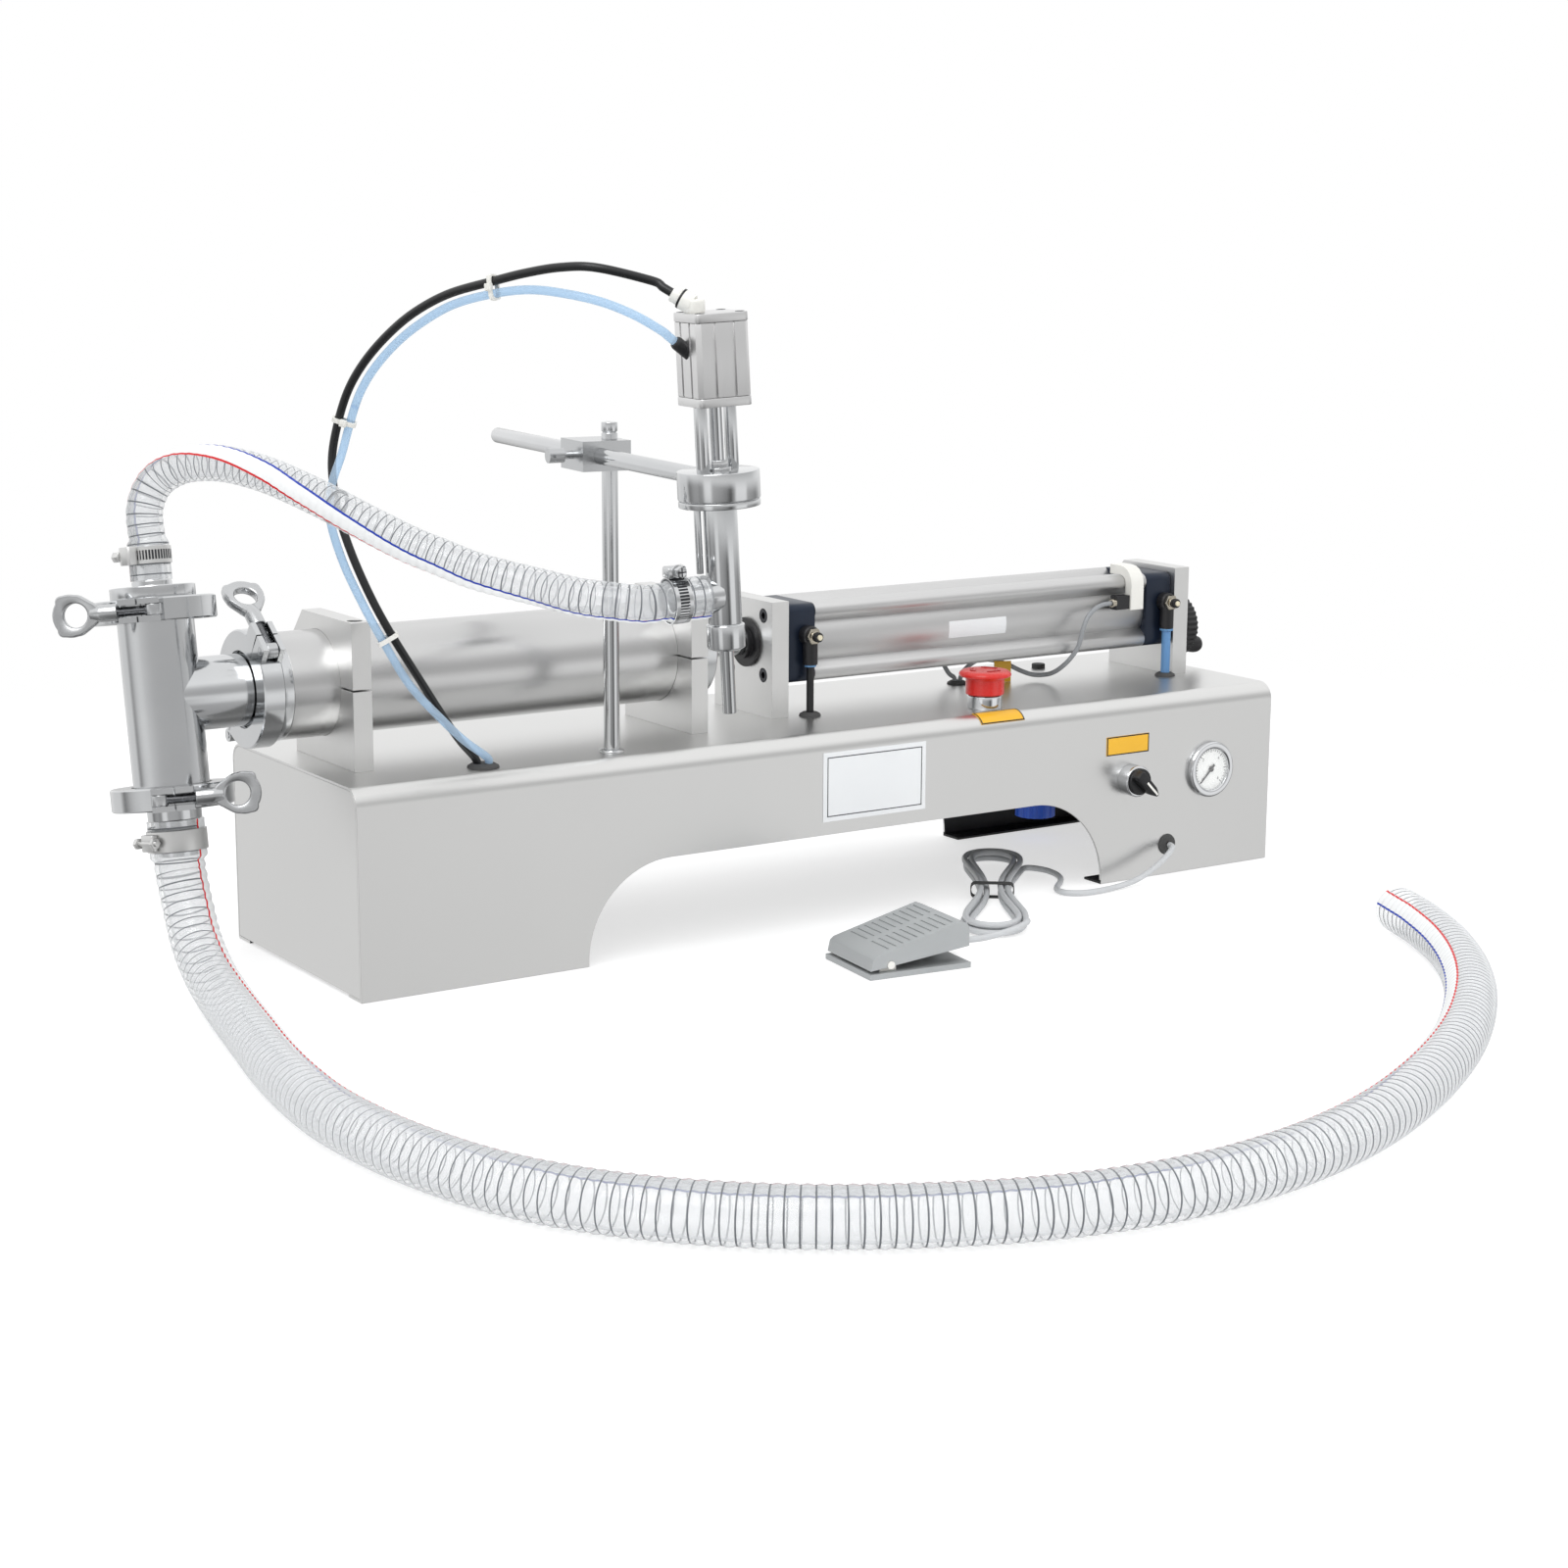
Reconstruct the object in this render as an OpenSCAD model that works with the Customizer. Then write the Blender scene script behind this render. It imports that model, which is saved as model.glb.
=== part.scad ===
// Bench-top pneumatic piston filler for liquids, in millimetres.
// Origin: centre of the cabinet's footprint, on the bench. +X runs from the
// inlet tee to the stroke handwheel, +Y to the back, +Z up.

/* [Cabinet] */
// Length of the cabinet
base_l = 865; // [840:1:960]
// Depth of the cabinet
base_w = 222; // [216:1:260]
// Height of the deck above the bench
base_h = 155; // [145:1:175]
// Thickness of the sheet steel
sheet_t = 2; // [1.5:0.1:3]
// Outside radius of the two long bends
bend_r = 14; // [8:1:20]
// Length of the arch in the front and back aprons
arch_l = 493; // [440:1:520]
// Height of the arch
arch_h = 75.5; // [60:0.5:80]
// Corner radius of the arch
arch_r = 72; // [40:1:75]
// Width of the lip turned in under each apron
lip_w = 20; // [10:1:28]

/* [Product cylinder] */
// Height of the cylinder axis above the deck
line_up = 58; // [56:0.5:70]
// Distance of the cylinder axis behind the cabinet's centre
line_y = 7; // [0:0.5:12]
// Length of the product cylinder tube
prod_l = 336.5; // [300:0.5:350]
// Outside diameter of the product cylinder
prod_d = 79; // [70:0.5:80]
// Wall of the product cylinder
prod_wall = 3; // [2:0.1:4]
// Diameter of the end cap discs
prod_cap_d = 80; // [80:0.5:84]
// Thickness of the front cap disc
front_cap_t = 8; // [5:0.5:12]
// Thickness of the back cap
back_cap_t = 21.5; // [16:0.5:26]
// Distance between the back cap and the front plate, where the rod shows
rod_gap = 52.5; // [46:0.5:60]
// Diameter of the piston rod
rod_d = 20; // [14:0.5:22]
// Running clearance of the rod in its bushes, on the radius
rod_fit = 0.06; // [0.02:0.01:0.1]

/* [Saddles and plates] */
// Thickness of the saddles
saddle_t = 15; // [12:0.5:20]
// Width of the saddles from front to back
saddle_w = 102.5; // [100:0.5:110]
// Height of the saddle tops above the cylinder axis
saddle_up = 51; // [48:0.5:60]
// Thickness of the two plates that hold the air cylinder
plate_t = 16; // [12:0.5:20]
// Width of the two plates from front to back
plate_w = 86; // [80:0.5:100]
// Height of the plate tops above the cylinder axis
plate_up = 36; // [36:0.5:46]
// Size of the chamfer on the saddles' and plates' back top edge
bevel = 18; // [8:0.5:22]
// Width of the saddles' clamping slit
slit = 1.4; // [1:0.1:3]

/* [Air cylinder] */
// Length of the barrel
barrel_l = 347.5; // [330:0.5:360]
// Bore of the barrel
barrel_bore = 50; // [40:0.5:52]
// Outside diameter of the barrel's round wall
barrel_d = 58; // [56:0.5:60]
// Side of the square end caps
cap_w = 64; // [60:0.5:68]
// Thickness of the front end cap
air_cap_front_t = 29; // [20:0.5:34]
// Thickness of the back end cap
air_cap_back_t = 28; // [24:0.5:40]
// Distance of the tie rods from the barrel's axis, along each side
tie_off = 25; // [24:0.1:26]
// Radius of the barrel's corner ribs over the tie rods
lobe_r = 7; // [6:0.1:7.5]

/* [Stroke adjuster] */
// Distance of the stop screw below the cylinder axis
screw_drop = 20; // [14:0.5:20]
// Distance of the stop screw in front of the cylinder axis
screw_front = 4; // [0:0.5:4]
// Diameter of the stop screw
screw_d = 8; // [6:0.5:8]
// Travel of the stop plate
stop_travel = 60; // [30:1:80]
// Diameter of the handwheel
wheel_d = 55; // [45:0.5:62]
// Thickness of the handwheel's rim
wheel_t = 12; // [8:0.5:16]
// Diameter of the crank knob
crank_d = 15; // [10:0.5:18]

/* [Inlet tee] */
// Roll of the tee about the branch
tee_roll = 9.3; // [0:0.1:12]
// Outside diameter of the tee's upright tube
tee_d = 54; // [50:0.5:55]
// Wall of the tee
tee_wall = 2; // [1.5:0.1:3]
// Height of the tee above its branch
tee_top = 62; // [55:0.5:80]
// Depth of the tee below its branch
tee_bottom = 71; // [55:0.5:74]
// Length of the tee's branch
branch_l = 67.5; // [60:0.5:90]

/* [Tri-clamps] */
// Diameter of the ferrules
ferrule_d = 64; // [62:0.5:66]
// Outside diameter of the clamp rings
ring_d = 87; // [84:0.5:88]
// Width of the clamp rings
ring_w = 16.5; // [14:0.5:16.5]
// Diameter of the clamp bolts
bolt_d = 7; // [6:0.1:8]
// Outside diameter of the eye nuts
eye_d = 30; // [26:0.5:32]
// Hole in the eye nuts
eye_bore = 17; // [14:0.5:18]

/* [Stand] */
// Diameter of the post and of the arm
post_d = 12; // [10:0.5:14]
// Height of the post's top above the deck
post_up = 247; // [245:1:300]
// Height of the arm above the deck
arm_up = 224; // [215:1:232]
// Swing of the arm from straight forwards
arm_swing = 6.84; // [0:0.01:10]
// Length of the arm
arm_l = 394; // [388:0.5:420]
// Lean of the filling head
head_lean = 3.04; // [0:0.01:6]

/* [Filling head] */
// Diameter of the head's flange
flange_d = 55.5; // [50:0.5:60]
// Outside diameter of the filling tube
fill_d = 23; // [22:0.5:26]
// Diameter of the nozzle collar
collar_d = 26; // [24:0.5:32]
// Outside diameter of the spout
spout_d = 9.5; // [8:0.1:12]
// Bore of the spout
spout_bore = 6.8; // [4:0.1:7]
// Length of the spout
spout_l = 44; // [30:0.5:60]
// Side of the square lift actuator
act_w = 38; // [37:0.5:42]
// Height of the lift actuator
act_h = 61; // [56:0.5:66]

/* [Controls] */
// Diameter of the emergency stop's head
stop_head_d = 43.4; // [36:0.1:46]
// Travel of the emergency stop
stop_press = 4; // [2:0.5:5]
// Diameter of the pressure gauge's bezel
gauge_d = 48; // [44:0.5:56]
// Diameter of the selector's collar
selector_d = 26.6; // [25:0.1:34]

/* [Foot pedal] */
// Length of the pedal
pedal_l = 86; // [84:0.5:100]
// Width of the pedal
pedal_w = 70; // [60:0.5:80]

/* [Hoses] */
// Outside diameter of the suction hose over its ribs
suction_d = 36.5; // [34:0.1:36.5]
// Bore of the suction hose
suction_bore = 30; // [28:0.1:31]
// Outside diameter of the product hose over its ribs
product_d = 26; // [25:0.1:27]
// Bore of the product hose
product_bore = 20; // [19.5:0.1:21]
// Diameter of the black air hose
black_d = 6; // [5:0.1:8]
// Diameter of the blue air tube
blue_d = 6; // [5:0.1:6]
// Diameter of the pedal's cord
cord_d = 5; // [4:0.1:5]

/* [Hidden] */
$fn = 48;

// Clearances: between still neighbours, sliding parts and soft or turning ones
seat = 0.1;
slide_fit = 0.06;
free_fit = 0.3;
// Overshoot of a cut past the face that it opens
cut = 1;

// Heights and stations along the cylinders
line_z = base_h + line_up;
back_saddle_x = -120.5;
prod_x1 = back_saddle_x + saddle_t;
prod_x0 = prod_x1 - prod_l;
front_saddle_x = prod_x0 + 36;
back_cap_x = prod_x1 + back_cap_t;
front_plate_x = back_cap_x + rod_gap;
air_x0 = front_plate_x + plate_t;
barrel_x0 = air_x0 + air_cap_front_t;
barrel_x1 = barrel_x0 + barrel_l;
air_x1 = barrel_x1 + air_cap_back_t;
back_plate_x = air_x1;
wheel_gap = 6.8;
strap_x = 337;
wheel_x = back_plate_x + plate_t + wheel_gap;
prod_bore_r = prod_d / 2 - prod_wall;

// Pistons at rest, with the product piston forward
piston_t = 26;
prod_piston_x = prod_x0 + 12;
air_piston_x = barrel_x0 + 8;
rod_x0 = prod_piston_x + 4;
rod_x1 = air_piston_x + 22;

// Flow controls on the two air end caps, and how far in front of them their outlets are
flow_x = [air_x0 + air_cap_front_t - 9.1, barrel_x1 + 19];
flow_y = line_y - cap_w / 2;
flow_z = line_z + 7;
flow_low = line_z - 16.5;
flow_out = 6.3;

// Stop screw and stop plate, screwed right in at rest
screw_y = line_y - screw_front;
screw_z = line_z - screw_drop;
stop_t = 10;
stop_x = barrel_x1 - stop_t - 8 - stop_travel;
tip_d = screw_d - 3;
crank_r = 20;
crank_angle = 28;

// Ferrule stations: gasket, rim and the taper behind the rim
gasket_t = 1;
rim_t = 2.6;
taper_t = 2;
ferrule_x = prod_x0 - front_cap_t - 8.5;
tee_x = ferrule_x - branch_l;

// Clamp rings: bolt line, pivot, nut face and eye centre on the ring's own axes
bolt_x = ring_d / 2 + 4.5;
pivot_y = -10.3;
nut_y = 14.3;
eye_y = nut_y + 14.5 + eye_d / 2;
front_clamp_turn = -36.2;
top_clamp_turn = -123.5;
bottom_clamp_turn = -109.5;

// Stand
post_x = -209.7;
post_y = -83.2;
arm_z = base_h + arm_up;
arm_off = -15.3;
arm_back = -188.8;
arm_front = arm_back + arm_l;
head_reach = 408.6 + arm_back;
clamp_l = 42;
clamp_w = 38;
clamp_h = 22;

// Filling head, along its own axis from the arm's height
flange_top = 7;
flange_low = -12;
seam = 0.6;
fold_seam = 0.05;
port_tilt = 40;
plate_low = -17;
tie_rod_at = [14, 7];
act_z0 = 50;
act_z1 = act_z0 + act_h;
fill_low = -96;
collar_l = 18;
seat_z = fill_low - 10;
inlet_z = -77;
inlet_l = 13.5;
barb_l = 25;
plunger_d = 9;
gland_yaw = 40;
gland_tilt = 32;
gland_l = 17;
gland_at = [-11, 0, act_z1 + 4];
port_z = 87;
port_l = 10;

// Hoses over their barbs: how far each hose runs plain and how much it swells
cuff_l = 30;
suction_cuff = 2.2;
product_cuff = 1.7;
suction_start = -tee_bottom - 17;
product_start = tee_top + 21;
suction_ribs = 100;
product_ribs = 72;
hose_sides = 8;

// Holes in the deck for hoses and cables, each with its place and its hole's radius
hose_hole = [-318, -83];
air_hole_front = [flow_x[0], flow_y - flow_out];
air_hole_back = [flow_x[1], flow_y - flow_out];
cable_hole = [198, 29.5];
cable_d = 4;
cable_apart = 2.7;
cord_hole = [318, 26];
stop_at = [146.5, -76.7];
selector_at = [275, 87];
gauge_at = [363.4, 86.7];
regulator_at = [311, 60];
collar_hole_r = 11;
stop_collar_r = 14.2;
stop_collar_h = 11.5;
selector_h = 12.3;
gauge_h = 5;

// Foot pedal
pedal_at = [-91.7, -255.5, 0];
pedal_turn = -6.2;
pedal_pin = [18, 0, 9.6];
pedal_spring = [60, 35, 20];
cord_port = [pedal_l, 42, 9];

// Routes of the free hoses and cords
black_mid = [
    [-336, -83, 176], [-349, -84, 194], [-370, -86, 226], [-390, -86, 258],
    [-402, -80, 284], [-411, -70, 313], [-416, -60, 340], [-417, -53, 362],
    [-416, -50, 384], [-413, -55, 408], [-409, -65, 431], [-403, -80, 451],
    [-395, -101, 470], [-387, -127, 486], [-376, -157, 499], [-361, -192, 508],
    [-349, -217, 514], [-336, -241, 518], [-321, -262, 518]
];
blue_mid = [
    [-337, -90.5, 178], [-355, -89, 196], [-376, -84, 221], [-396, -84, 254],
    [-408, -77, 281], [-417.5, -66, 311], [-423.5, -60, 341], [-421, -59, 364],
    [-412, -57, 385], [-406, -60, 408], [-403, -70, 428], [-398, -84, 446],
    [-391, -105, 464], [-384, -131, 479], [-374, -160, 492], [-361, -194, 500],
    [-348, -220, 503], [-335, -244, 501], [-320, -266, 496], [-307, -286, 488]
];
product_mid = [
    [-526, 29, 342], [-521, 30, 357], [-513, 26, 368], [-503, 12, 376],
    [-491, -7, 379], [-480, -27, 378], [-467, -53, 373], [-456, -76, 366],
    [-445, -98, 358], [-434, -120, 349], [-422, -140, 340], [-409, -160, 331],
    [-396, -178, 324], [-383, -195, 317], [-369, -213, 312], [-352, -233, 307],
    [-339, -264, 303], [-323, -284, 301]
];
suction_mid = [
    [-526, -16, 84], [-526, -26, 64], [-528, -45, 43], [-531, -76, 27],
    [-537, -118, 20], [-546, -165, 18.5], [-556, -215, 18.5], [-567, -270, 18.5],
    [-575, -325, 18.5], [-579, -380, 18.5], [-576, -435, 18.5], [-568, -485, 18.5],
    [-555, -533, 18.5], [-535, -577, 18.5], [-507, -618, 18.5], [-472, -655, 18.5],
    [-430, -688, 18.5], [-382, -716, 18.5], [-328, -740, 18.5], [-272, -755, 18.5],
    [-214, -761, 18.5], [-156, -757, 18.5], [-98, -745, 18.5], [-42, -726, 18.5],
    [12, -701, 18.5], [66, -671, 18.5], [118, -637, 18.5], [168, -598, 18.5],
    [214, -556, 18.5], [256, -509, 18.5], [292, -459, 18.5], [320, -409, 18.5],
    [332, -382, 18.5], [342, -358, 18.5]
];
grommet_cord = [
    [318, -115, 26], [316, -121, 25.5], [308, -126, 22], [296, -129, 16],
    [282, -131, 10], [264, -133, 5], [244, -135, 3], [222, -137, 2.6],
    [206, -135, 2.6], [196, -127, 2.6], [196, -116, 2.6], [204, -106, 2.6],
    [215, -96, 2.6], [225, -84, 2.6], [231, -70, 2.6], [232, -56, 2.8],
    [227, -45, 3.2], [220, -42, 3.6]
];
pedal_cord_mid = [
    [76, -217, 9.2], [57, -223, 9], [36, -226, 8.5], [20, -226, 9]
];
sensor_route = [
    [321.6, -28, 222.9], [313, -30, 223], [306, -32, 222.9], [296.5, -33.5, 220.1], [288.2, -34, 213.2],
    [283.7, -34, 203.4], [280.9, -32, 189.4], [277.2, -27, 178.8], [275.1, -18, 170.1], [273.6, -8, 163.7],
    [270.4, 0, 160.8], [263, 7, 160.5], [253.1, 11, 164.1], [244.8, 15, 168.6], [239.1, 18, 171.3],
    [231.4, 20.5, 173.7], [222.1, 23, 175.1], [215.7, 25, 174.4], [209.3, 27, 170.8], [204.2, 28.5, 165.9],
    [201.2, 29.5, 159.6], [cable_hole.x + cable_apart, cable_hole.y, base_h + 2]
];
second_route = [
    [cable_hole.x - cable_apart, cable_hole.y, base_h + 2], [195.3, 29.5, 159], [195, 29.7, 161], [191.5, 32.5, 163.9],
        [188.6, 37, 172],
    [188, 41.5, 180], [191, 43, 190], [200, 43.5, 200], [225, 43, 207], [260, 42.5, 210.5], [300, 42,
        211.8],
    [320.8, 42, 212]
];

// Hank of the pedal's cord, on its own axes p along it and q across it
hank_at = [141, -99];
hank_turn = 52.8;
hank_p = 125;
hank_bulge = 38;
hank_waist = 4.5;
hank_step = 5.7;
hank_from = 50;
hank_to = 150 + 3 * 360;
hank_climb = 60;
hank_z0 = 3.6;
hank_rise = 5.6;
hank_rings = 24;

// Vectors and turns
function unit(v) = v / norm(v);
function turn_x(a, p) = [p.x, p.y * cos(a) - p.z * sin(a), p.y * sin(a) + p.z * cos(a)];
function turn_y(a, p) = [p.x * cos(a) + p.z * sin(a), p.y, p.z * cos(a) - p.x * sin(a)];
function turn_z(a, p) = [p.x * cos(a) - p.y * sin(a), p.x * sin(a) + p.y * cos(a), p.z];

// A point of the tee, of the filling head and of the pedal, in the machine's frame
function tee_pt(p) = [tee_x, line_y, line_z] + turn_x(-tee_roll, p);
function arm_pt(p) = [post_x, post_y, arm_z] + turn_z(-arm_swing, p);
function head_pt(p) = arm_pt([arm_off, -head_reach, 0]) + turn_z(-arm_swing, turn_y(-head_lean, p));
function pedal_pt(p) = pedal_at + turn_z(pedal_turn, p);
function port_pt(s) = head_pt([-act_w / 2 - s * cos(port_tilt), 0, port_z + s * sin(port_tilt)]);
function gland_pt(s) = head_pt(gland_at + s * turn_z(180 - gland_yaw, turn_y(90 - gland_tilt, [0, 0, 1])));

// A smooth curve through points, then even steps along it
function bend(a, b, c, d, t) = 0.5 * (2 * b + (c - a) * t + (2 * a - 5 * b + 4 * c - d) * t * t
    + (3 * b - a - 3 * c + d) * t * t * t);
function curve(p, k) = [
    for (i = [0 : len(p) - 2])
        for (j = [0 : k - 1])
            bend(p[max(i - 1, 0)], p[i], p[i + 1], p[min(i + 2, len(p) - 1)], j / k),
    p[len(p) - 1]
];
function lengths(p) = [
    for (i = 0, s = 0; i < len(p); i = i + 1, s = i < len(p) ? s + norm(p[i] - p[i - 1]) : s) s
];
function axis_table(p, c, k) = [for (i = [0 : len(p) - 1]) [c[i], p[i][k]]];
function stations(p, marks) =
    let (c = lengths(p), x = axis_table(p, c, 0), y = axis_table(p, c, 1), z = axis_table(p, c, 2))
    [for (s = marks) [lookup(s, x), lookup(s, y), lookup(s, z)]];
function total(p) = let (c = lengths(p)) c[len(c) - 1];
function even(p, n) = let (l = total(p)) [for (i = [0 : n]) l * i / n];

// Directions along a path, and a side vector carried along it without twist
function tangents(p) = [
    for (i = [0 : len(p) - 1]) unit(p[min(i + 1, len(p) - 1)] - p[max(i - 1, 0)])
];
function flat_side(u, t) = unit(u - (u * t) * t);
function carried(t, first) = [
    for (i = 0, u = flat_side(first, t[0]); i < len(t);
        i = i + 1, u = i < len(t) ? flat_side(u, t[i]) : u) u
];
function ring(c, t, u, r, n) = let (v = cross(t, u))
    [for (k = [0 : n - 1]) c + r * (cos((k + 0.5) * 360 / n) * u + sin((k + 0.5) * 360 / n) * v)];
function rings(p, radii, n, first) = let (t = tangents(p), u = carried(t, first))
    [for (i = [0 : len(p) - 1]) each ring(p[i], t[i], u[i], radii[i], n)];
function skin(from, count, n, out) = [
    for (i = [0 : count - 2])
        for (k = [0 : n - 1])
            let (a = from + i * n + k, b = from + i * n + (k + 1) % n)
                each out ? [[a, b, b + n], [a, b + n, a + n]] : [[a, b + n, b], [a, a + n, b + n]]
];

// A plain round cord along a path
module cord(p, d, n, first = [1, 0, 0]) {
    count = len(p);
    last = (count - 1) * n;
    radii = [for (i = [0 : count - 1]) d / 2];
    ends = concat([for (k = [1 : n - 2]) [0, k + 1, k]], [for (k = [1 : n - 2]) [last, last + k,
        last + k + 1]]);
    polyhedron(points = rings(p, radii, n, first), faces = reversed(concat(skin(0, count, n, true), ends)));
}
function reversed(f) = [for (t = f) [t[2], t[1], t[0]]];

// A ribbed hose with its bore: plain cuffs at its ends and ribs between them
function rib_marks(l, n, cuff_a, cuff_b) = concat(
    [0, cuff_a],
    [for (i = [0 : 2 * n]) cuff_a + 3 + (l - cuff_a - cuff_b - 6) * i / (2 * n)],
    cuff_b > 0 ? [l - cuff_b, l] : [l]
);
function rib_radii(n, d, rib, swell, two) = concat(
    [d / 2 + swell, d / 2 + swell],
    [for (i = [0 : 2 * n]) i % 2 == 0 ? d / 2 - rib : d / 2],
    two ? [d / 2 + swell, d / 2 + swell] : [d / 2 - rib]
);
module hose(p, d, bore, ribs, rib, swell, cuff_a, cuff_b, bore_rings, first) {
    n = hose_sides;
    l = total(p);
    marks = rib_marks(l, ribs, cuff_a, cuff_b);
    outer = rings(stations(p, marks), rib_radii(ribs, d, rib, swell, cuff_b > 0), n, first);
    inner_marks = concat([0, cuff_a],
        [for (i = [0 : bore_rings]) cuff_a + 3 + (l - cuff_a - cuff_b - 6) * i / bore_rings],
        cuff_b > 0 ? [l - cuff_b, l] : [l]);
    inner_radii = concat([bore / 2 + swell, bore / 2 + swell], [for (i = [0 : bore_rings]) bore / 2],
        cuff_b > 0 ? [bore / 2 + swell, bore / 2 + swell] : [bore / 2]);
    inner = rings(stations(p, inner_marks), inner_radii, n, first);
    a = len(marks);
    b = len(inner_marks);
    m = a * n;
    near = [for (k = [0 : n - 1]) let (j = (k + 1) % n) each [[k, m + k, m + j], [k, m + j, j]]];
    oa = (a - 1) * n;
    ob = m + (b - 1) * n;
    far = [for (k = [0 : n - 1]) let (j = (k + 1) % n) each [[oa + k, ob + j, ob + k], [oa + k,
        oa + j, ob + j]]];
    polyhedron(
        points = concat(outer, inner),
        faces = reversed(concat(skin(0, a, n, true), skin(m, b, n, false), near, far))
    );
}

// Flat outlines
function arc(c, r, a0, a1, n) = [for (i = [0 : n]) c + r * [cos(a0 + (a1 - a0) * i / n),
    sin(a0 + (a1 - a0) * i / n)]];
function soft_box(w, h, r, n = 5) = [
    for (q = [0 : 3])
        each arc([(q == 0 || q == 3 ? 1 : -1) * (w / 2 - r), (q < 2 ? 1 : -1) * (h / 2 - r)], r,
            q * 90, q * 90 + 90, n)
];

// Placing on the cylinder's axis, the tee, the head, the arm and the pedal
module on_line(x) {
    translate([x, line_y, line_z]) rotate([90, 0, 90]) children();
}
module on_tee() {
    translate([tee_x, line_y, line_z]) rotate([-tee_roll, 0, 0]) children();
}
module on_arm() {
    translate([post_x, post_y, arm_z]) rotate([0, 0, -arm_swing]) children();
}
module on_head() {
    on_arm() translate([arm_off, -head_reach, 0]) rotate([0, -head_lean, 0]) children();
}
module on_pedal() {
    translate(pedal_at) rotate([0, 0, pedal_turn]) children();
}
module on_front_ring() {
    translate([ferrule_x, line_y, line_z]) rotate([0, -90, 0]) rotate([0, 0, front_clamp_turn]) children();
}
module on_top_ring() {
    on_tee() translate([0, 0, tee_top]) rotate([0, 0, top_clamp_turn]) rotate([180, 0, 0]) children();
}
module on_bottom_ring() {
    on_tee() translate([0, 0, -tee_bottom]) rotate([0, 0, bottom_clamp_turn]) children();
}
module pipe(r, bore_r, z0, z1) {
    difference() {
        translate([0, 0, z0]) cylinder(r = r, h = z1 - z0);
        translate([0, 0, z0 - cut]) cylinder(r = bore_r, h = z1 - z0 + 2 * cut);
    }
}
module pin(r, z0, z1) {
    translate([0, 0, z0]) cylinder(r = r, h = z1 - z0);
}

// Cabinet
module arch_cut() {
    half = arch_l / 2;
    r = min(arch_r, arch_h - 1);
    pts = concat([[half, -cut]], arc([half - r, arch_h - r], r, 0, 90, 16), arc([r - half,
        arch_h - r], r, 90, 180, 16), [[-half, -cut]]);
    translate([0, base_w / 2 + cut, 0]) rotate([90, 0, 0]) linear_extrude(base_w + 2 * cut) polygon(pts);
}
function apron(w, h, r) = concat([[w / 2, 0]], arc([w / 2 - r, h - r], r, 0, 90, 6), arc([r - w / 2,
    h - r], r, 90, 180, 6), [[-w / 2, 0]]);
module deck_hole(at, r) {
    translate([at.x, at.y, base_h - sheet_t - cut]) cylinder(r = r, h = sheet_t + 2 * cut);
}
module front_hole(at, r) {
    translate([at.x, -base_w / 2 - cut, at.y]) rotate([-90, 0, 0]) cylinder(r = r, h = sheet_t + 2 * cut);
}
module base_shell() {
    inner_r = bend_r - sheet_t;
    color([0.77, 0.77, 0.78]) difference() {
        union() {
            rotate([90, 0, 90]) translate([0, 0, -base_l / 2]) linear_extrude(base_l) difference() {
                polygon(apron(base_w, base_h, bend_r));
                translate([0, -cut]) polygon(apron(base_w - 2 * sheet_t, base_h - sheet_t + cut, inner_r));
            }
            for (s = [-1, 1]) {
                translate([-base_l / 2,
                    s * (base_w / 2 - sheet_t - lip_w / 2 + cut / 2) - lip_w / 2 - cut / 2, 0])
                    cube([base_l, lip_w + cut, sheet_t]);
            }
        }
        arch_cut();
        translate([-base_l / 2 - cut, -base_w / 2 - cut, base_h - bend_r - fold_seam])
            cube([base_l + 2 * cut, base_w + 2 * cut, fold_seam]);
        deck_hole(hose_hole, 9);
        deck_hole(air_hole_front, 6);
        deck_hole(air_hole_back, 6);
        deck_hole(cable_hole, 6);
        deck_hole(stop_at, collar_hole_r);
        deck_hole(regulator_at, 6);
        front_hole(cord_hole, 6);
        front_hole(selector_at, collar_hole_r);
        front_hole(gauge_at, 20);
        translate([regulator_at.x, base_w / 2 - sheet_t - cut, base_h - 50]) rotate([-90, 0, 0])
            cylinder(r = 9, h = sheet_t + 2 * cut);
    }
}
module end_panels() {
    w = base_w - 2 * sheet_t - 2 * seat;
    h = base_h - sheet_t - seat;
    color([0.75, 0.75, 0.76]) for (s = [-1, 1]) {
        translate([s * (base_l / 2 - sheet_t / 2) - sheet_t / 2, 0, sheet_t + seat]) rotate([90, 0, 90])
            linear_extrude(sheet_t) polygon(apron(w, h - sheet_t - seat, bend_r - sheet_t));
    }
}
module grommet(hole_r, cord_r) {
    rotate_extrude() polygon([
        [cord_r, -sheet_t - 2], [hole_r + 1.5, -sheet_t - 2], [hole_r + 1.5, -sheet_t - seat],
        [hole_r - seat, -sheet_t - seat], [hole_r - seat, seat], [hole_r + 3, seat],
        [hole_r + 2.4, 1.6], [hole_r, 3], [cord_r, 3]
    ]);
}
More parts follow.
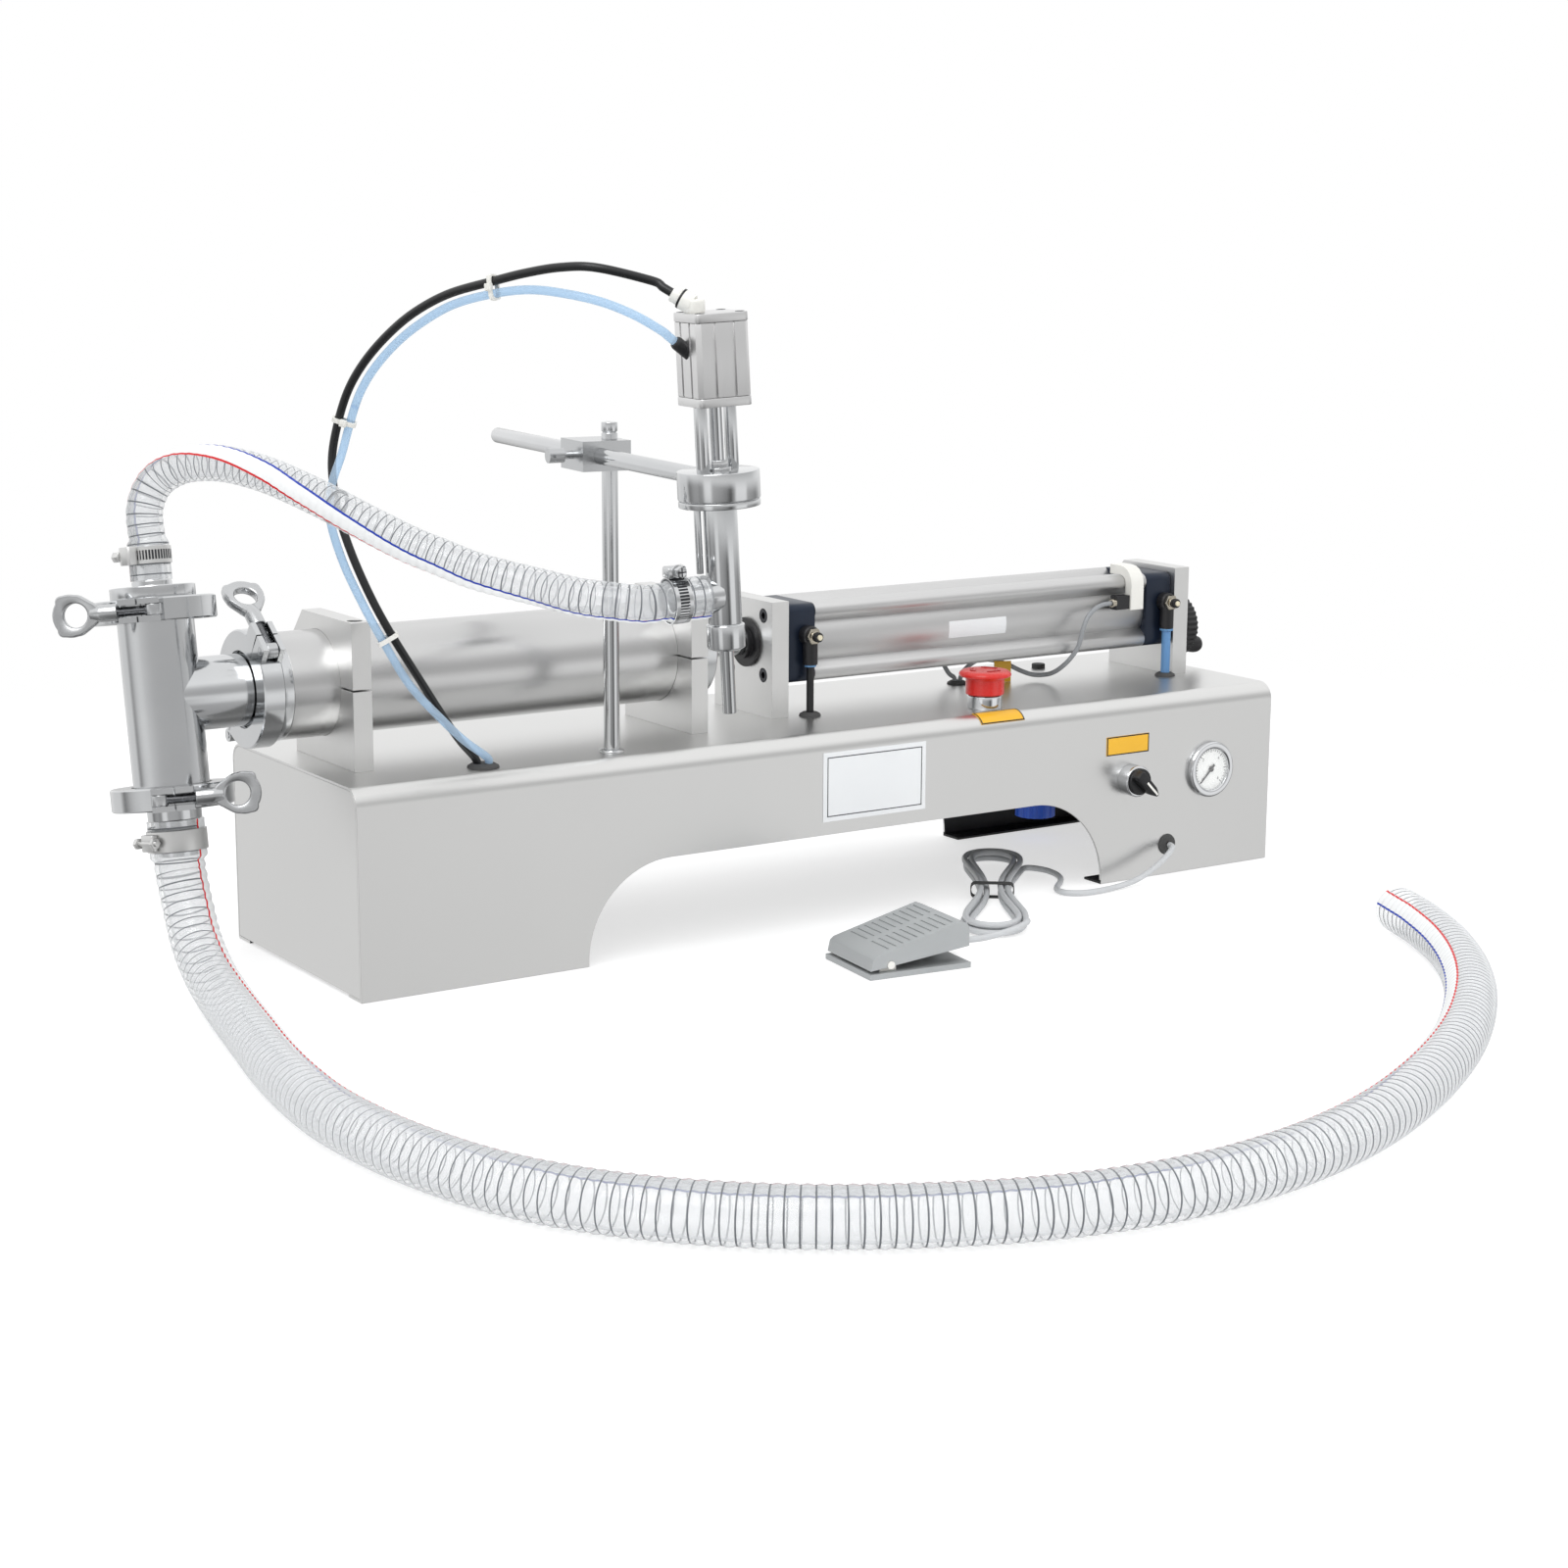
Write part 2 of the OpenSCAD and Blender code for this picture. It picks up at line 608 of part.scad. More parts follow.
module grommets() {
    color([0.07, 0.07, 0.08]) {
        translate([hose_hole.x, hose_hole.y, base_h]) difference() {
            grommet(9, 0.5);
            for (s = [-1, 1]) {
                translate([s * 3.7, -s * 1.8, -10])
                    cylinder(r = (s < 0 ? black_d : blue_d) / 2 + seat, h = 20);
            }
        }
        translate([air_hole_front.x, air_hole_front.y, base_h]) grommet(6, 3 + seat);
        translate([air_hole_back.x, air_hole_back.y, base_h]) grommet(6, 4 + seat);
        translate([cable_hole.x, cable_hole.y, base_h]) difference() {
            grommet(6, 0.5);
            for (s = [-1, 1]) {
                translate([s * cable_apart, 0, -10]) cylinder(r = cable_d / 2 + 0.3, h = 20);
            }
        }
        translate([cord_hole.x, -base_w / 2, cord_hole.y]) rotate([90, 0, 0]) grommet(6, cord_d / 2 + seat);
    }
}
module label_plates() {
    plate = 0.6;
    over = [bend_r + plate, 0];
    color([0.9, 0.9, 0.88]) translate([-36.6, -base_w / 2 - plate, 86]) cube([98.6, plate, 55]);
    color([0.95, 0.72, 0.15]) {
        translate([249, -base_w / 2 - plate, 109]) cube([45.5, plate, 16]);
        translate([119.1, -base_w / 2 - plate, base_h - bend_r]) rotate([90, 0, 90])
            linear_extrude(44) polygon(concat(
            arc(over, bend_r + plate, 150, 90, 4),
            [[bend_r + 2, bend_r + plate], [bend_r + 2, bend_r]],
            arc(over, bend_r, 90, 150, 4)
        ));
    }
}
module control_box() {
    top = base_h - sheet_t;
    color([0.2, 0.2, 0.22]) {
        translate([60, 20, top - 57]) cube([120, 75, 57]);
        translate([regulator_at.x, regulator_at.y, 0]) difference() {
            union() {
                translate([-20, -20, 58]) cube([40, 40, top - 58 - 22]);
                translate([0, 0, top - 22]) cylinder(r = 14, h = 22);
                translate([0, 0, top - 1]) cylinder(r = 5.9, h = 7);
            }
            translate([0, 0, 50]) cylinder(r = 4.05, h = 24);
        }
        difference() {
            translate([regulator_at.x, regulator_at.y + 20, base_h - 50]) rotate([-90, 0, 0])
                cylinder(r = 8.9, h = base_w / 2 + 6 - regulator_at.y - 20);
            translate([regulator_at.x, base_w / 2 - 8, base_h - 50]) rotate([-90, 0, 0])
                cylinder(r = 5.7, h = 20);
        }
    }
}
module regulator_knob() {
    color([0.1, 0.25, 0.75]) translate([regulator_at.x, regulator_at.y, 0]) {
        pin(4, 54, 73);
        difference() {
            pin(18, 21, 57.7);
            for (a = [0 : 20 : 340]) {
                rotate([0, 0, a]) translate([18.6, 0, 20]) cylinder(r = 1.4, h = 30, $fn = 16);
            }
        }
    }
}

// Saddles, plates and their screws
module saddle() {
    low = base_h - line_z;
    front = 52.5 + line_y;
    back = saddle_w - front;
    difference() {
        linear_extrude(saddle_t) difference() {
            polygon([[-front, low], [back, low], [back, saddle_up - bevel], [back - bevel + 1,
                saddle_up], [-front, saddle_up]]);
            circle(r = prod_d / 2 + seat);
            translate([-front - cut, slit * 0.5]) square([front, slit]);
        }
        translate([-front + 10.5, saddle_up + cut, saddle_t / 2]) rotate([90, 0, 0])
            cylinder(r = 3.2, h = saddle_up + 25);
        translate([-front + 10.5, saddle_up + cut, saddle_t / 2]) rotate([90, 0, 0])
            cylinder(r = 5.6, h = 7);
    }
}
module cylinder_saddles() {
    color([0.8, 0.8, 0.81]) {
        on_line(front_saddle_x) saddle();
        on_line(back_saddle_x) saddle();
    }
}
plate_front = plate_w / 2 - 13;
module plate(hole_r, screw_hole) {
    low = base_h - line_z;
    back = plate_w - plate_front - line_y;
    front = plate_front + line_y;
    difference() {
        linear_extrude(plate_t) difference() {
            polygon([[-front, low], [back, low], [back, plate_up - bevel], [back - bevel + 1,
                plate_up], [-front, plate_up]]);
            circle(r = hole_r);
            for (x = [-24, 24], y = [-24, 24]) {
                translate([x, y]) circle(r = 3.2);
            }
            if (screw_hole) {
                translate([-screw_front, -screw_drop]) circle(r = screw_d / 2 + 0.5);
            }
        }
        for (x = [-24, 24], y = [-24, 24]) {
            translate([x, y, screw_hole ? plate_t - 6 : -cut]) cylinder(r = 5.8, h = 6 + cut);
        }
    }
}
module cylinder_plates() {
    color([0.8, 0.8, 0.81]) {
        on_line(front_plate_x) plate(rod_d / 2 + 3.2, false);
        on_line(back_plate_x) plate(6, true);
    }
}
module cap_screw(r, l) {
    difference() {
        union() {
            pin(r, -l, 0);
            pin(r * 1.75, 0, 5);
        }
        translate([0, 0, 2]) cylinder(r = r * 0.95, h = 4, $fn = 6);
    }
}
module socket_screws() {
    color([0.35, 0.35, 0.37]) {
        for (x = [-24, 24], y = [-24, 24]) {
            on_line(front_plate_x + 5) translate([x, y, 0]) rotate([180, 0, 0]) cap_screw(3, 22);
            on_line(back_plate_x + plate_t - 6) translate([x, y, 0]) cap_screw(3, 22);
        }
        for (x = [front_saddle_x, back_saddle_x]) {
            on_line(x) translate([-42 - line_y, saddle_up - 6, saddle_t / 2])
                rotate([-90, 0, 0]) cap_screw(3, 60);
        }
    }
}

// Product cylinder and its pistons
module product_cylinder() {
    color([0.72, 0.72, 0.73]) on_line(0) pipe(prod_d / 2, prod_bore_r, prod_x0, prod_x1);
}
module rim(tube_r) {
    rotate_extrude() polygon([
        [0, gasket_t / 2], [ferrule_d / 2, gasket_t / 2], [ferrule_d / 2, gasket_t / 2 + rim_t],
        [tube_r, gasket_t / 2 + rim_t + taper_t], [0, gasket_t / 2 + rim_t + taper_t]
    ]);
}
module cylinder_end_caps() {
    color([0.74, 0.74, 0.75]) {
        on_line(ferrule_x) difference() {
            union() {
                rim(tee_d / 2 - 0.5);
                pin(tee_d / 2 - 0.5, 2, prod_x0 - front_cap_t - ferrule_x + cut);
                pin(prod_cap_d / 2, prod_x0 - front_cap_t - ferrule_x, prod_x0 - ferrule_x);
            }
            pin(tee_d / 2 - tee_wall - 0.5, -cut, prod_x0 - ferrule_x + cut);
        }
        on_line(prod_x1) difference() {
            union() {
                pin(prod_cap_d / 2, 0, back_cap_t);
                pin(prod_bore_r - seat, -10, cut);
            }
            pin(rod_d / 2 + rod_fit, -11, back_cap_t + cut);
        }
    }
}
module groove(r, z) {
    translate([0, 0, z]) rotate_extrude() translate([r - 2.4, 0]) square([4, 4]);
}
module pistons() {
    color([0.92, 0.92, 0.9]) on_line(prod_piston_x) difference() {
        pin(prod_bore_r - 0.5, 0, piston_t);
        pin(rod_d / 2 - 2, 4 + cut, piston_t + cut);
        pin(rod_d / 2, 4, piston_t + cut);
        groove(prod_bore_r, 5);
        groove(prod_bore_r, 16);
    }
    color([0.6, 0.6, 0.62]) on_line(air_piston_x) difference() {
        pin(barrel_bore / 2 - 0.4, 0, 26);
        pin(rod_d / 2, -cut, 22);
        groove(barrel_bore / 2, 10);
    }
    color([0.1, 0.1, 0.1]) {
        for (z = [5, 16]) {
            on_line(prod_piston_x) pipe(prod_bore_r - slide_fit, prod_bore_r - 2.4 + seat, z + seat,
                z + 4 - seat);
        }
        on_line(air_piston_x) pipe(barrel_bore / 2 - slide_fit, barrel_bore / 2 - 2.4 + seat,
            10 + seat, 14 - seat);
    }
}
module piston_rod() {
    color([0.82, 0.83, 0.85]) on_line(0) pin(rod_d / 2, rod_x0, rod_x1);
}
module ring_seal(inner_r) {
    pipe(ferrule_d / 2, inner_r, -gasket_t / 2, gasket_t / 2);
}
module seals() {
    tube_r = tee_d / 2 - tee_wall;
    color([0.12, 0.12, 0.13]) {
        on_line(front_plate_x) {
            difference() {
                union() {
                    pin(20, -3, 0);
                    pin(13, -7, -2);
                    pin(rod_d / 2 + 3.1, -1, plate_t);
                }
                pin(rod_d / 2 + rod_fit, -8, plate_t + cut);
            }
        }
    }
    color([0.9, 0.9, 0.88]) {
        on_line(ferrule_x) ring_seal(tee_d / 2 - tee_wall - 0.5);
        on_tee() {
            translate([0, 0, tee_top]) ring_seal(tube_r);
            translate([0, 0, -tee_bottom]) ring_seal(tube_r);
            pipe(tube_r - seat, 15, tee_top - 9, tee_top - 5);
            pipe(tube_r - seat, 15, 5 - tee_bottom, 9 - tee_bottom);
            difference() {
                union() {
                    pipe(tube_r - seat, tube_r - 3, 27 - tee_bottom, 29 - tee_bottom);
                    translate([-tube_r + 2, -2, 27 - tee_bottom]) cube([2 * tube_r - 4, 4, 2]);
                    pin(6, 26 - tee_bottom, 30 - tee_bottom);
                }
                pin(3 + slide_fit, 20 - tee_bottom, 40 - tee_bottom);
            }
        }
    }
}

// Air cylinder
module barrel_outline(grow) {
    circle(r = barrel_d / 2 + grow, $fn = 64);
    for (x = [-tie_off, tie_off], y = [-tie_off, tie_off]) {
        translate([x, y]) circle(r = lobe_r + grow, $fn = 24);
    }
}
module air_barrel() {
    color([0.74, 0.75, 0.77]) on_line(barrel_x0) linear_extrude(barrel_l) difference() {
        union() {
            barrel_outline(0);
            for (a = [45 : 90 : 315]) {
                rotate([0, 0, a]) translate([20, -4.5]) square([12, 9]);
            }
        }
        circle(r = barrel_bore / 2);
    }
}
module cap_block(t, bore_r) {
    linear_extrude(t) difference() {
        polygon(soft_box(cap_w, cap_w, 4, 3));
        circle(r = bore_r);
        for (x = [-24, 24], y = [-24, 24]) {
            translate([x, y]) circle(r = 3.2);
        }
    }
}
module air_end_caps() {
    color([0.12, 0.17, 0.25]) {
        on_line(air_x0) difference() {
            cap_block(air_cap_front_t, rod_d / 2 + rod_fit);
            flow_port(air_cap_front_t - 9.1);
        }
        on_line(barrel_x1) difference() {
            cap_block(air_cap_back_t, 8);
            translate([-screw_front, -screw_drop, -cut])
                cylinder(r = screw_d / 2 + slide_fit, h = air_cap_back_t + 2 * cut);
            flow_port(19);
        }
    }
}
module flow_port(z) {
    translate([-cap_w / 2 - cut, 7, z]) rotate([0, 90, 0]) cylinder(r = 4.6, h = 9);
}

// Stroke adjuster
module stop_plate() {
    color([0.6, 0.6, 0.62]) on_line(stop_x) difference() {
        pin(barrel_bore / 2 - 0.4, 0, stop_t);
        translate([-screw_front, -screw_drop, -cut])
            cylinder(r = tip_d / 2 + slide_fit, h = stop_t + 2 * cut);
    }
}
module on_screw(x) {
    translate([x, screw_y, screw_z]) rotate([90, 0, 90]) children();
}
module handwheel() {
    color([0.55, 0.56, 0.58]) on_screw(0) {
        pin(screw_d / 2, stop_x + stop_t + seat, wheel_x + wheel_t);
        pin(tip_d / 2, stop_x + 1, stop_x + stop_t + cut);
    }
    color([0.06, 0.06, 0.06]) on_screw(wheel_x) difference() {
        union() {
            pipe(wheel_d / 2, wheel_d / 2 - 5, 0, wheel_t);
            pin(wheel_d / 2 - 4, 2, wheel_t - 2);
            pin(9, -2, wheel_t + 2);
        }
        for (a = [0 : 10 : 350]) {
            rotate([0, 0, a]) translate([wheel_d / 2 + 0.3, 0, -cut])
                cylinder(r = 1.3, h = wheel_t + 2 * cut, $fn = 16);
        }
        translate([0, 0, -3]) cylinder(r = screw_d / 2, h = wheel_t + 3);
        rotate([0, 0, -90 - crank_angle]) translate([crank_r, 0, -cut])
            cylinder(r = 2.5, h = wheel_t + 2 * cut);
    }
}
module crank_knob() {
    color([0.12, 0.12, 0.13]) on_screw(wheel_x) rotate([0, 0, -90 - crank_angle])
        translate([crank_r, 0, 0]) {
        pin(2.5 - slide_fit, 1, wheel_t);
        rotate_extrude() polygon([
            [0, wheel_t - 1], [2.4, wheel_t - 1], [2.4, wheel_t + free_fit], [crank_d / 2 - 2,
                wheel_t + free_fit],
            [crank_d / 2 - 0.6, wheel_t + 4], [crank_d / 2, wheel_t + 9], [crank_d / 2, wheel_t + 13],
            [crank_d / 2 - 1.6, wheel_t + 16], [crank_d / 2 - 4, wheel_t + 17], [0, wheel_t + 17]
        ]);
    }
}

// Flow controls, their tubes and the piston sensor
module at_flow(i) {
    translate([flow_x[i], flow_y, flow_z]) rotate([90, 0, 0]) children();
}
module flow_elbows() {
    for (i = [0, 1]) {
        color([0.05, 0.05, 0.06]) difference() {
            union() {
                at_flow(i) pin(4.5, -7, 0.5);
                at_flow(i) pin(8, 0, 9.5);
                translate([flow_x[i], flow_y - flow_out, flow_low]) cylinder(r = 6, h = flow_z - flow_low);
            }
            at_flow(i) pin(2.5, -8, 13);
            translate([flow_x[i], flow_y - flow_out, flow_low - cut])
                cylinder(r = (i == 0 ? 3 : 4) + seat, h = 9 + cut);
        }
        color([0.75, 0.7, 0.62]) at_flow(i) difference() {
            union() {
                translate([0, 0, 9.5 + seat]) cylinder(r = 6.6, h = 3.5, $fn = 6);
                pin(4, 12, 14.5);
            }
            pin(2 + slide_fit, 9, 16);
        }
    }
}
module flow_knob(i) {
    at_flow(i) {
        pin(2, 6, 15.5);
        pin(4.2, 14.8, 19.5);
        pin(1.8, 19, 21);
    }
}
module flow_knob_front() {
    color([0.08, 0.08, 0.08]) flow_knob(0);
}
module flow_knob_rear() {
    color([0.08, 0.08, 0.08]) flow_knob(1);
}
module air_tubes() {
    for (i = [0, 1]) {
        color(i == 0 ? [0.06, 0.06, 0.07] : [0.3, 0.5, 0.85]) translate([flow_x[i], flow_y - flow_out, 0])
            pipe(i == 0 ? 3 : 4, i == 0 ? 2 : 2.6, base_h - sheet_t - 2, flow_low + 7);
    }
}
module strap_box(grow) {
    polygon(soft_box(2 * (tie_off + lobe_r + grow), 2 * (tie_off + lobe_r + grow), lobe_r + grow, 5));
}
module sensor_strap() {
    color([0.9, 0.9, 0.9]) on_line(strap_x) linear_extrude(14) difference() {
        intersection() {
            strap_box(8.5);
            translate([-60, 3]) square([49, 60]);
        }
        strap_box(seat);
    }
    color([0.15, 0.15, 0.16]) on_line(strap_x) {
        translate([-39, 4, -15]) cube([8.5, 12, 14.8]);
        translate([barrel_d / 2 + 0.1, -8, -16]) cube([9.8, 14, 15]);
    }
}
module sensor_cable() {
    color([0.62, 0.63, 0.64]) for (route = [sensor_route, second_route]) {
        p = curve(route, 6);
        cord(stations(p, even(p, 36)), cable_d, 8, [0, 0, 1]);
    }
    color([0.95, 0.75, 0.15]) translate([238, 18.4, base_h + 0.1]) rotate([0, 0, -22.3])
        translate([-8, -cable_d / 2 - 1.2, 0])
        cube([15, 1, 18.4]);
}

// Inlet tee with its check valves
module tee_body() {
    tube_r = tee_d / 2 - tee_wall;
    branch_r = tee_d / 2 - 0.5;
    color([0.76, 0.76, 0.77]) difference() {
        union() {
            on_tee() {
                pin(tee_d / 2, 4 - tee_bottom, tee_top - 4);
                translate([0, 0, tee_top]) mirror([0, 0, 1]) rim(tee_d / 2);
                translate([0, 0, -tee_bottom]) rim(tee_d / 2);
            }
            on_line(tee_x) pin(branch_r, 0, branch_l - 4);
            on_line(ferrule_x) mirror([0, 0, 1]) rim(branch_r);
        }
        on_tee() pin(tube_r, -tee_bottom - cut, tee_top + cut);
        on_line(tee_x) pin(branch_r - tee_wall, 0, branch_l + cut);
    }
}
module poppet(z0, stem) {
    pin(19, z0, z0 + 3);
    pin(3, z0, z0 + stem);
}
module suction_poppet() {
    color([0.85, 0.85, 0.86]) on_tee() poppet(9.2 - tee_bottom, 28);
}
module discharge_poppet() {
    color([0.85, 0.85, 0.86]) on_tee() poppet(tee_top - 4.8, 22);
}
module return_springs() {
    color([0.7, 0.7, 0.72]) {
        on_tee() {
            pipe(5.5, 4, 12.5 - tee_bottom, 25.8 - tee_bottom);
            pipe(5.5, 4, tee_top - 1.6, tee_top + 9.8);
        }
        on_pedal() translate([pedal_spring.x, pedal_spring.y, 0]) pipe(5, 3.6, 4.4, pedal_spring.z - 0.2);
    }
}
module hose_adaptors() {
    inner = tee_d / 2 - tee_wall - 2;
    color([0.78, 0.78, 0.79]) on_tee() {
        translate([0, 0, tee_top]) difference() {
            union() {
                rim(tee_d / 2);
                pin(tee_d / 2, 4, 9);
                pin(30, 8.3, 17);
                pin(14, 16, product_start - tee_top);
                pin(product_bore / 2 - 0.6, 20, product_start - tee_top + barb_l);
            }
            pin(inner, -cut, 9.9);
            pin(3 + slide_fit, 9, 13);
            for (a = [0 : 60 : 300]) {
                rotate([0, 0, a]) translate([10, 0, 9]) cylinder(r = 3.6, h = 4);
            }
            pin(14.5, 12.4, 15);
            pin(product_bore / 2 - 2.5, 14.9, product_start - tee_top + barb_l + cut);
        }
        translate([0, 0, -tee_bottom]) mirror([0, 0, 1]) difference() {
            union() {
                rim(tee_d / 2);
                pin(tee_d / 2, 4, 9);
                pin(19.2, 8, 17);
                pin(suction_bore / 2 - 0.6, 16, 17 + barb_l + 1);
            }
            pin(suction_bore / 2 - 3, -cut, 60);
        }
    }
}

// Tri-clamps on their own axes: the ring's axis is z and the bolt runs along y
module half_ring_profile() {
    r = ring_d / 2;
    w = ring_w / 2;
    root = ferrule_d / 2 + free_fit;
    lip = tee_d / 2 + 1.5;
    face = gasket_t / 2 + rim_t + free_fit;
    polygon([
        [lip, -w], [r - 1, -w], [r, 1 - w], [r, w - 1], [r - 1, w], [lip, w], [lip, face + 1.6],
        [root, face], [root, -face], [lip, -face - 1.6]
    ]);
}
module knuckle(r, h) {
    translate([-ring_d / 2 - 3.5, 0, -h / 2]) cylinder(r = r, h = h);
}
module jaw(side) {
    w = ring_w / 2;
    ear_l = side < 0 ? 16 : nut_y;
    difference() {
        union() {
            intersection() {
                rotate_extrude() half_ring_profile();
                translate([-100, side > 0 ? 0.25 : -100, -50]) cube([200, 99.75, 100]);
            }
            intersection() {
                translate([ring_d / 2 - 3, side > 0 ? 0.6 : -ear_l, -w]) cube([13.5, ear_l - 0.6, 2 * w]);
                translate([bolt_x, pivot_y, -w - cut])
                    cylinder(r = nut_y - pivot_y - free_fit, h = 2 * w + 2 * cut);
            }
            if (side > 0) {
                knuckle(5, 7.6);
            } else {
                knuckle(5, ring_w);
            }
        }
        if (side > 0) {
            for (z = [-1, 1]) {
                translate([0, 0, z * 8]) knuckle(5.4, 8.1);
            }
        } else {
            knuckle(5.4, 8.1);
        }
        knuckle(2.5 + slide_fit, 40);
        translate([bolt_x - 6.6, -20, -4.3]) cube([20, 50, 8.6]);
        translate([bolt_x, pivot_y, -30]) cylinder(r = 3 + slide_fit, h = 60);
    }
}
module clamp_jaws() {
    color([0.78, 0.78, 0.79]) for (k = [0 : 2]) {
        at_ring(k) {
            jaw(1);
            jaw(-1);
            knuckle(2.5, ring_w + 1);
        }
    }
}
module at_ring(k) {
    if (k == 0) {
        on_front_ring() children();
    } else if (k == 1) {
        on_top_ring() children();
    } else {
        on_bottom_ring() children();
    }
}
module tbolt() {
    translate([bolt_x, pivot_y, 0]) {
        pin(5.8, -4, 4);
        pin(3, -ring_w / 2, ring_w / 2);
        rotate([-90, 0, 0]) pin(bolt_d / 2, 0, nut_y + 16 - pivot_y);
    }
}
module eye_nut() {
    h = eye_d / 2;
    translate([bolt_x, 0, 0]) difference() {
        union() {
            rotate([-90, 0, 0]) pin(6, nut_y, eye_y - eye_bore / 2 - 1.5);
            translate([-3.5, eye_y, 0]) rotate([90, 0, 90]) linear_extrude(7) polygon([
                [-h - 2, -5], [6 - h, 4.5 - h], [-3, 0.5 - h], [h - 4, 0.5 - h], [h - 1.5, 3 - h],
                [h - 1.5, h - 3], [h - 4, h - 0.5], [-3, h - 0.5], [6 - h, h - 4.5], [-h - 2, 5]
            ]);
        }
        translate([-10, eye_y, 0]) rotate([0, 90, 0]) cylinder(r = eye_bore / 2, h = 20);
        rotate([-90, 0, 0]) pin(bolt_d / 2 + slide_fit, nut_y - cut, nut_y + 17);
    }
}
module front_tbolt() {
    color([0.7, 0.7, 0.71]) on_front_ring() tbolt();
}
module top_tbolt() {
    color([0.7, 0.7, 0.71]) on_top_ring() tbolt();
}
module bottom_tbolt() {
    color([0.7, 0.7, 0.71]) on_bottom_ring() tbolt();
}
module front_eye_nut() {
    color([0.75, 0.75, 0.76]) on_front_ring() eye_nut();
}
module top_eye_nut() {
    color([0.75, 0.75, 0.76]) on_top_ring() eye_nut();
}
module bottom_eye_nut() {
    color([0.75, 0.75, 0.76]) on_bottom_ring() eye_nut();
}

// Hose clamps: two worm-drive bands and one wide bolted band
module worm_band(r, w, turn) {
    pipe(r + 0.8, r, 0, w);
    rotate([0, 0, turn]) {
        translate([r + 0.8, -6, 0]) cube([7, 12, w]);
        translate([r + 4.5, -13, w / 2]) rotate([-90, 0, 0]) cylinder(r = 4, h = 7);
    }
}
module hose_clamps() {
    product_r = product_d / 2 + product_cuff + 0.2;
    suction_r = suction_d / 2 + suction_cuff + 0.2;
    color([0.7, 0.7, 0.71]) {
        on_tee() translate([0, 0, product_start + 12]) worm_band(product_r, 12, 200);
        on_tee() translate([0, 0, suction_start - 22]) {
            pipe(suction_r + 0.9, suction_r, 0, 15);
            rotate([0, 0, 195]) {
                translate([suction_r + 0.8, -7, 2]) cube([6, 14, 11]);
                translate([suction_r + 5, -12, 7.5]) rotate([-90, 0, 0]) cylinder(r = 3, h = 24);
            }
        }
    }
}

// Stand
module stand_post() {
    top = base_h + post_up;
    color([0.72, 0.72, 0.74]) translate([post_x, post_y, 0]) {
        pin(post_d / 2, base_h, top - 8);
        pin(post_d / 2 - 0.8, top - 9, top - 7);
        pin(post_d / 2, top - 7, top);
    }
}
module cross_clamp() {
    left = arm_off - 14.7;
    right = left + clamp_w;
    color([0.78, 0.78, 0.8]) on_arm() difference() {
        translate([left, -clamp_l / 2, -clamp_h / 2]) cube([clamp_w, clamp_l, clamp_h]);
        translate([0, 0, -30]) cylinder(r = post_d / 2 + slide_fit, h = 60);
        translate([arm_off, 40, 0]) rotate([90, 0, 0]) cylinder(r = post_d / 2 + slide_fit, h = 80);
        translate([left - cut, 0, 0]) rotate([0, 90, 0])
            cylinder(r = 3.1, h = 14.7 - post_d / 2 + cut + 0.5);
        translate([post_d / 2 - 1, 0, 0]) rotate([0, 90, 0]) cylinder(r = 3.1, h = 30);
    }
    color([0.6, 0.6, 0.62]) on_arm() {
        translate([left - 1, 0, 0]) rotate([0, -90, 0]) {
            pin(3, left + post_d / 2 + 0.6 - arm_off, 8);
            pin(5.5, 6, 18);
            translate([-1.2, -9, 11]) cube([2.4, 18, 4]);
        }
        translate([right + 1, 0, 0]) rotate([0, 90, 0]) {
            pin(3, post_d / 2 + 0.6 - right - 1, 1);
            pin(4.5, 0, 6);
        }
    }
}
module stand_arm() {
    color([0.72, 0.72, 0.74]) on_arm() translate([arm_off, -arm_back, 0]) rotate([90, 0, 0])
        pin(post_d / 2, 0, arm_l);
}

// Filling head
module head_flange() {
    r = flange_d / 2;
    color([0.78, 0.78, 0.79]) on_head() {
        difference() {
            union() {
                pin(r, flange_low, flange_top);
                pin(r - 1.6, flange_low - seam - 0.1, flange_low + 0.1);
                pin(r - 0.3, plate_low, flange_low - seam);
                pin(9, flange_top - 0.5, flange_top + 2);
                translate([0, 0, flange_top + 1.5]) cylinder(r = 7, h = 5, $fn = 6);
            }
            pin(plunger_d / 2 + slide_fit, plate_low - cut, flange_top + 10);
            translate([0, 60, 0]) rotate([90, 0, 0]) cylinder(r = post_d / 2 + seat, h = 60 - arm_end_y());
        }
        for (s = [-1, 1]) {
            translate([s * tie_rod_at.x, s * tie_rod_at.y, 0]) pin(4.5, flange_top, act_z0);
        }
    }
}
function arm_end_y() = head_reach - arm_front;
module filling_tube() {
    color([0.74, 0.74, 0.75]) on_head() difference() {
        union() {
            pin(fill_d / 2, fill_low, plate_low);
            translate([0, 0, inlet_z]) rotate([0, -90, 0]) {
                pin(collar_d / 2 - 1, 0, inlet_l);
                pin(product_bore / 2 - 0.6, 0, inlet_l + barb_l);
            }
            translate([-fill_d / 2 - 3.4, 4, inlet_z + 15.3])
                cylinder(r = 2.4, h = plate_low - inlet_z - 15.3);
        }
        pin(fill_d / 2 - 2.5, fill_low - cut, plate_low + cut);
        translate([0, 0, inlet_z]) rotate([0, -90, 0])
            pin(product_bore / 2 - 2.5, 0, inlet_l + barb_l + cut);
    }
    color([0.7, 0.7, 0.71]) on_head() translate([-inlet_l - 16, 0, inlet_z]) rotate([0, -90, 0])
        worm_band(product_d / 2 + product_cuff + 0.2, 12, 0);
}
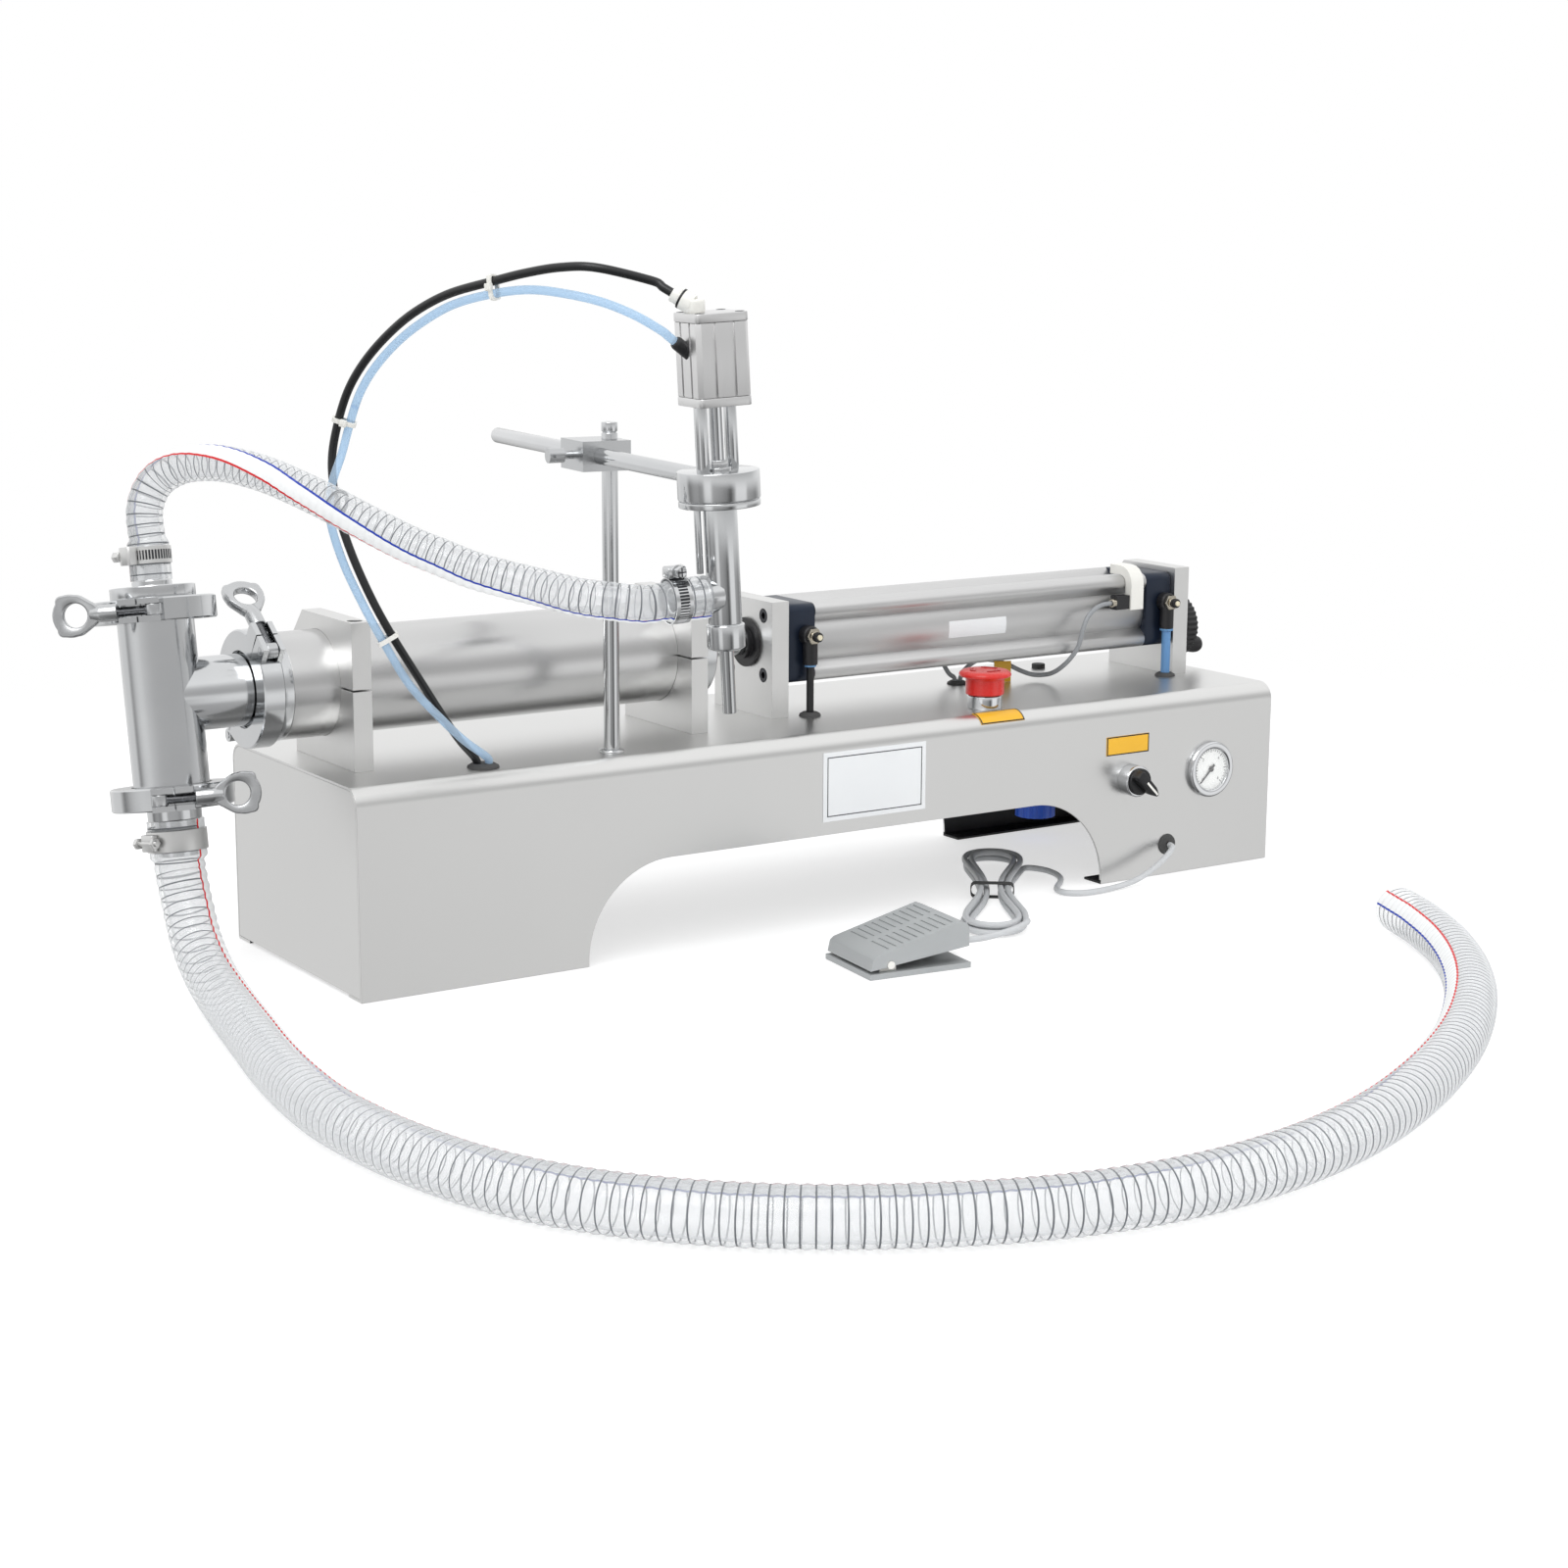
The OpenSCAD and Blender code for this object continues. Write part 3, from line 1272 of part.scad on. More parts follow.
module nozzle() {
    color([0.76, 0.76, 0.77]) on_head() difference() {
        union() {
            pin(collar_d / 2 - 1.2, fill_low - 1, fill_low);
            pin(collar_d / 2, fill_low - collar_l, fill_low - 0.8);
            pin(spout_d / 2, fill_low - collar_l - spout_l, fill_low - collar_l + 1);
        }
        pin(fill_d / 2 - 2.5, seat_z, fill_low + cut);
        pin(spout_bore / 2, fill_low - collar_l - spout_l - cut, fill_low);
    }
}
module head_actuator() {
    h = act_w / 2;
    color([0.8, 0.81, 0.82]) on_head() {
        difference() {
            translate([0, 0, act_z0]) linear_extrude(act_h) difference() {
                polygon(soft_box(act_w, act_w, 3, 3));
                for (a = [0 : 90 : 270], s = [-1, 1]) {
                    rotate([0, 0, a]) translate([h - 1.2, s * 7 - 1.2]) square([2, 2.4]);
                }
            }
            pin(13.1, act_z0 + 6, act_z1 - 7);
            pin(plunger_d / 2 + slide_fit, act_z0 - cut, act_z0 + 8);
            translate([0, 0, port_z]) rotate([0, -90, 0]) pin(2.5, 10, h + cut);
        }
    }
    color([0.9, 0.9, 0.88]) on_head() {
        difference() {
            union() {
                translate(gland_at) rotate([0, 0, 180 - gland_yaw]) rotate([0, 90 - gland_tilt, 0]) {
                    pin(6.8, 2, 11);
                    pin(5.6, 10, gland_l);
                }
                translate([gland_at.x, 0, 0]) pin(6.8, act_z1, act_z1 + 9);
            }
            translate([-60, -60, 0]) cube([120, 120, act_z1]);
        }
        difference() {
            translate([-h, 0, port_z]) rotate([0, port_tilt - 90, 0]) difference() {
                pin(4.6, -6, port_l);
                pin(2, -8, port_l - 3);
            }
            translate([-h, -h, act_z0]) cube([act_w, act_w, act_h]);
        }
    }
}
module lift_plunger() {
    color([0.82, 0.83, 0.85]) on_head() {
        pin(13.1 - slide_fit, act_z0 + 6.3, act_z0 + 16);
        pin(plunger_d / 2, seat_z + 8, act_z0 + 8);
        rotate_extrude() polygon([
            [0, seat_z + 0.2], [6, seat_z + 0.2], [7, seat_z + 2], [7, seat_z + 6], [5, seat_z + 9],
                [0, seat_z + 9]
        ]);
    }
}

// Panel controls
module panel_bezels() {
    r = collar_hole_r - seat;
    color([0.8, 0.8, 0.82]) {
        translate([stop_at.x, stop_at.y, base_h]) difference() {
            union() {
                pin(stop_collar_r, 0, stop_collar_h);
                pin(r, -42, 0.5);
                pin(14.5, -12, -sheet_t);
            }
            pin(7 + slide_fit, -30, stop_collar_h + cut);
        }
        translate([selector_at.x, -base_w / 2, selector_at.y]) rotate([90, 0, 0]) difference() {
            union() {
                pin(selector_d / 2, 0, selector_h - 0.8);
                pin(selector_d / 2 - 0.8, 2, selector_h);
                pin(r, -42, 0.5);
                pin(15, -12, -sheet_t);
            }
            pin(5 + slide_fit, -20, selector_h + cut);
        }
        translate([gauge_at.x, -base_w / 2, gauge_at.y]) rotate([90, 0, 0]) difference() {
            union() {
                pin(gauge_d / 2, 0, gauge_h);
                pin(19.8, -28, 0.5);
                pin(6, -44, -27);
            }
            pin(gauge_d / 2 - 6, 2, gauge_h + cut);
            pin(1 + slide_fit, -4, 3);
        }
    }
}
module estop_stem() {
    color([0.6, 0.1, 0.08]) translate([stop_at.x, stop_at.y, base_h]) {
        pin(7, -20, 8);
        pin(3, 7, 26);
    }
}
module estop_head() {
    r = stop_head_d / 2;
    skirt = stop_collar_r + 0.6;
    roof = stop_collar_h + stop_press + 1.3;
    color([0.82, 0.1, 0.08]) translate([stop_at.x, stop_at.y, base_h]) rotate_extrude() polygon(concat(
        [[3 + slide_fit, roof], [skirt, roof], [skirt, stop_collar_h + 0.2], [skirt + 1.1,
            stop_collar_h + 0.2],
            [skirt + 1.1, 25.3], [r - 1, 26.3]],
        [for (a = [0 : 15 : 90]) [r - 6 + 6 * cos(a), 27.4 + 4.1 * sin(a)]],
        [[0, 31.5], [0, 26.2], [3 + slide_fit, 26.2]]
    ));
}
module selector_knob() {
    color([0.06, 0.06, 0.07]) translate([selector_at.x, -base_w / 2, selector_at.y]) rotate([90, 0, 0]) {
        pin(5, -15, selector_h + 0.7);
        pin(11.3, selector_h + free_fit, selector_h + 2.7);
        rotate([0, 0, -45]) translate([-12, -4.5, selector_h + 2.2]) linear_extrude(10) polygon(
            [[0, 1], [2, 0], [22, 0.6], [28, 3.2], [28, 5.8], [22, 8.4], [2, 9], [0, 8]]
        );
    }
}
module gauge_needle() {
    color([0.05, 0.05, 0.05]) translate([gauge_at.x, -base_w / 2, gauge_at.y]) rotate([90, 0, 0]) {
        pin(1, -3, 4);
        pin(2.6, 2 + free_fit, 3.6);
        rotate([0, 0, 225]) translate([-5, -0.6, 2.5]) linear_extrude(0.8)
            polygon([[0, -0.4], [0, 1.6], [21, 0.9], [21, 0.3]]);
    }
}

// Foot pedal
module pedal_base() {
    color([0.55, 0.56, 0.57]) on_pedal() {
        difference() {
            union() {
                cube([pedal_l, pedal_w, 4.2]);
                for (y = [6, pedal_w - 12]) {
                    translate([11, y, 4]) cube([14, 6, 10.5]);
                }
                translate([pedal_l - 14, cord_port.y - 8, 4]) cube([12, 16, 7.5]);
                translate([pedal_l - 4, cord_port.y, cord_port.z]) rotate([0, 90, 0])
                    cylinder(r = 4.5, h = 14);
            }
            translate([pedal_pin.x, -cut, pedal_pin.z]) rotate([-90, 0, 0])
                cylinder(r = 3 + seat, h = pedal_w + 2 * cut);
        }
        translate([40, pedal_w / 2 - 12, 4.3]) cube([12, 24, 7]);
    }
    color([0.85, 0.85, 0.85]) on_pedal() translate([pedal_pin.x, 0.3, pedal_pin.z])
        rotate([-90, 0, 0]) cylinder(r = 3, h = pedal_w - 0.6);
}
module treadle() {
    outline = [[1, 6.4], [3, 15], [6, 17.5], [pedal_l - 9, 36.5], [pedal_l - 3, 34], [pedal_l - 1,
        30], [pedal_l - 1, 16.5]];
    hollow = [[4, 0], [5.6, 13.6], [8.5, 15.4], [pedal_l - 9.5, 33.5], [pedal_l - 4.5, 30],
        [pedal_l - 4.5, 0]];
    color([0.6, 0.61, 0.62]) on_pedal() difference() {
        translate([0, pedal_w - 1, 0]) rotate([90, 0, 0]) linear_extrude(pedal_w - 2) polygon(outline);
        difference() {
            translate([0, pedal_w - 4, 0]) rotate([90, 0, 0]) linear_extrude(pedal_w - 8) polygon(hollow);
            translate([pedal_spring.x, pedal_spring.y, 0]) pin(7, pedal_spring.z, 60);
        }
        translate([pedal_pin.x, -cut, pedal_pin.z]) rotate([-90, 0, 0])
            cylinder(r = 3 + slide_fit, h = pedal_w + 2 * cut);
        translate([pedal_l - 6, cord_port.y - 9, 0]) cube([20, 18, 22]);
        for (k = [0 : 9]) {
            along_slope(k) cube([1.6, 26, 4]);
            along_slope(k) translate([0, 33, 0]) cube([1.6, 26, 4]);
        }
    }
}
module along_slope(k) {
    s = 12 + 6.2 * k;
    translate([6 + s * cos(15), 5.5, 17.5 + s * sin(15) - 0.9]) rotate([0, -15, 0]) children();
}

// Hoses and cords
suction_route = concat([tee_pt([0, 0, suction_start - 0.2]), tee_pt([0, 0, suction_start - 18]),
    tee_pt([0, 0, suction_start - 34])], suction_mid);
product_route = concat(
    [for (z = [0.2, 14, 28]) tee_pt([0, 0, product_start + z])],
    product_mid,
    [for (x = [46, 33, 16, 0.2]) head_pt([-inlet_l - x, 0, inlet_z])]
);
black_route = concat([[hose_hole.x - 3.7, hose_hole.y + 1.8, base_h + 3.6], [hose_hole.x - 7,
    hose_hole.y + 1.6, base_h + 9]], black_mid, [for (s = [16, 8, 0.2]) gland_pt(gland_l + s)]);
blue_route = concat([[hose_hole.x + 3.7, hose_hole.y - 1.8, base_h + 3.6], [hose_hole.x + 1.5,
    hose_hole.y - 3, base_h + 8]], blue_mid, [for (s = [12, 6, 0.2]) port_pt(port_l + s)]);
module suction_hose() {
    color([0.88, 0.89, 0.9]) hose(curve(suction_route, 8), suction_d, suction_bore, suction_ribs,
        1.1, suction_cuff, cuff_l, 0, 50, [1, 0, 0]);
}
module product_hose() {
    color([0.88, 0.89, 0.9]) hose(curve(product_route, 8), product_d, product_bore, product_ribs,
        0.9, product_cuff, cuff_l, cuff_l, 34, [1, 0, 0]);
}
module air_hose_black() {
    p = curve(black_route, 6);
    color([0.05, 0.05, 0.06]) cord(stations(p, even(p, 44)), black_d, 8, [0, 1, 0]);
}
module air_tube_blue() {
    p = curve(blue_route, 6);
    color([0.6, 0.75, 0.9]) cord(stations(p, even(p, 44)), blue_d, 8, [0, 1, 0]);
}

// Hank: loops that spiral in, climb a layer and spiral out, drawn in at the waist
hank_half = (hank_to - hank_from - hank_climb) / 2;
function hank_level(a) = abs(a - (hank_from + hank_to) / 2) < hank_climb / 2 ? 0
    : (abs(a - (hank_from + hank_to) / 2) - hank_climb / 2) / 360;
function hank_height(a) = let (t = (a - hank_from - hank_half) / hank_climb)
    hank_z0 + hank_rise * (t < 0 ? 0 : t > 1 ? 1 : t * t * (3 - 2 * t));
function hank_pt(a) = let (
    wide = hank_bulge * cos(a) * cos(a) + hank_waist,
    out = unit([cos(a) * (wide - 2 * hank_bulge * sin(a) * sin(a)), hank_p * sin(a)]),
    at = [hank_p * cos(a), sin(a) * wide] + hank_step * hank_level(a) * out
) [hank_at.x, hank_at.y, 0] + turn_z(hank_turn, [at.x, -at.y, 0]) + [0, 0, hank_height(a)];
hank_curve = [for (a = [hank_from : 360 / hank_rings : hank_to]) hank_pt(a)];
hank_fine = [for (a = [hank_from : 5 : hank_to]) hank_pt(a)];
hank_end = hank_curve[len(hank_curve) - 1];
way_in = unit(hank_curve[1] - hank_curve[0]);
way_out = unit(hank_end - hank_curve[len(hank_curve) - 2]);
grommet_route = concat(grommet_cord, [for (s = [6, 3, 0.2]) hank_curve[0] - s * way_in]);
pedal_route = concat([for (s = [0.2, 3, 6]) hank_end + s * way_out + s * s / 30 * [-way_out.y,
    way_out.x, 0]], pedal_cord_mid, [pedal_pt([pedal_l + 10, cord_port.y, cord_port.z])]);
hank_gap = min([
    for (i = [0 : len(hank_fine) - 1])
        for (j = [i + 24 : 1 : len(hank_fine) - 1])
            norm(hank_fine[i] - hank_fine[j]) - cord_d
]);
echo(least_gap_in_the_hank = hank_gap);
module pedal_hank() {
    color([0.6, 0.61, 0.62]) cord(hank_curve, cord_d, 6, [0, 0, 1]);
}
module pedal_cord() {
    a = curve(grommet_route, 5);
    b = curve(pedal_route, 5);
    color([0.6, 0.61, 0.62]) {
        cord(stations(a, even(a, 34)), cord_d, 8, [0, 0, 1]);
        cord(stations(b, even(b, 12)), cord_d, 8, [0, 0, 1]);
    }
}
module tie(p, dir, across, w, h) {
    t = unit(dir);
    u = flat_side(across, t);
    v = cross(t, u);
    multmatrix([[u.x, v.x, t.x, p.x], [u.y, v.y, t.y, p.y], [u.z, v.z, t.z, p.z], [0, 0, 0, 1]])
        linear_extrude(3, center = true) difference() {
            polygon(soft_box(w + 2.4, h + 2.4, h / 2 + 1.1, 4));
            polygon(soft_box(w, h, h / 2 - 0.1, 4));
        }
}
module cord_ties() {
    color([0.92, 0.92, 0.92]) for (k = [3, 9, 15]) {
        a = black_mid[k];
        b = blue_mid[k];
        tie((a + b) / 2, black_mid[k + 1] - black_mid[k - 1], b - a, norm(b - a) + black_d + 0.7,
            black_d + 0.7);
    }
    color([0.1, 0.1, 0.1]) translate([hank_at.x, hank_at.y, 0]) rotate([0, 0, hank_turn])
        rotate([90, 0, 90])
        translate([0, hank_z0 + hank_rise / 2, -4]) linear_extrude(8) difference() {
            polygon(soft_box(36, hank_rise + cord_d + 1.9, 5, 3));
            polygon(soft_box(34.4, hank_rise + cord_d + 0.3, 4.2, 3));
        }
}

base_shell();
end_panels();
grommets();
label_plates();
control_box();
regulator_knob();
cylinder_saddles();
cylinder_plates();
socket_screws();
product_cylinder();
cylinder_end_caps();
pistons();
piston_rod();
seals();
air_barrel();
air_end_caps();
stop_plate();
handwheel();
crank_knob();
flow_elbows();
flow_knob_front();
flow_knob_rear();
air_tubes();
sensor_strap();
sensor_cable();
tee_body();
suction_poppet();
discharge_poppet();
return_springs();
hose_adaptors();
clamp_jaws();
front_tbolt();
top_tbolt();
bottom_tbolt();
front_eye_nut();
top_eye_nut();
bottom_eye_nut();
hose_clamps();
stand_post();
cross_clamp();
stand_arm();
head_flange();
filling_tube();
nozzle();
head_actuator();
lift_plunger();
panel_bezels();
estop_stem();
estop_head();
selector_knob();
gauge_needle();
pedal_base();
treadle();
suction_hose();
product_hose();
air_hose_black();
air_tube_blue();
cord_ties();
pedal_cord();
pedal_hank();
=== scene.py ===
"""Looks of a bench-top pneumatic piston filler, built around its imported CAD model.

Sizes are in millimetres until a mesh is made, where they turn to metres. The machine's frame has its
origin at the centre of the cabinet's footprint, +X towards the handwheel, +Y to the back and +Z up.
"""

import logging
import math
from collections.abc import Callable, Sequence
from dataclasses import dataclass
from enum import Enum
from typing import ClassVar

import bmesh
import bpy
import numpy as np
from mathutils import Matrix


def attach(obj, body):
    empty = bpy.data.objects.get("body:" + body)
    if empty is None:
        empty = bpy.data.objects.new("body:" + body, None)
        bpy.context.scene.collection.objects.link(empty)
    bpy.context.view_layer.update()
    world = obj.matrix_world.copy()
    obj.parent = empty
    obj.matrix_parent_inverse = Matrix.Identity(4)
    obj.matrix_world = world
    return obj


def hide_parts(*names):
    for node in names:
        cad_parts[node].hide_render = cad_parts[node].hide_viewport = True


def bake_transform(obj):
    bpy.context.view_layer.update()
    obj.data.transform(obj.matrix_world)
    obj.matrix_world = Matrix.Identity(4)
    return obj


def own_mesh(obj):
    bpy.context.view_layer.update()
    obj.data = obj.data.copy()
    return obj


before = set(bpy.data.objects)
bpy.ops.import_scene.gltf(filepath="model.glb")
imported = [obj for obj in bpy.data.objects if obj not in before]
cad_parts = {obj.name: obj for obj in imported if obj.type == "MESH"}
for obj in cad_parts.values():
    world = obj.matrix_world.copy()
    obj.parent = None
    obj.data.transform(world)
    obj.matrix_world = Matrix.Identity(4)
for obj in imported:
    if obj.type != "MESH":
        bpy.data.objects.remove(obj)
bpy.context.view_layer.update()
LOG = logging.getLogger("filler")
Array = np.ndarray
MM = 0.001
FERRULE_R = 32.0


# Frames and curves


def turn(axis: str, degrees: float) -> Array:
    """Rotation about x, y or z by the right-hand rule.

    Args:
        axis: "x", "y" or "z".
        degrees: the angle.

    Returns:
        A 3 by 3 matrix.
    """
    return np.array(Matrix.Rotation(math.radians(degrees), 3, axis.upper()))


@dataclass(frozen=True)
class Place:
    """A local frame: its origin in millimetres, and its axes as the columns of a matrix."""

    origin: Array
    axes: Array

    def world(self, points: Array) -> Array:
        """Points of this frame in the machine's frame: origin plus axes times point."""
        return self.origin + np.asarray(points, float) @ self.axes.T

    def then(self, shift: Sequence[float], *turns: Array) -> "Place":
        """A frame shifted along this one's axes and then turned.

        Args:
            shift: where the new origin is, in this frame.
            turns: rotation matrices, the outer one first.

        Returns:
            The new frame.
        """
        axes = self.axes
        for matrix in turns:
            axes = axes @ matrix
        return Place(self.world(shift), axes)

    def metres(self, point: Sequence[float]) -> tuple[float, float, float]:
        return tuple(float(x) for x in self.world(point) * MM)


MACHINE = Place(np.zeros(3), np.eye(3))
LINE = Place(np.array([0.0, 7.0, 213.0]), np.array([[0, 0, 1], [1, 0, 0], [0, 1, 0]], float))
FRONT = MACHINE.then((0, -111, 0), turn("x", 90))
TEE = MACHINE.then((-526, 7, 213), turn("x", -9.3))
ARM = MACHINE.then((-209.7, -83.2, 379), turn("z", -6.84))
HEAD = ARM.then((-15.3, -219.8, 0), turn("y", -3.04))
PORT = HEAD.then((-19, 0, 87), turn("y", -50))
GLAND = HEAD.then((-11, 0, 115), turn("z", 140), turn("y", 58))
PEDAL = MACHINE.then((-91.7, -255.5, 0), turn("z", -6.2))
RINGS = {
    "front": MACHINE.then((-458.5, 7, 213), turn("y", -90), turn("z", -36.2)),
    "top": TEE.then((0, 0, 62), turn("z", -123.5), turn("x", 180)),
    "bottom": TEE.then((0, 0, -71), turn("z", -109.5)),
}


def unit(v: Array) -> Array:
    """Vectors along the last axis, each made one long."""
    return v / np.maximum(np.linalg.norm(v, axis=-1, keepdims=True), 1e-9)


def even_angles(sides: int) -> Array:
    """Angles at even steps round a circle, in radians."""
    return np.linspace(0, 2 * math.pi, sides, endpoint=False)


def polar(radius: float | Array, angle: float | Array, height: float | Array = 0.0) -> Array:
    """Points (r cos a, r sin a, z) from numbers or from arrays that spread over each other."""
    return np.stack(np.broadcast_arrays(radius * np.cos(angle), radius * np.sin(angle), height), -1)


def hexagon(radius: float, start: float = 0.0) -> Array:
    """A hexagon's corners from its radius and its first corner's angle in degrees."""
    return polar(radius, np.radians(start + np.arange(0, 360, 60)))[:, :2]


def ferrule(face: float, way: int, bore: float, slope_r: float) -> list[tuple[float, float]]:
    """The rim of a clamped ferrule as part of a turned profile, from its bore to the foot of its slope.

    Args:
        face: height of its sealing face.
        way: 1 where its metal lies above the face, and -1 where it lies below.
        bore: radius of its bore.
        slope_r: radius at the foot of its slope.

    Returns:
        Four pairs of a radius and a height.
    """
    return [(bore, face), (FERRULE_R, face), (FERRULE_R, face + 2.6 * way), (slope_r, face + 4.7 * way)]


def eased(points: Sequence[Sequence[float]], radius: float, closed: bool) -> Array:
    """A flat line whose corners are rounded.

    Each corner p becomes four points of the curve (1-t)^2 a + 2t(1-t) p + t^2 b, where a and b lie
    on the two sides next to p, at the radius or at 45% of the side, whichever is nearer.

    Args:
        points: the corners, as pairs in millimetres.
        radius: how far from a corner the rounding starts.
        closed: whether the last corner joins the first.

    Returns:
        The new line, as an array of pairs.
    """
    p = np.asarray(points, float)
    back, ahead = np.roll(p, 1, 0) - p, np.roll(p, -1, 0) - p
    cut_a = np.minimum(radius, 0.45 * np.linalg.norm(back, axis=1, keepdims=True))
    cut_b = np.minimum(radius, 0.45 * np.linalg.norm(ahead, axis=1, keepdims=True))
    a, b = p + unit(back) * cut_a, p + unit(ahead) * cut_b
    t = np.linspace(0, 1, 4)[None, :, None]
    arcs = (1 - t) ** 2 * a[:, None] + 2 * t * (1 - t) * p[:, None] + t**2 * b[:, None]
    if closed:
        return arcs.reshape(-1, 2)
    return np.vstack([p[:1], arcs[1:-1].reshape(-1, 2), p[-1:]])


def box(width: float, height: float) -> Array:
    """The corners of a rectangle about the origin, counter-clockwise."""
    return np.array([[1, -1], [1, 1], [-1, 1], [-1, -1]]) * [width / 2, height / 2]


def smooth(points: Sequence[Sequence[float]], step: float) -> Array:
    """A smooth curve through points, cut at even steps.

    Between two points the curve is the Catmull-Rom cubic of them and their neighbours. Its length
    is summed over twelve chords for each stretch, and the curve is read again at equal lengths.

    Args:
        points: the route in millimetres.
        step: the distance between the new points.

    Returns:
        The new points.
    """
    p = np.asarray(points, float)
    q = np.vstack([p[:1], p, p[-1:]])
    a, b, c, d = q[:-3, None], q[1:-2, None], q[2:-1, None], q[3:, None]
    t = np.linspace(0, 1, 12, endpoint=False)[None, :, None]
    square, cube = 2 * a - 5 * b + 4 * c - d, 3 * b - a - 3 * c + d
    cubic = 0.5 * (2 * b + (c - a) * t + square * t**2 + cube * t**3)
    fine = np.vstack([cubic.reshape(-1, 3), p[-1:]])
    run = np.concatenate([[0], np.cumsum(np.linalg.norm(np.diff(fine, axis=0), axis=1))])
    marks = np.linspace(0, run[-1], max(3, int(round(run[-1] / step)) + 1))
    return np.stack([np.interp(marks, run, fine[:, k]) for k in range(3)], -1)


def length_of(path: Array) -> float:
    """The length of a line of points."""
    return float(np.linalg.norm(np.diff(path, axis=0), axis=1).sum())


def carried(path: Array, first: Sequence[float]) -> tuple[Array, Array]:
    """Two directions square to a path, carried along it without twist.

    Args:
        path: the centreline.
        first: a rough direction for the first side.

    Returns:
        The sides and the ups, one of each for every point.
    """
    along = unit(np.gradient(path, axis=0))
    side = np.asarray(first, float)
    sides = np.empty_like(path)
    for k, t in enumerate(along):
        side = unit(side - (side @ t) * t)
        sides[k] = side
    return sides, np.cross(along, sides)


# Meshes


class Shape:
    """A mesh being put together from surfaces on grids, with a finish number for each face."""

    def __init__(self, name: str) -> None:
        """Starts an empty mesh.

        Args:
            name: the piece's name.
        """
        self.name = name
        self.points: list[Array] = []
        self.faces: list[list[int]] = []
        self.marks: list[int] = []
        self.total = 0

    def grid(
        self,
        points: Array,
        round_u: bool = False,
        round_v: bool = False,
        caps: bool = False,
        mark: int | Array = 0,
    ) -> "Shape":
        """Adds a surface given as points on a grid, in the machine's frame.

        Args:
            points: rows by columns by 3. The outside is where columns cross rows points.
            round_u: whether the last row joins the first.
            round_v: whether the last column joins the first.
            caps: whether the first and the last row are closed with a flat face.
            mark: the finish's number, or an array of them that spreads over the faces.

        Returns:
            This shape.
        """
        rows, cols = points.shape[:2]
        index = np.arange(rows * cols).reshape(rows, cols) + self.total
        around = np.vstack([index, index[:1]]) if round_u else index
        around = np.hstack([around, around[:, :1]]) if round_v else around
        quads = np.stack([around[:-1, :-1], around[:-1, 1:], around[1:, 1:], around[1:, :-1]], -1)
        marks = np.broadcast_to(np.asarray(mark), quads.shape[:2]).reshape(-1)
        self.points.append(points.reshape(-1, 3))
        self.faces.extend(quads.reshape(-1, 4).tolist())
        self.marks.extend(marks.tolist())
        if caps:
            self.faces.extend([index[0, ::-1].tolist(), index[-1].tolist()])
            self.marks.extend([int(marks[0]), int(marks[-1])])
        self.total += rows * cols
        return self

    def turned(
        self,
        place: Place,
        profile: Sequence[Sequence[float]],
        fillet: float = 0.4,
        sides: int = 72,
        closed: bool = False,
        mark: int = 0,
    ) -> "Shape":
        """Adds a turned surface: the point (r, z) goes round the z axis as (r cos a, r sin a, z).

        Args:
            place: the frame whose z axis it is turned about.
            profile: radius and height pairs, running out, up and in again.
            fillet: rounding of its corners.
            sides: faces round the axis.
            closed: whether the profile's end joins its start, as in a tube.
            mark: the finish's number.

        Returns:
            This shape.
        """
        line = eased(profile, fillet, closed)
        grid = polar(line[:, :1], even_angles(sides), line[:, 1:])
        return self.grid(place.world(grid), round_u=closed, round_v=True, mark=mark)

    def rod(
        self, place: Place, radius: float, low: float, high: float, fillet: float = 0.4, mark: int = 0
    ) -> "Shape":
        """Adds a round bar along the place's z axis, with eased ends."""
        profile = [(0, low), (radius, low), (radius, high), (0, high)]
        return self.turned(place, profile, fillet, mark=mark)

    def pipe(
        self,
        place: Place,
        radius: float,
        bore: float,
        low: float,
        high: float,
        fillet: float = 0.4,
        mark: int = 0,
    ) -> "Shape":
        """Adds a tube along the place's z axis, with eased ends."""
        profile = [(bore, low), (radius, low), (radius, high), (bore, high)]
        return self.turned(place, profile, fillet, closed=True, mark=mark)

    def prism(
        self, place: Place, outline: Array, low: float, high: float, edge: float = 0.5, mark: int | Array = 0
    ) -> "Shape":
        """Adds an outline raised along z with its two rims eased.

        A rim point moves in along the bisector of its two sides, by edge, 0.3 edge and 0 at the
        heights 0, 0.3 edge and edge from the flat.

        Args:
            place: the frame that the outline is drawn in.
            outline: pairs, counter-clockwise.
            low: height of its underside.
            high: height of its top.
            edge: size of the rounding.
            mark: the finish's number.

        Returns:
            This shape.
        """
        p = np.asarray(outline, float)
        before, after = unit(p - np.roll(p, 1, 0)), unit(np.roll(p, -1, 0) - p)
        normal = np.stack([before[:, 1], -before[:, 0]], -1)
        bisector = unit(normal + np.stack([after[:, 1], -after[:, 0]], -1))
        bisector = bisector / np.maximum(0.4, np.sum(bisector * normal, 1, keepdims=True))
        inset = np.array([1, 0.3, 0, 0, 0.3, 1])[:, None, None] * edge
        height = np.array([low, low + 0.3 * edge, low + edge, high - edge, high - 0.3 * edge, high])
        flat = p[None] - bisector[None] * inset
        grid = np.concatenate([flat, np.broadcast_to(height[:, None, None], flat.shape[:2] + (1,))], -1)
        return self.grid(place.world(grid), round_v=True, caps=True, mark=mark)

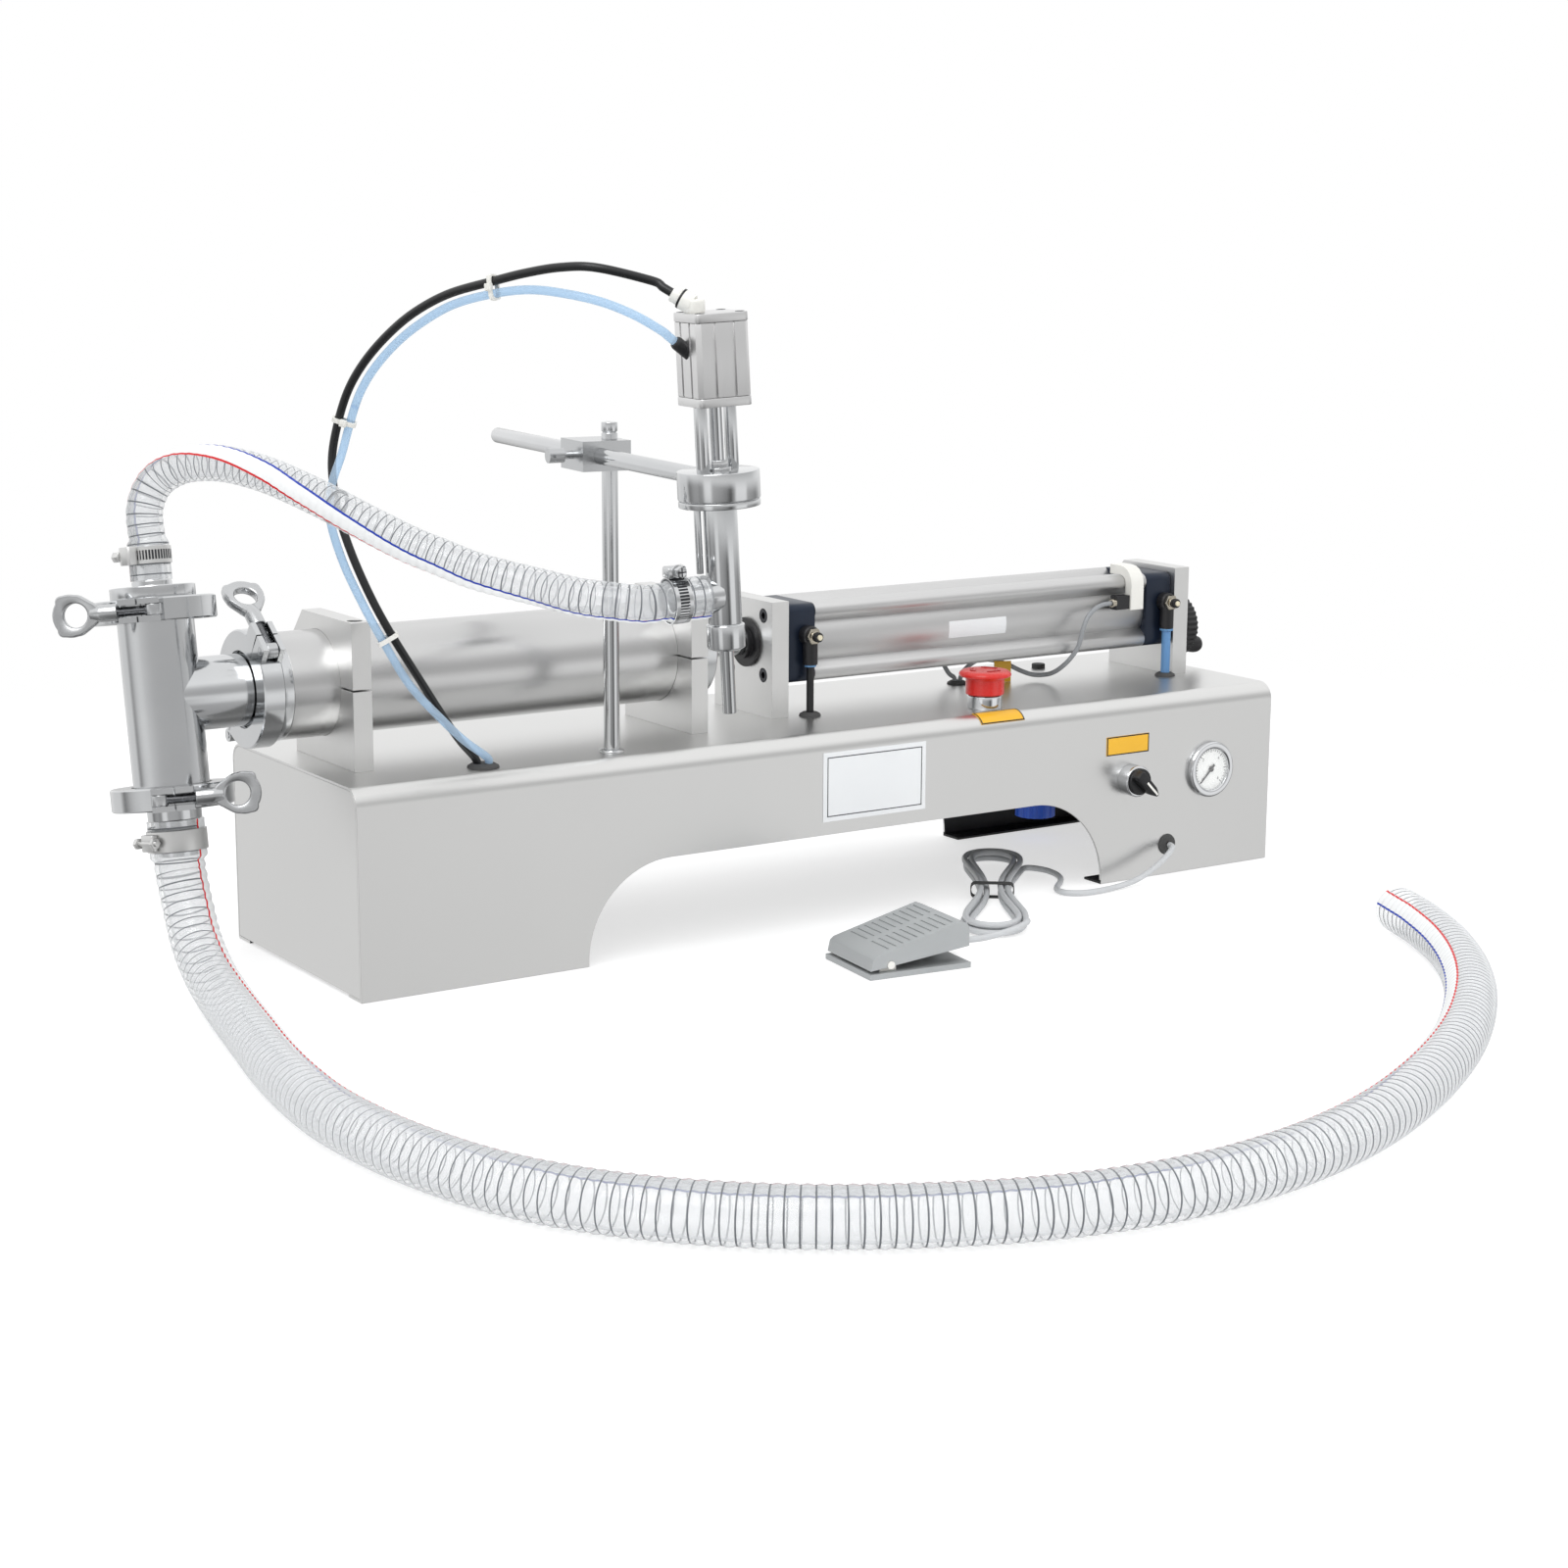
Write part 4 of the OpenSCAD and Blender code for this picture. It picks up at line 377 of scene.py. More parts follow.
    def swept(
        self,
        path: Array,
        radius: float | Array,
        bore: float | Array = 0.0,
        angles: int | Array = 16,
        first: Sequence[float] = (1, 0, 0),
        mark: int | Array = 0,
    ) -> "Shape":
        """Adds a round tube along a path: centre + r (cos a side + sin a up) at every station.

        Args:
            path: the centreline in the machine's frame.
            radius: outside radius: one, or stations by 1, or stations by angles.
            bore: inside radius in the same way, or 0 for a solid cord.
            angles: how many even sides it has, or the angles: one row, or one for each station.
            first: where angle 0 points at the start.
            mark: the finish's number: one, or stations by angles.

        Returns:
            This shape.
        """
        side, up = carried(path, first)
        around = even_angles(angles) if isinstance(angles, int) else angles
        angle = np.atleast_2d(around)[..., None]
        size = (len(path), angle.shape[1])
        marks = np.broadcast_to(mark, size)
        spoke = np.cos(angle) * side[:, None] + np.sin(angle) * up[:, None]
        outer = path[:, None] + spoke * np.broadcast_to(radius, size)[..., None]
        if not np.any(bore):
            return self.grid(outer, round_v=True, caps=True, mark=marks[1:])
        inner = path[:, None] + spoke * np.broadcast_to(bore, size)[..., None]
        whole = np.concatenate([outer, inner[::-1]])
        return self.grid(whole, round_u=True, round_v=True, mark=np.concatenate([marks, 0 * marks]))

    def threaded(
        self, place: Place, radius: float, pitch: float, low: float, high: float, mark: int = 0
    ) -> "Shape":
        """Adds a screw thread: r(a, z) = radius - 0.3 pitch (1 + cos(2 pi z / pitch - a)).

        Args:
            place: the frame whose z axis is the screw's.
            radius: radius over the crests.
            pitch: distance from crest to crest.
            low: height of its start.
            high: height of its end.
            mark: the finish's number.

        Returns:
            This shape.
        """
        z = np.linspace(low, high, int((high - low) / pitch * 6))[:, None]
        a = even_angles(32)[None]
        r = radius - 0.3 * pitch * (1 + np.cos(2 * math.pi * z / pitch - a))
        return self.grid(place.world(polar(r, a, z)), round_v=True, caps=True, mark=mark)

    def finish(
        self, *finishes: "Finish", body: str = "machine", stands_for: Sequence[str] = (), slot: str = ""
    ) -> bpy.types.Object:
        """Makes the object: joins doubled points, shades it and hands it to its body.

        Args:
            finishes: the finishes that the marks count.
            body: the CAD body that the piece rides on, or "" for none.
            stands_for: CAD nodes that it replaces.
            slot: not used; meant as the record's material slot.

        Returns:
            The new object.
        """
        mesh = bpy.data.meshes.new(self.name)
        mesh.from_pydata(np.concatenate(self.points) * MM, [], self.faces)
        mesh.polygons.foreach_set("material_index", np.array(self.marks, np.int32))
        return finished(self.name, mesh, finishes, body, stands_for, slot)


def finished(
    name: str,
    mesh: bpy.types.Mesh,
    finishes: Sequence["Finish"],
    body: str = "machine",
    stands_for: Sequence[str] = (),
    slot: str = "",
) -> bpy.types.Object:
    """Joins a mesh's doubled points, shades it smooth with sharp creases and places it on its body.

    Args:
        name: the piece's name.
        mesh: its mesh, in metres.
        finishes: its finishes, in the order of its material numbers.
        body: the CAD body that it rides on, or "" for none.
        stands_for: CAD nodes that it replaces.
        slot: not used; meant as the record's material slot.

    Returns:
        The new object.
    """
    work = bmesh.new()
    work.from_mesh(mesh)
    bmesh.ops.remove_doubles(work, verts=work.verts, dist=2e-6)
    work.to_mesh(mesh)
    work.free()
    mesh.polygons.foreach_set("use_smooth", np.ones(len(mesh.polygons), bool))
    mesh.set_sharp_from_angle(angle=math.radians(38))
    for entry in finishes:
        mesh.materials.append(entry.material())
    made = bpy.data.objects.new(name, mesh)
    bpy.context.scene.collection.objects.link(made)
    if body:
        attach(made, body)
    if stands_for:
        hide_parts(*stands_for)
    slot or finishes[0].slot
    LOG.info("%s: %d faces", name, len(mesh.polygons))
    return made


def machined(
    node: str,
    *finishes: "Finish",
    body: str = "machine",
    edge: float = 0.4,
    pick: Callable[[Array], Array] | None = None,
    seam: float = -1.0,
) -> bpy.types.Object:
    """A CAD node's own shape with its edges broken, as a milled or cast part has them.

    The copy's triangles are joined, flat faces are merged, and a Bevel modifier rounds each edge
    sharper than 35 degrees.

    Args:
        node: the CAD node.
        finishes: its finishes.
        body: the body that it rides on.
        edge: the rounding's width in millimetres.
        pick: gives each face's finish number from its centre in millimetres.
        seam: height in millimetres of a level seam that is closed, or below 0 for none.

    Returns:
        The new object, which replaces the node.
    """
    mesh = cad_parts[node].data.copy()
    mesh.materials.clear()
    work = bmesh.new()
    work.from_mesh(mesh)
    bmesh.ops.remove_doubles(work, verts=work.verts, dist=2e-6 if seam < 0 else 1e-4)
    if seam >= 0:
        work.normal_update()
        flat = [f for f in work.faces if abs(f.normal.z) > 0.9]
        inside = [f for f in flat if abs(f.calc_center_median().z - seam * MM) < 1e-4]
        bmesh.ops.delete(work, geom=inside, context="FACES_ONLY")
    bmesh.ops.dissolve_limit(
        work, angle_limit=math.radians(0.6), verts=work.verts, edges=work.edges, use_dissolve_boundaries=False
    )
    work.to_mesh(mesh)
    work.free()
    if "custom_normal" in mesh.attributes:
        mesh.attributes.remove(mesh.attributes["custom_normal"])
    if pick:
        centres = np.empty(len(mesh.polygons) * 3)
        mesh.polygons.foreach_get("center", centres)
        mesh.polygons.foreach_set("material_index", pick(centres.reshape(-1, 3) / MM).astype(np.int32))
    made = finished(f"{node}_piece", mesh, finishes, body, [node])
    bevel = made.modifiers.new("edges", "BEVEL")
    bevel.width = edge * MM
    bevel.segments = 2
    bevel.limit_method = "ANGLE"
    bevel.angle_limit = math.radians(35)
    weighted = made.modifiers.new("normals", "WEIGHTED_NORMAL")
    weighted.keep_sharp = False
    return made


# Finishes


def linear(code: str) -> tuple[float, float, float, float]:
    """A linear colour from an sRGB hex code.

    Args:
        code: the colour, such as "#c0c4c8".

    Returns:
        Red, green and blue from 0 to 1, and an alpha of 1.
    """
    s = np.array([int(code[k : k + 2], 16) for k in (1, 3, 5)]) / 255
    rgb = np.where(s <= 0.04045, s / 12.92, ((s + 0.055) / 1.055) ** 2.4)
    return (float(rgb[0]), float(rgb[1]), float(rgb[2]), 1.0)


def add(
    tree: bpy.types.NodeTree,
    kind: str,
    settings: dict | None = None,
    values: dict | None = None,
    **links: bpy.types.NodeSocket,
) -> bpy.types.Node:
    """Adds one shader node.

    Args:
        tree: the node tree.
        kind: the node's type.
        settings: its properties.
        values: its sockets' own values, by name or number.
        links: an output for each socket, by its name with _ for a space, or as _ and its number.

    Returns:
        The node.
    """
    made = tree.nodes.new(kind)
    for key, value in (settings or {}).items():
        setattr(made, key, value)
    for key, value in (values or {}).items():
        made.inputs[key].default_value = value
    for key, output in links.items():
        tree.links.new(output, made.inputs[int(key[1:]) if key[0] == "_" else key.replace("_", " ")])
    return made


class Grain(Enum):
    """How a finish's fine relief runs: its stretch along X, Y and Z."""

    EVEN = (1.0, 1.0, 1.0)
    ALONG_X = (0.03, 1.0, 1.0)
    UP = (1.0, 1.0, 0.04)


@dataclass(frozen=True)
class Finish:
    """A real material and how it was worked.

    Fields are the name, the record's slot, the main colour and a second one that clouds it, the
    cloud's size in mm, metallic, roughness and how much it varies, the grain's direction, size in
    mm and depth in mm, IOR, coat, and how much light goes straight through a wall and its colour.
    """

    name: str
    slot: str
    colour: str
    cloud: str
    cloud_mm: float = 60.0
    metallic: float = 0.0
    roughness: float = 0.4
    vary: float = 0.06
    grain: Grain = Grain.EVEN
    grain_mm: float = 0.8
    depth: float = 0.02
    ior: float = 1.5
    coat: float = 0.0
    clear: float = 0.0
    glass: str = "#ffffff"

    def material(self) -> bpy.types.Material:
        """Makes the finish's node material once, and shares it after that.

        Returns:
            The material.
        """
        found = bpy.data.materials.get(self.name)
        if found:
            return found
        made = bpy.data.materials.new(self.name)
        made.use_nodes = True
        tree = made.node_tree
        tree.nodes.clear()
        spot = add(tree, "ShaderNodeTexCoord").outputs["Object"]
        clouds = {"Scale": 1000 / self.cloud_mm, "Detail": 3.0}
        cloud = add(tree, "ShaderNodeTexNoise", values=clouds, Vector=spot).outputs["Fac"]
        shades = {6: linear(self.colour), 7: linear(self.cloud)}
        colour = add(tree, "ShaderNodeMix", {"data_type": "RGBA"}, shades, _0=cloud)
        stretched = add(tree, "ShaderNodeMapping", values={"Scale": self.grain.value}, Vector=spot)
        grains = {"Scale": 1000 / self.grain_mm, "Detail": 2.0}
        grain = add(tree, "ShaderNodeTexNoise", values=grains, Vector=stretched.outputs["Vector"])
        reach = {3: self.roughness - self.vary, 4: self.roughness + self.vary}
        rough = add(tree, "ShaderNodeMapRange", values=reach, Value=grain.outputs["Fac"])
        nature = {"Metallic": self.metallic, "IOR": self.ior, "Coat Weight": self.coat}
        shader = add(tree, "ShaderNodeBsdfPrincipled", values=nature, Base_Color=colour.outputs[2],
                     Roughness=rough.outputs[0])
        if self.depth:
            relief = {"Strength": 0.6, "Distance": self.depth * MM}
            bump = add(tree, "ShaderNodeBump", values=relief, Height=grain.outputs["Fac"])
            tree.links.new(bump.outputs["Normal"], shader.inputs["Normal"])
        if self.clear:
            edge = add(tree, "ShaderNodeLayerWeight", values={"Blend": 0.5}).outputs["Facing"]
            shares = {1: 0.45, 2: 1.0, 3: self.clear, 4: self.clear * 0.4}
            wall = add(tree, "ShaderNodeMapRange", values=shares, Value=edge).outputs[0]
            through = add(tree, "ShaderNodeBsdfTransparent", values={"Color": linear(self.glass)})
            shader = add(tree, "ShaderNodeMixShader", _0=wall, _1=shader.outputs[0], _2=through.outputs[0])
        add(tree, "ShaderNodeOutputMaterial", Surface=shader.outputs[0])
        return made


def metal(name: str, slot: str, colour: str, cloud: str, roughness: float, **more: object) -> Finish:
    """A bare metal: fully metallic, with the default IOR."""
    return Finish(name, slot, colour, cloud, metallic=1.0, roughness=roughness, **more)


# Stainless sheet of the cabinet: rolled to an even satin, so that it mirrors what stands on it softly
SHEET = metal("satin_stainless_sheet", "cabinet_steel", "#dededd", "#dadad9", 0.33, vary=0.02,
              grain=Grain.ALONG_X, grain_mm=0.5, depth=0.004, cloud_mm=160)
# The cabinet's inside where it stands in shade: near-black painted shade, dull
INSIDE_SHADE = Finish("inner_painted_shade", "cabinet_steel", "#18181a", "#202022", roughness=0.6, grain_mm=1.2)
# Milled stainless plate: fine upright grain that breaks the reflections up
PLATE = metal("ground_stainless_plate", "stainless_plate", "#e2e2e1", "#d8d8d7", 0.38,
              grain=Grain.UP, grain_mm=0.5, depth=0.01)
# Drawn stainless tube of the product cylinder: fine marks along its length, soft long lights
DRAWN = metal("drawn_stainless_tube", "stainless_polished", "#cfcfcf", "#c9c9c9", 0.27, vary=0.0,
              grain=Grain.ALONG_X, grain_mm=0.4, depth=0.0)
# Polished stainless tube and castings: near mirror, with faint buffing
POLISHED = metal("polished_stainless", "stainless_polished", "#d6d7d8", "#c4c6c8", 0.13, vary=0.04,
                 grain_mm=1.2, depth=0.008)
# Satin stainless of the eye nuts and the clamps' bodies
SATIN = metal("satin_stainless", "stainless_polished", "#cccdce", "#b9bbbd", 0.24, vary=0.06,
              grain_mm=0.9, depth=0.015)
# Hard chrome of the rods: the sharpest mirror on the machine
CHROME = metal("hard_chrome", "chromed_rod", "#dcdddf", "#d2d4d6", 0.07, vary=0.02, depth=0.003)
# Clear anodised aluminium: even, slightly blue satin
ALUMINIUM = metal("clear_anodised_aluminium", "aluminium", "#d6d6d6", "#d0d0d0", 0.42,
                  grain=Grain.ALONG_X, grain_mm=0.6, depth=0.01)
ALUMINIUM_UP = metal("satin_aluminium_block", "aluminium", "#e2e2e2", "#dcdcdc", 0.4,
                     grain=Grain.UP, grain_mm=0.6, depth=0.012)
# Plain steel of the T-bolts: bright threads
STEEL = metal("plain_steel_thread", "dark_steel", "#a9aaac", "#8f9093", 0.25, grain_mm=0.7)
# Blackened steel of the socket screws: dark with dull lights
BLACK_STEEL = metal("blackened_steel", "dark_steel", "#55565a", "#3c3d40", 0.36, grain_mm=0.7, depth=0.02)
# Dark blue-black anodised end caps of the air cylinder
NAVY = Finish("navy_anodised", "cap_navy", "#1c2739", "#161f2e", metallic=0.35, roughness=0.38, grain_mm=0.7)
# Nickel-plated brass of the flow controls' hexagons
NICKEL = metal("nickel_plated_brass", "stainless_polished", "#c9c3b6", "#b5ad9d", 0.22, grain_mm=0.8)
# Moulded black nylon: a fine even sparkle from the mould's texture
BLACK = Finish("black_nylon", "black_plastic", "#151517", "#1d1d20", roughness=0.42, grain_mm=0.6,
               depth=0.03)
# Moulded rubber: black and dull
RUBBER = Finish("black_rubber", "black_rubber", "#0f0f10", "#18181a", roughness=0.62, grain_mm=0.9,
                depth=0.04)
# White nylon and acetal: warm white with a soft shine
WHITE = Finish("white_nylon", "white_plastic", "#e6e5e0", "#dcdbd5", roughness=0.36, grain_mm=0.9)
CREAM = Finish("cream_nylon", "white_plastic", "#ddd5bd", "#cfc6ab", roughness=0.4)
# Gloss red of the emergency stop
RED = Finish("gloss_red_plastic", "red_plastic", "#d2231c", "#c41d17", roughness=0.28, vary=0.03, coat=0.3)
# The same, in the shade of its moulded marks
RED_DEEP = Finish("deep_red_plastic", "red_plastic", "#a5140f", "#9a120d", roughness=0.3)
# The regulator's knob: gloss blue
BLUE = Finish("gloss_blue_plastic", "blue_plastic", "#3a70f2", "#3468e2", roughness=0.3, coat=0.2)
# Printed film of the labels, and its rims
YELLOW = Finish("yellow_label_film", "label_white", "#e9b429", "#e2ab20", roughness=0.34, grain_mm=1.5,
                depth=0.004)
LABEL = Finish("white_label_plate", "label_white", "#e4e6e7", "#dcdee0", roughness=0.35, grain_mm=1.5,
               depth=0.004)
LABEL_EDGE = Finish("label_rim", "label_white", "#3b3d40", "#45474a", roughness=0.4)
# Clear vinyl: glossy, lets most light through
VINYL = Finish("clear_vinyl", "clear_hose", "#e6e8ea", "#dee1e3", cloud_mm=25, roughness=0.08, vary=0.02,
               depth=0.0, clear=0.74)
# Steel wire wound in the hose's wall, seen as thin grey rings
WIRE = Finish("hose_wire", "clear_hose", "#6b6e72", "#626569", roughness=0.25)
# Pigment extruded into the hose's wall: a white band between a red and a blue line
BAND_WHITE = Finish("hose_stripe_white", "clear_hose", "#eff0f0", "#e6e8e9", roughness=0.25)
BAND_RED = Finish("hose_stripe_red", "clear_hose", "#d0141c", "#c41219", roughness=0.25)
BAND_BLUE = Finish("hose_stripe_blue", "clear_hose", "#1238a8", "#10329a", roughness=0.25)
# Polyurethane air hose: black, nearly matt
AIR_BLACK = Finish("black_air_hose", "air_hose", "#111214", "#1a1b1d", roughness=0.36, grain_mm=1.4)
# The same, unfilled: see-through pale blue, and deeper where two walls lie together
AIR_BLUE = Finish("pale_blue_air_tube", "blue_tube", "#cfe1f0", "#c6dbec", roughness=0.18, clear=0.6,
                  glass="#d2e6f7", depth=0.0)
AIR_BLUE_DEEP = Finish("deep_blue_air_tube", "blue_tube", "#7fb2e0", "#73a7d8", roughness=0.15, clear=0.35,
                       glass="#5c9ae0", depth=0.0)
# Grey cable sheath
GREY = Finish("grey_cable_sheath", "grey_cord", "#c6c8ca", "#bcbec0", roughness=0.45, grain_mm=1.2)
# The sensors' thinner cable, a shade darker
CABLE = Finish("dark_grey_cable_sheath", "grey_cord", "#94979a", "#8a8d90", roughness=0.4, grain_mm=1.2)
# Foot switch: grey sprayed casting
PEDAL_GREY = Finish("grey_sprayed_casting", "pedal_grey", "#b0b3b4", "#a5a8a9", metallic=0.2, roughness=0.42,
                    grain_mm=0.7, depth=0.03)
# Enamelled dial and its print
DIAL = Finish("white_dial", "label_white", "#f1f2f0", "#ebecea", roughness=0.4)
INK = Finish("black_print", "black_plastic", "#1a1a1c", "#202022", roughness=0.45)
# Instrument glass
GLASS = Finish("gauge_glass", "white_plastic", "#ffffff", "#fcfdfd", roughness=0.03, vary=0.01, depth=0.0,
               clear=0.92)


def dressed(finish: Finish, *nodes: str) -> None:
    """Gives CAD nodes that stay as they are a finish, in their objects' own material slots.

    Args:
        finish: the finish.
        nodes: the CAD nodes.
    """
    for name in nodes:
        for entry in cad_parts[name].material_slots:
            entry.link = "OBJECT"
            entry.material = finish.material()


# Sub-assemblies


@dataclass
class Cabinet:
    """The folded sheet cabinet with its ends, grommets, plates and the things under its deck."""

    edge: float = 0.5
    plate: tuple[float, float, float, float] = (-36.6, 86.0, 98.6, 55.0)
    label: tuple[float, float, float, float] = (249.0, 109.0, 45.5, 16.0)
    bent: tuple[float, float] = (119.1, 163.1)
    bend: float = 14.0

    def build(self) -> None:
        """Builds the cabinet's pieces."""
        # The sheet's inner faces that stand in shade get a near-black painted shade, picked by place
        machined("base_shell", SHEET, INSIDE_SHADE, edge=self.edge, seam=141.0, pick=self.inside)
        machined("end_panels", SHEET, edge=0.3)
        machined("grommets", RUBBER, edge=0.25)
        machined("label_plates", LABEL, YELLOW, edge=0.15, pick=lambda c: (c[:, 0] > 100))
        machined("control_box", RUBBER, edge=0.8)
        machined("regulator_knob", BLUE, body="regulator_knob", edge=0.6)
        rim = Shape("nameplate_rim")
        self.rim(rim, *self.plate, 4.2, 0.8)
        rim.finish(LABEL_EDGE)
        rim = Shape("label_rims")
        self.rim(rim, *self.label, 0.6, 1.0)
        self.bent_rim(rim)
        rim.finish(INK)

    @staticmethod
    def inside(centres: Array) -> Array:
        """Marks the rear apron's inner faces and the right lips, which stand in the dark; they get the
        near-black painted shade.
        """
        x, y, z = centres.T
        return ((y > 80) & (y < 109.2) & (z < 141)) | ((x > 200) & (np.abs(y) < 109.2) & (z < 3))

    def rim(self, shape: Shape, x: float, z: float, w: float, h: float, inset: float, line: float) -> None:
        """Adds a plate's thin printed rim: four strips just proud of it.

        Args:
            shape: the mesh that it is added to.
            x: the plate's left side.
            z: its underside.
            w: its width.
            h: its height.
            inset: how far in from its edge the strips' middles are.
            line: the strips' width.
        """
        long, tall = w - 2 * inset, h - 2 * inset
        for side in (-1, 1):
            level = FRONT.then((x + w / 2, z + h / 2 + side * tall / 2, 0.55))
            upright = FRONT.then((x + w / 2 + side * long / 2, z + h / 2, 0.55))
            shape.prism(level, box(long + line, line), 0, 0.15, 0.03)
            shape.prism(upright, box(line, tall), 0, 0.15, 0.03)

    def bent_rim(self, shape: Shape) -> None:
        """Adds the rim of the label on the front bend: four strips on arcs about the bend's axis.

        Args:
            shape: the mesh that it is added to.
        """
        left, right = self.bent[0] + 0.2, self.bent[1] - 0.2
        axis = Place(np.array([0, self.bend - 111, 155 - self.bend]), LINE.axes)
        for x0, x1, a0, a1 in ((left, right, 145.5, 149.5), (left, right, 88.0, 92.0),
                               (left, left + 1, 92.0, 145.5), (right - 1, right, 92.0, 145.5)):
            angle = np.radians(np.linspace(a0, a1, 10))[None]
            along = np.array([x0, x0, x1, x1])[:, None]
            proud = np.array([0.55, 0.7, 0.7, 0.55])[:, None]
            shape.grid(axis.world(polar(self.bend + proud, angle, along)), round_u=True)


@dataclass
class Cylinders:
    """The product cylinder and the air cylinder, their saddles, plates, caps and pistons."""

    product_r: float = 39.5
    front_x: float = -458.5
    tube_x: tuple[float, float] = (-442.0, -105.5)
    back_x: float = -84.0
    barrel_x: tuple[float, float] = (13.5, 361.0)
    barrel_r: float = 29.0
    lobe: tuple[float, float] = (25.0, 7.0)
    rod_r: float = 10.0

    def barrel_outline(self) -> Array:
        """The barrel's section: at each angle the farther of the round wall and the four corner ribs.

        A ray along u meets a rib's circle of radius q about c at c.u + sqrt(q^2 - |c|^2 + (c.u)^2).

        Returns:
            Its points, as pairs.
        """
        ray = polar(1.0, even_angles(360))[:, :2]
        reach = np.full(len(ray), self.barrel_r)
        at, q = self.lobe
        for c in box(2 * at, 2 * at):
            along = ray @ c
            hit = q**2 - c @ c + along**2
            far = along + np.sqrt(np.maximum(hit, 0))
            reach = np.where((hit > 0) & (along > 0), np.maximum(reach, far), reach)
        return ray * reach[:, None]

    def build(self) -> None:
        """Builds the cylinders' pieces."""
        x0, x1 = self.tube_x
        back, r = self.back_x, self.product_r
        tube = Shape("product_tube").pipe(LINE, r, r - 3, x0, x1, 0.3)
        tube.finish(DRAWN, stands_for=["product_cylinder"])
        caps = Shape("product_caps")
        caps.turned(LINE, [*ferrule(self.front_x + 0.5, 1, 24.5, 26.8), (26.5, x0 - 8), (r + 0.5, x0 - 8),
                           (r + 0.5, x0), (24.5, x0)], 0.8, closed=True)
        hole = self.rod_r + 0.06
        caps.turned(LINE, [(hole, x1), (r + 0.5, x1), (r + 0.5, back), (15, back), (14, back - 2),
                           (hole, back - 2)], 1.2, closed=True)
        caps.finish(POLISHED, stands_for=["cylinder_end_caps"])
        machined("cylinder_saddles", PLATE, edge=0.8)
        machined("cylinder_plates", PLATE, edge=0.8)
        machined("socket_screws", BLACK_STEEL, edge=0.3)
        rod = Shape("rod").rod(LINE, self.rod_r, -426, 43.4, 1.0)
        rod.finish(CHROME, body="pistons_and_rod", stands_for=["piston_rod"])
        machined("pistons", WHITE, ALUMINIUM, RUBBER, body="pistons_and_rod", edge=0.4,
                 pick=lambda c: (c[:, 0] > 0) * 1)
        machined("seals", WHITE, BLACK, edge=0.3, pick=lambda c: (c[:, 0] > -60) * 1)
        barrel = Shape("barrel").prism(LINE, self.barrel_outline(), *self.barrel_x, 0.2)
        barrel.finish(ALUMINIUM, stands_for=["air_barrel"])
        self.end_caps()
        self.barrel_label()

    def end_caps(self) -> None:
        """Builds the air cylinder's square caps with round corners."""
        caps = Shape("air_caps")
        outline = eased(box(64, 64), 7.0, True)
        for low, high in ((-15.4, 13.4), (361.1, 388.9)):
            caps.prism(LINE, outline, low, high, 1.0)
        caps.finish(NAVY, stands_for=["air_end_caps"])

    def barrel_label(self) -> None:
        """Builds the bare label on the barrel's front: a thin sheet bent to the round wall."""
        angle = np.radians(np.linspace(168, 196, 12))[None]
        along = np.array([150.0, 150.2, 209.8, 210.0])[:, None]
        proud = np.array([0.0, 0.35, 0.35, 0.0])[:, None]
        Shape("barrel_label").grid(LINE.world(polar(self.barrel_r + proud, angle, along))).finish(LABEL)


@dataclass
class StrokeAdjuster:
    """The handwheel with its screw and crank, and the stop plate in the barrel."""

    axis: tuple[float, float] = (3.0, 193.0)
    wheel_x: float = 411.8
    wheel_r: float = 27.5
    wheel_t: float = 12.0
    screw_r: float = 4.0
    crank_r: float = 20.0
    crank_angle: float = -118.0

    def build(self) -> None:
        """Builds the adjuster's pieces."""
        hub = Place(np.array([0.0, *self.axis]), LINE.axes)
        x, face = self.wheel_x, self.wheel_x + self.wheel_t
        dressed(ALUMINIUM, "stop_plate")
        wheel = Shape("handwheel_piece")
        wheel.threaded(hub, self.screw_r, 1.25, 293.2, x, 1).rod(hub, 2.5, 284, 294, 0.2, 1)
        a = even_angles(360)
        wheel.prism(hub, polar(self.wheel_r - 0.55 * (1 - np.cos(36 * a)) - 0.2, a)[:, :2], x, face, 0.9)
        wheel.turned(hub, [(0, face - 2), (9, face - 2), (9, face + 2), (5.5, face + 2), (5.5, face + 1.2),
                           (0, face + 1.2)], 0.6)
        wheel.pipe(hub, 21.6, 20.4, face - 0.3, face + 0.5, 0.2).rod(hub, 9, x - 2, x + 1, 0.6)
        wheel.finish(BLACK, BLACK_STEEL, body="handwheel_and_screw", stands_for=["handwheel"])
        crank = hub.then((0, 0, 0), turn("z", self.crank_angle)).then((self.crank_r, 0, 0))
        knob = Shape("crank_knob_piece")
        line = [(0, -8), (2.4, -8), (2.4, 0.4), (5.2, 0.4), (6.6, 4), (7.5, 9), (7.4, 13), (6, 16), (3.4, 17),
                (0, 17)]
        knob.turned(crank.then((0, 0, face)), line, 1.2)
        knob.finish(BLACK, body="crank_knob", stands_for=["crank_knob"])


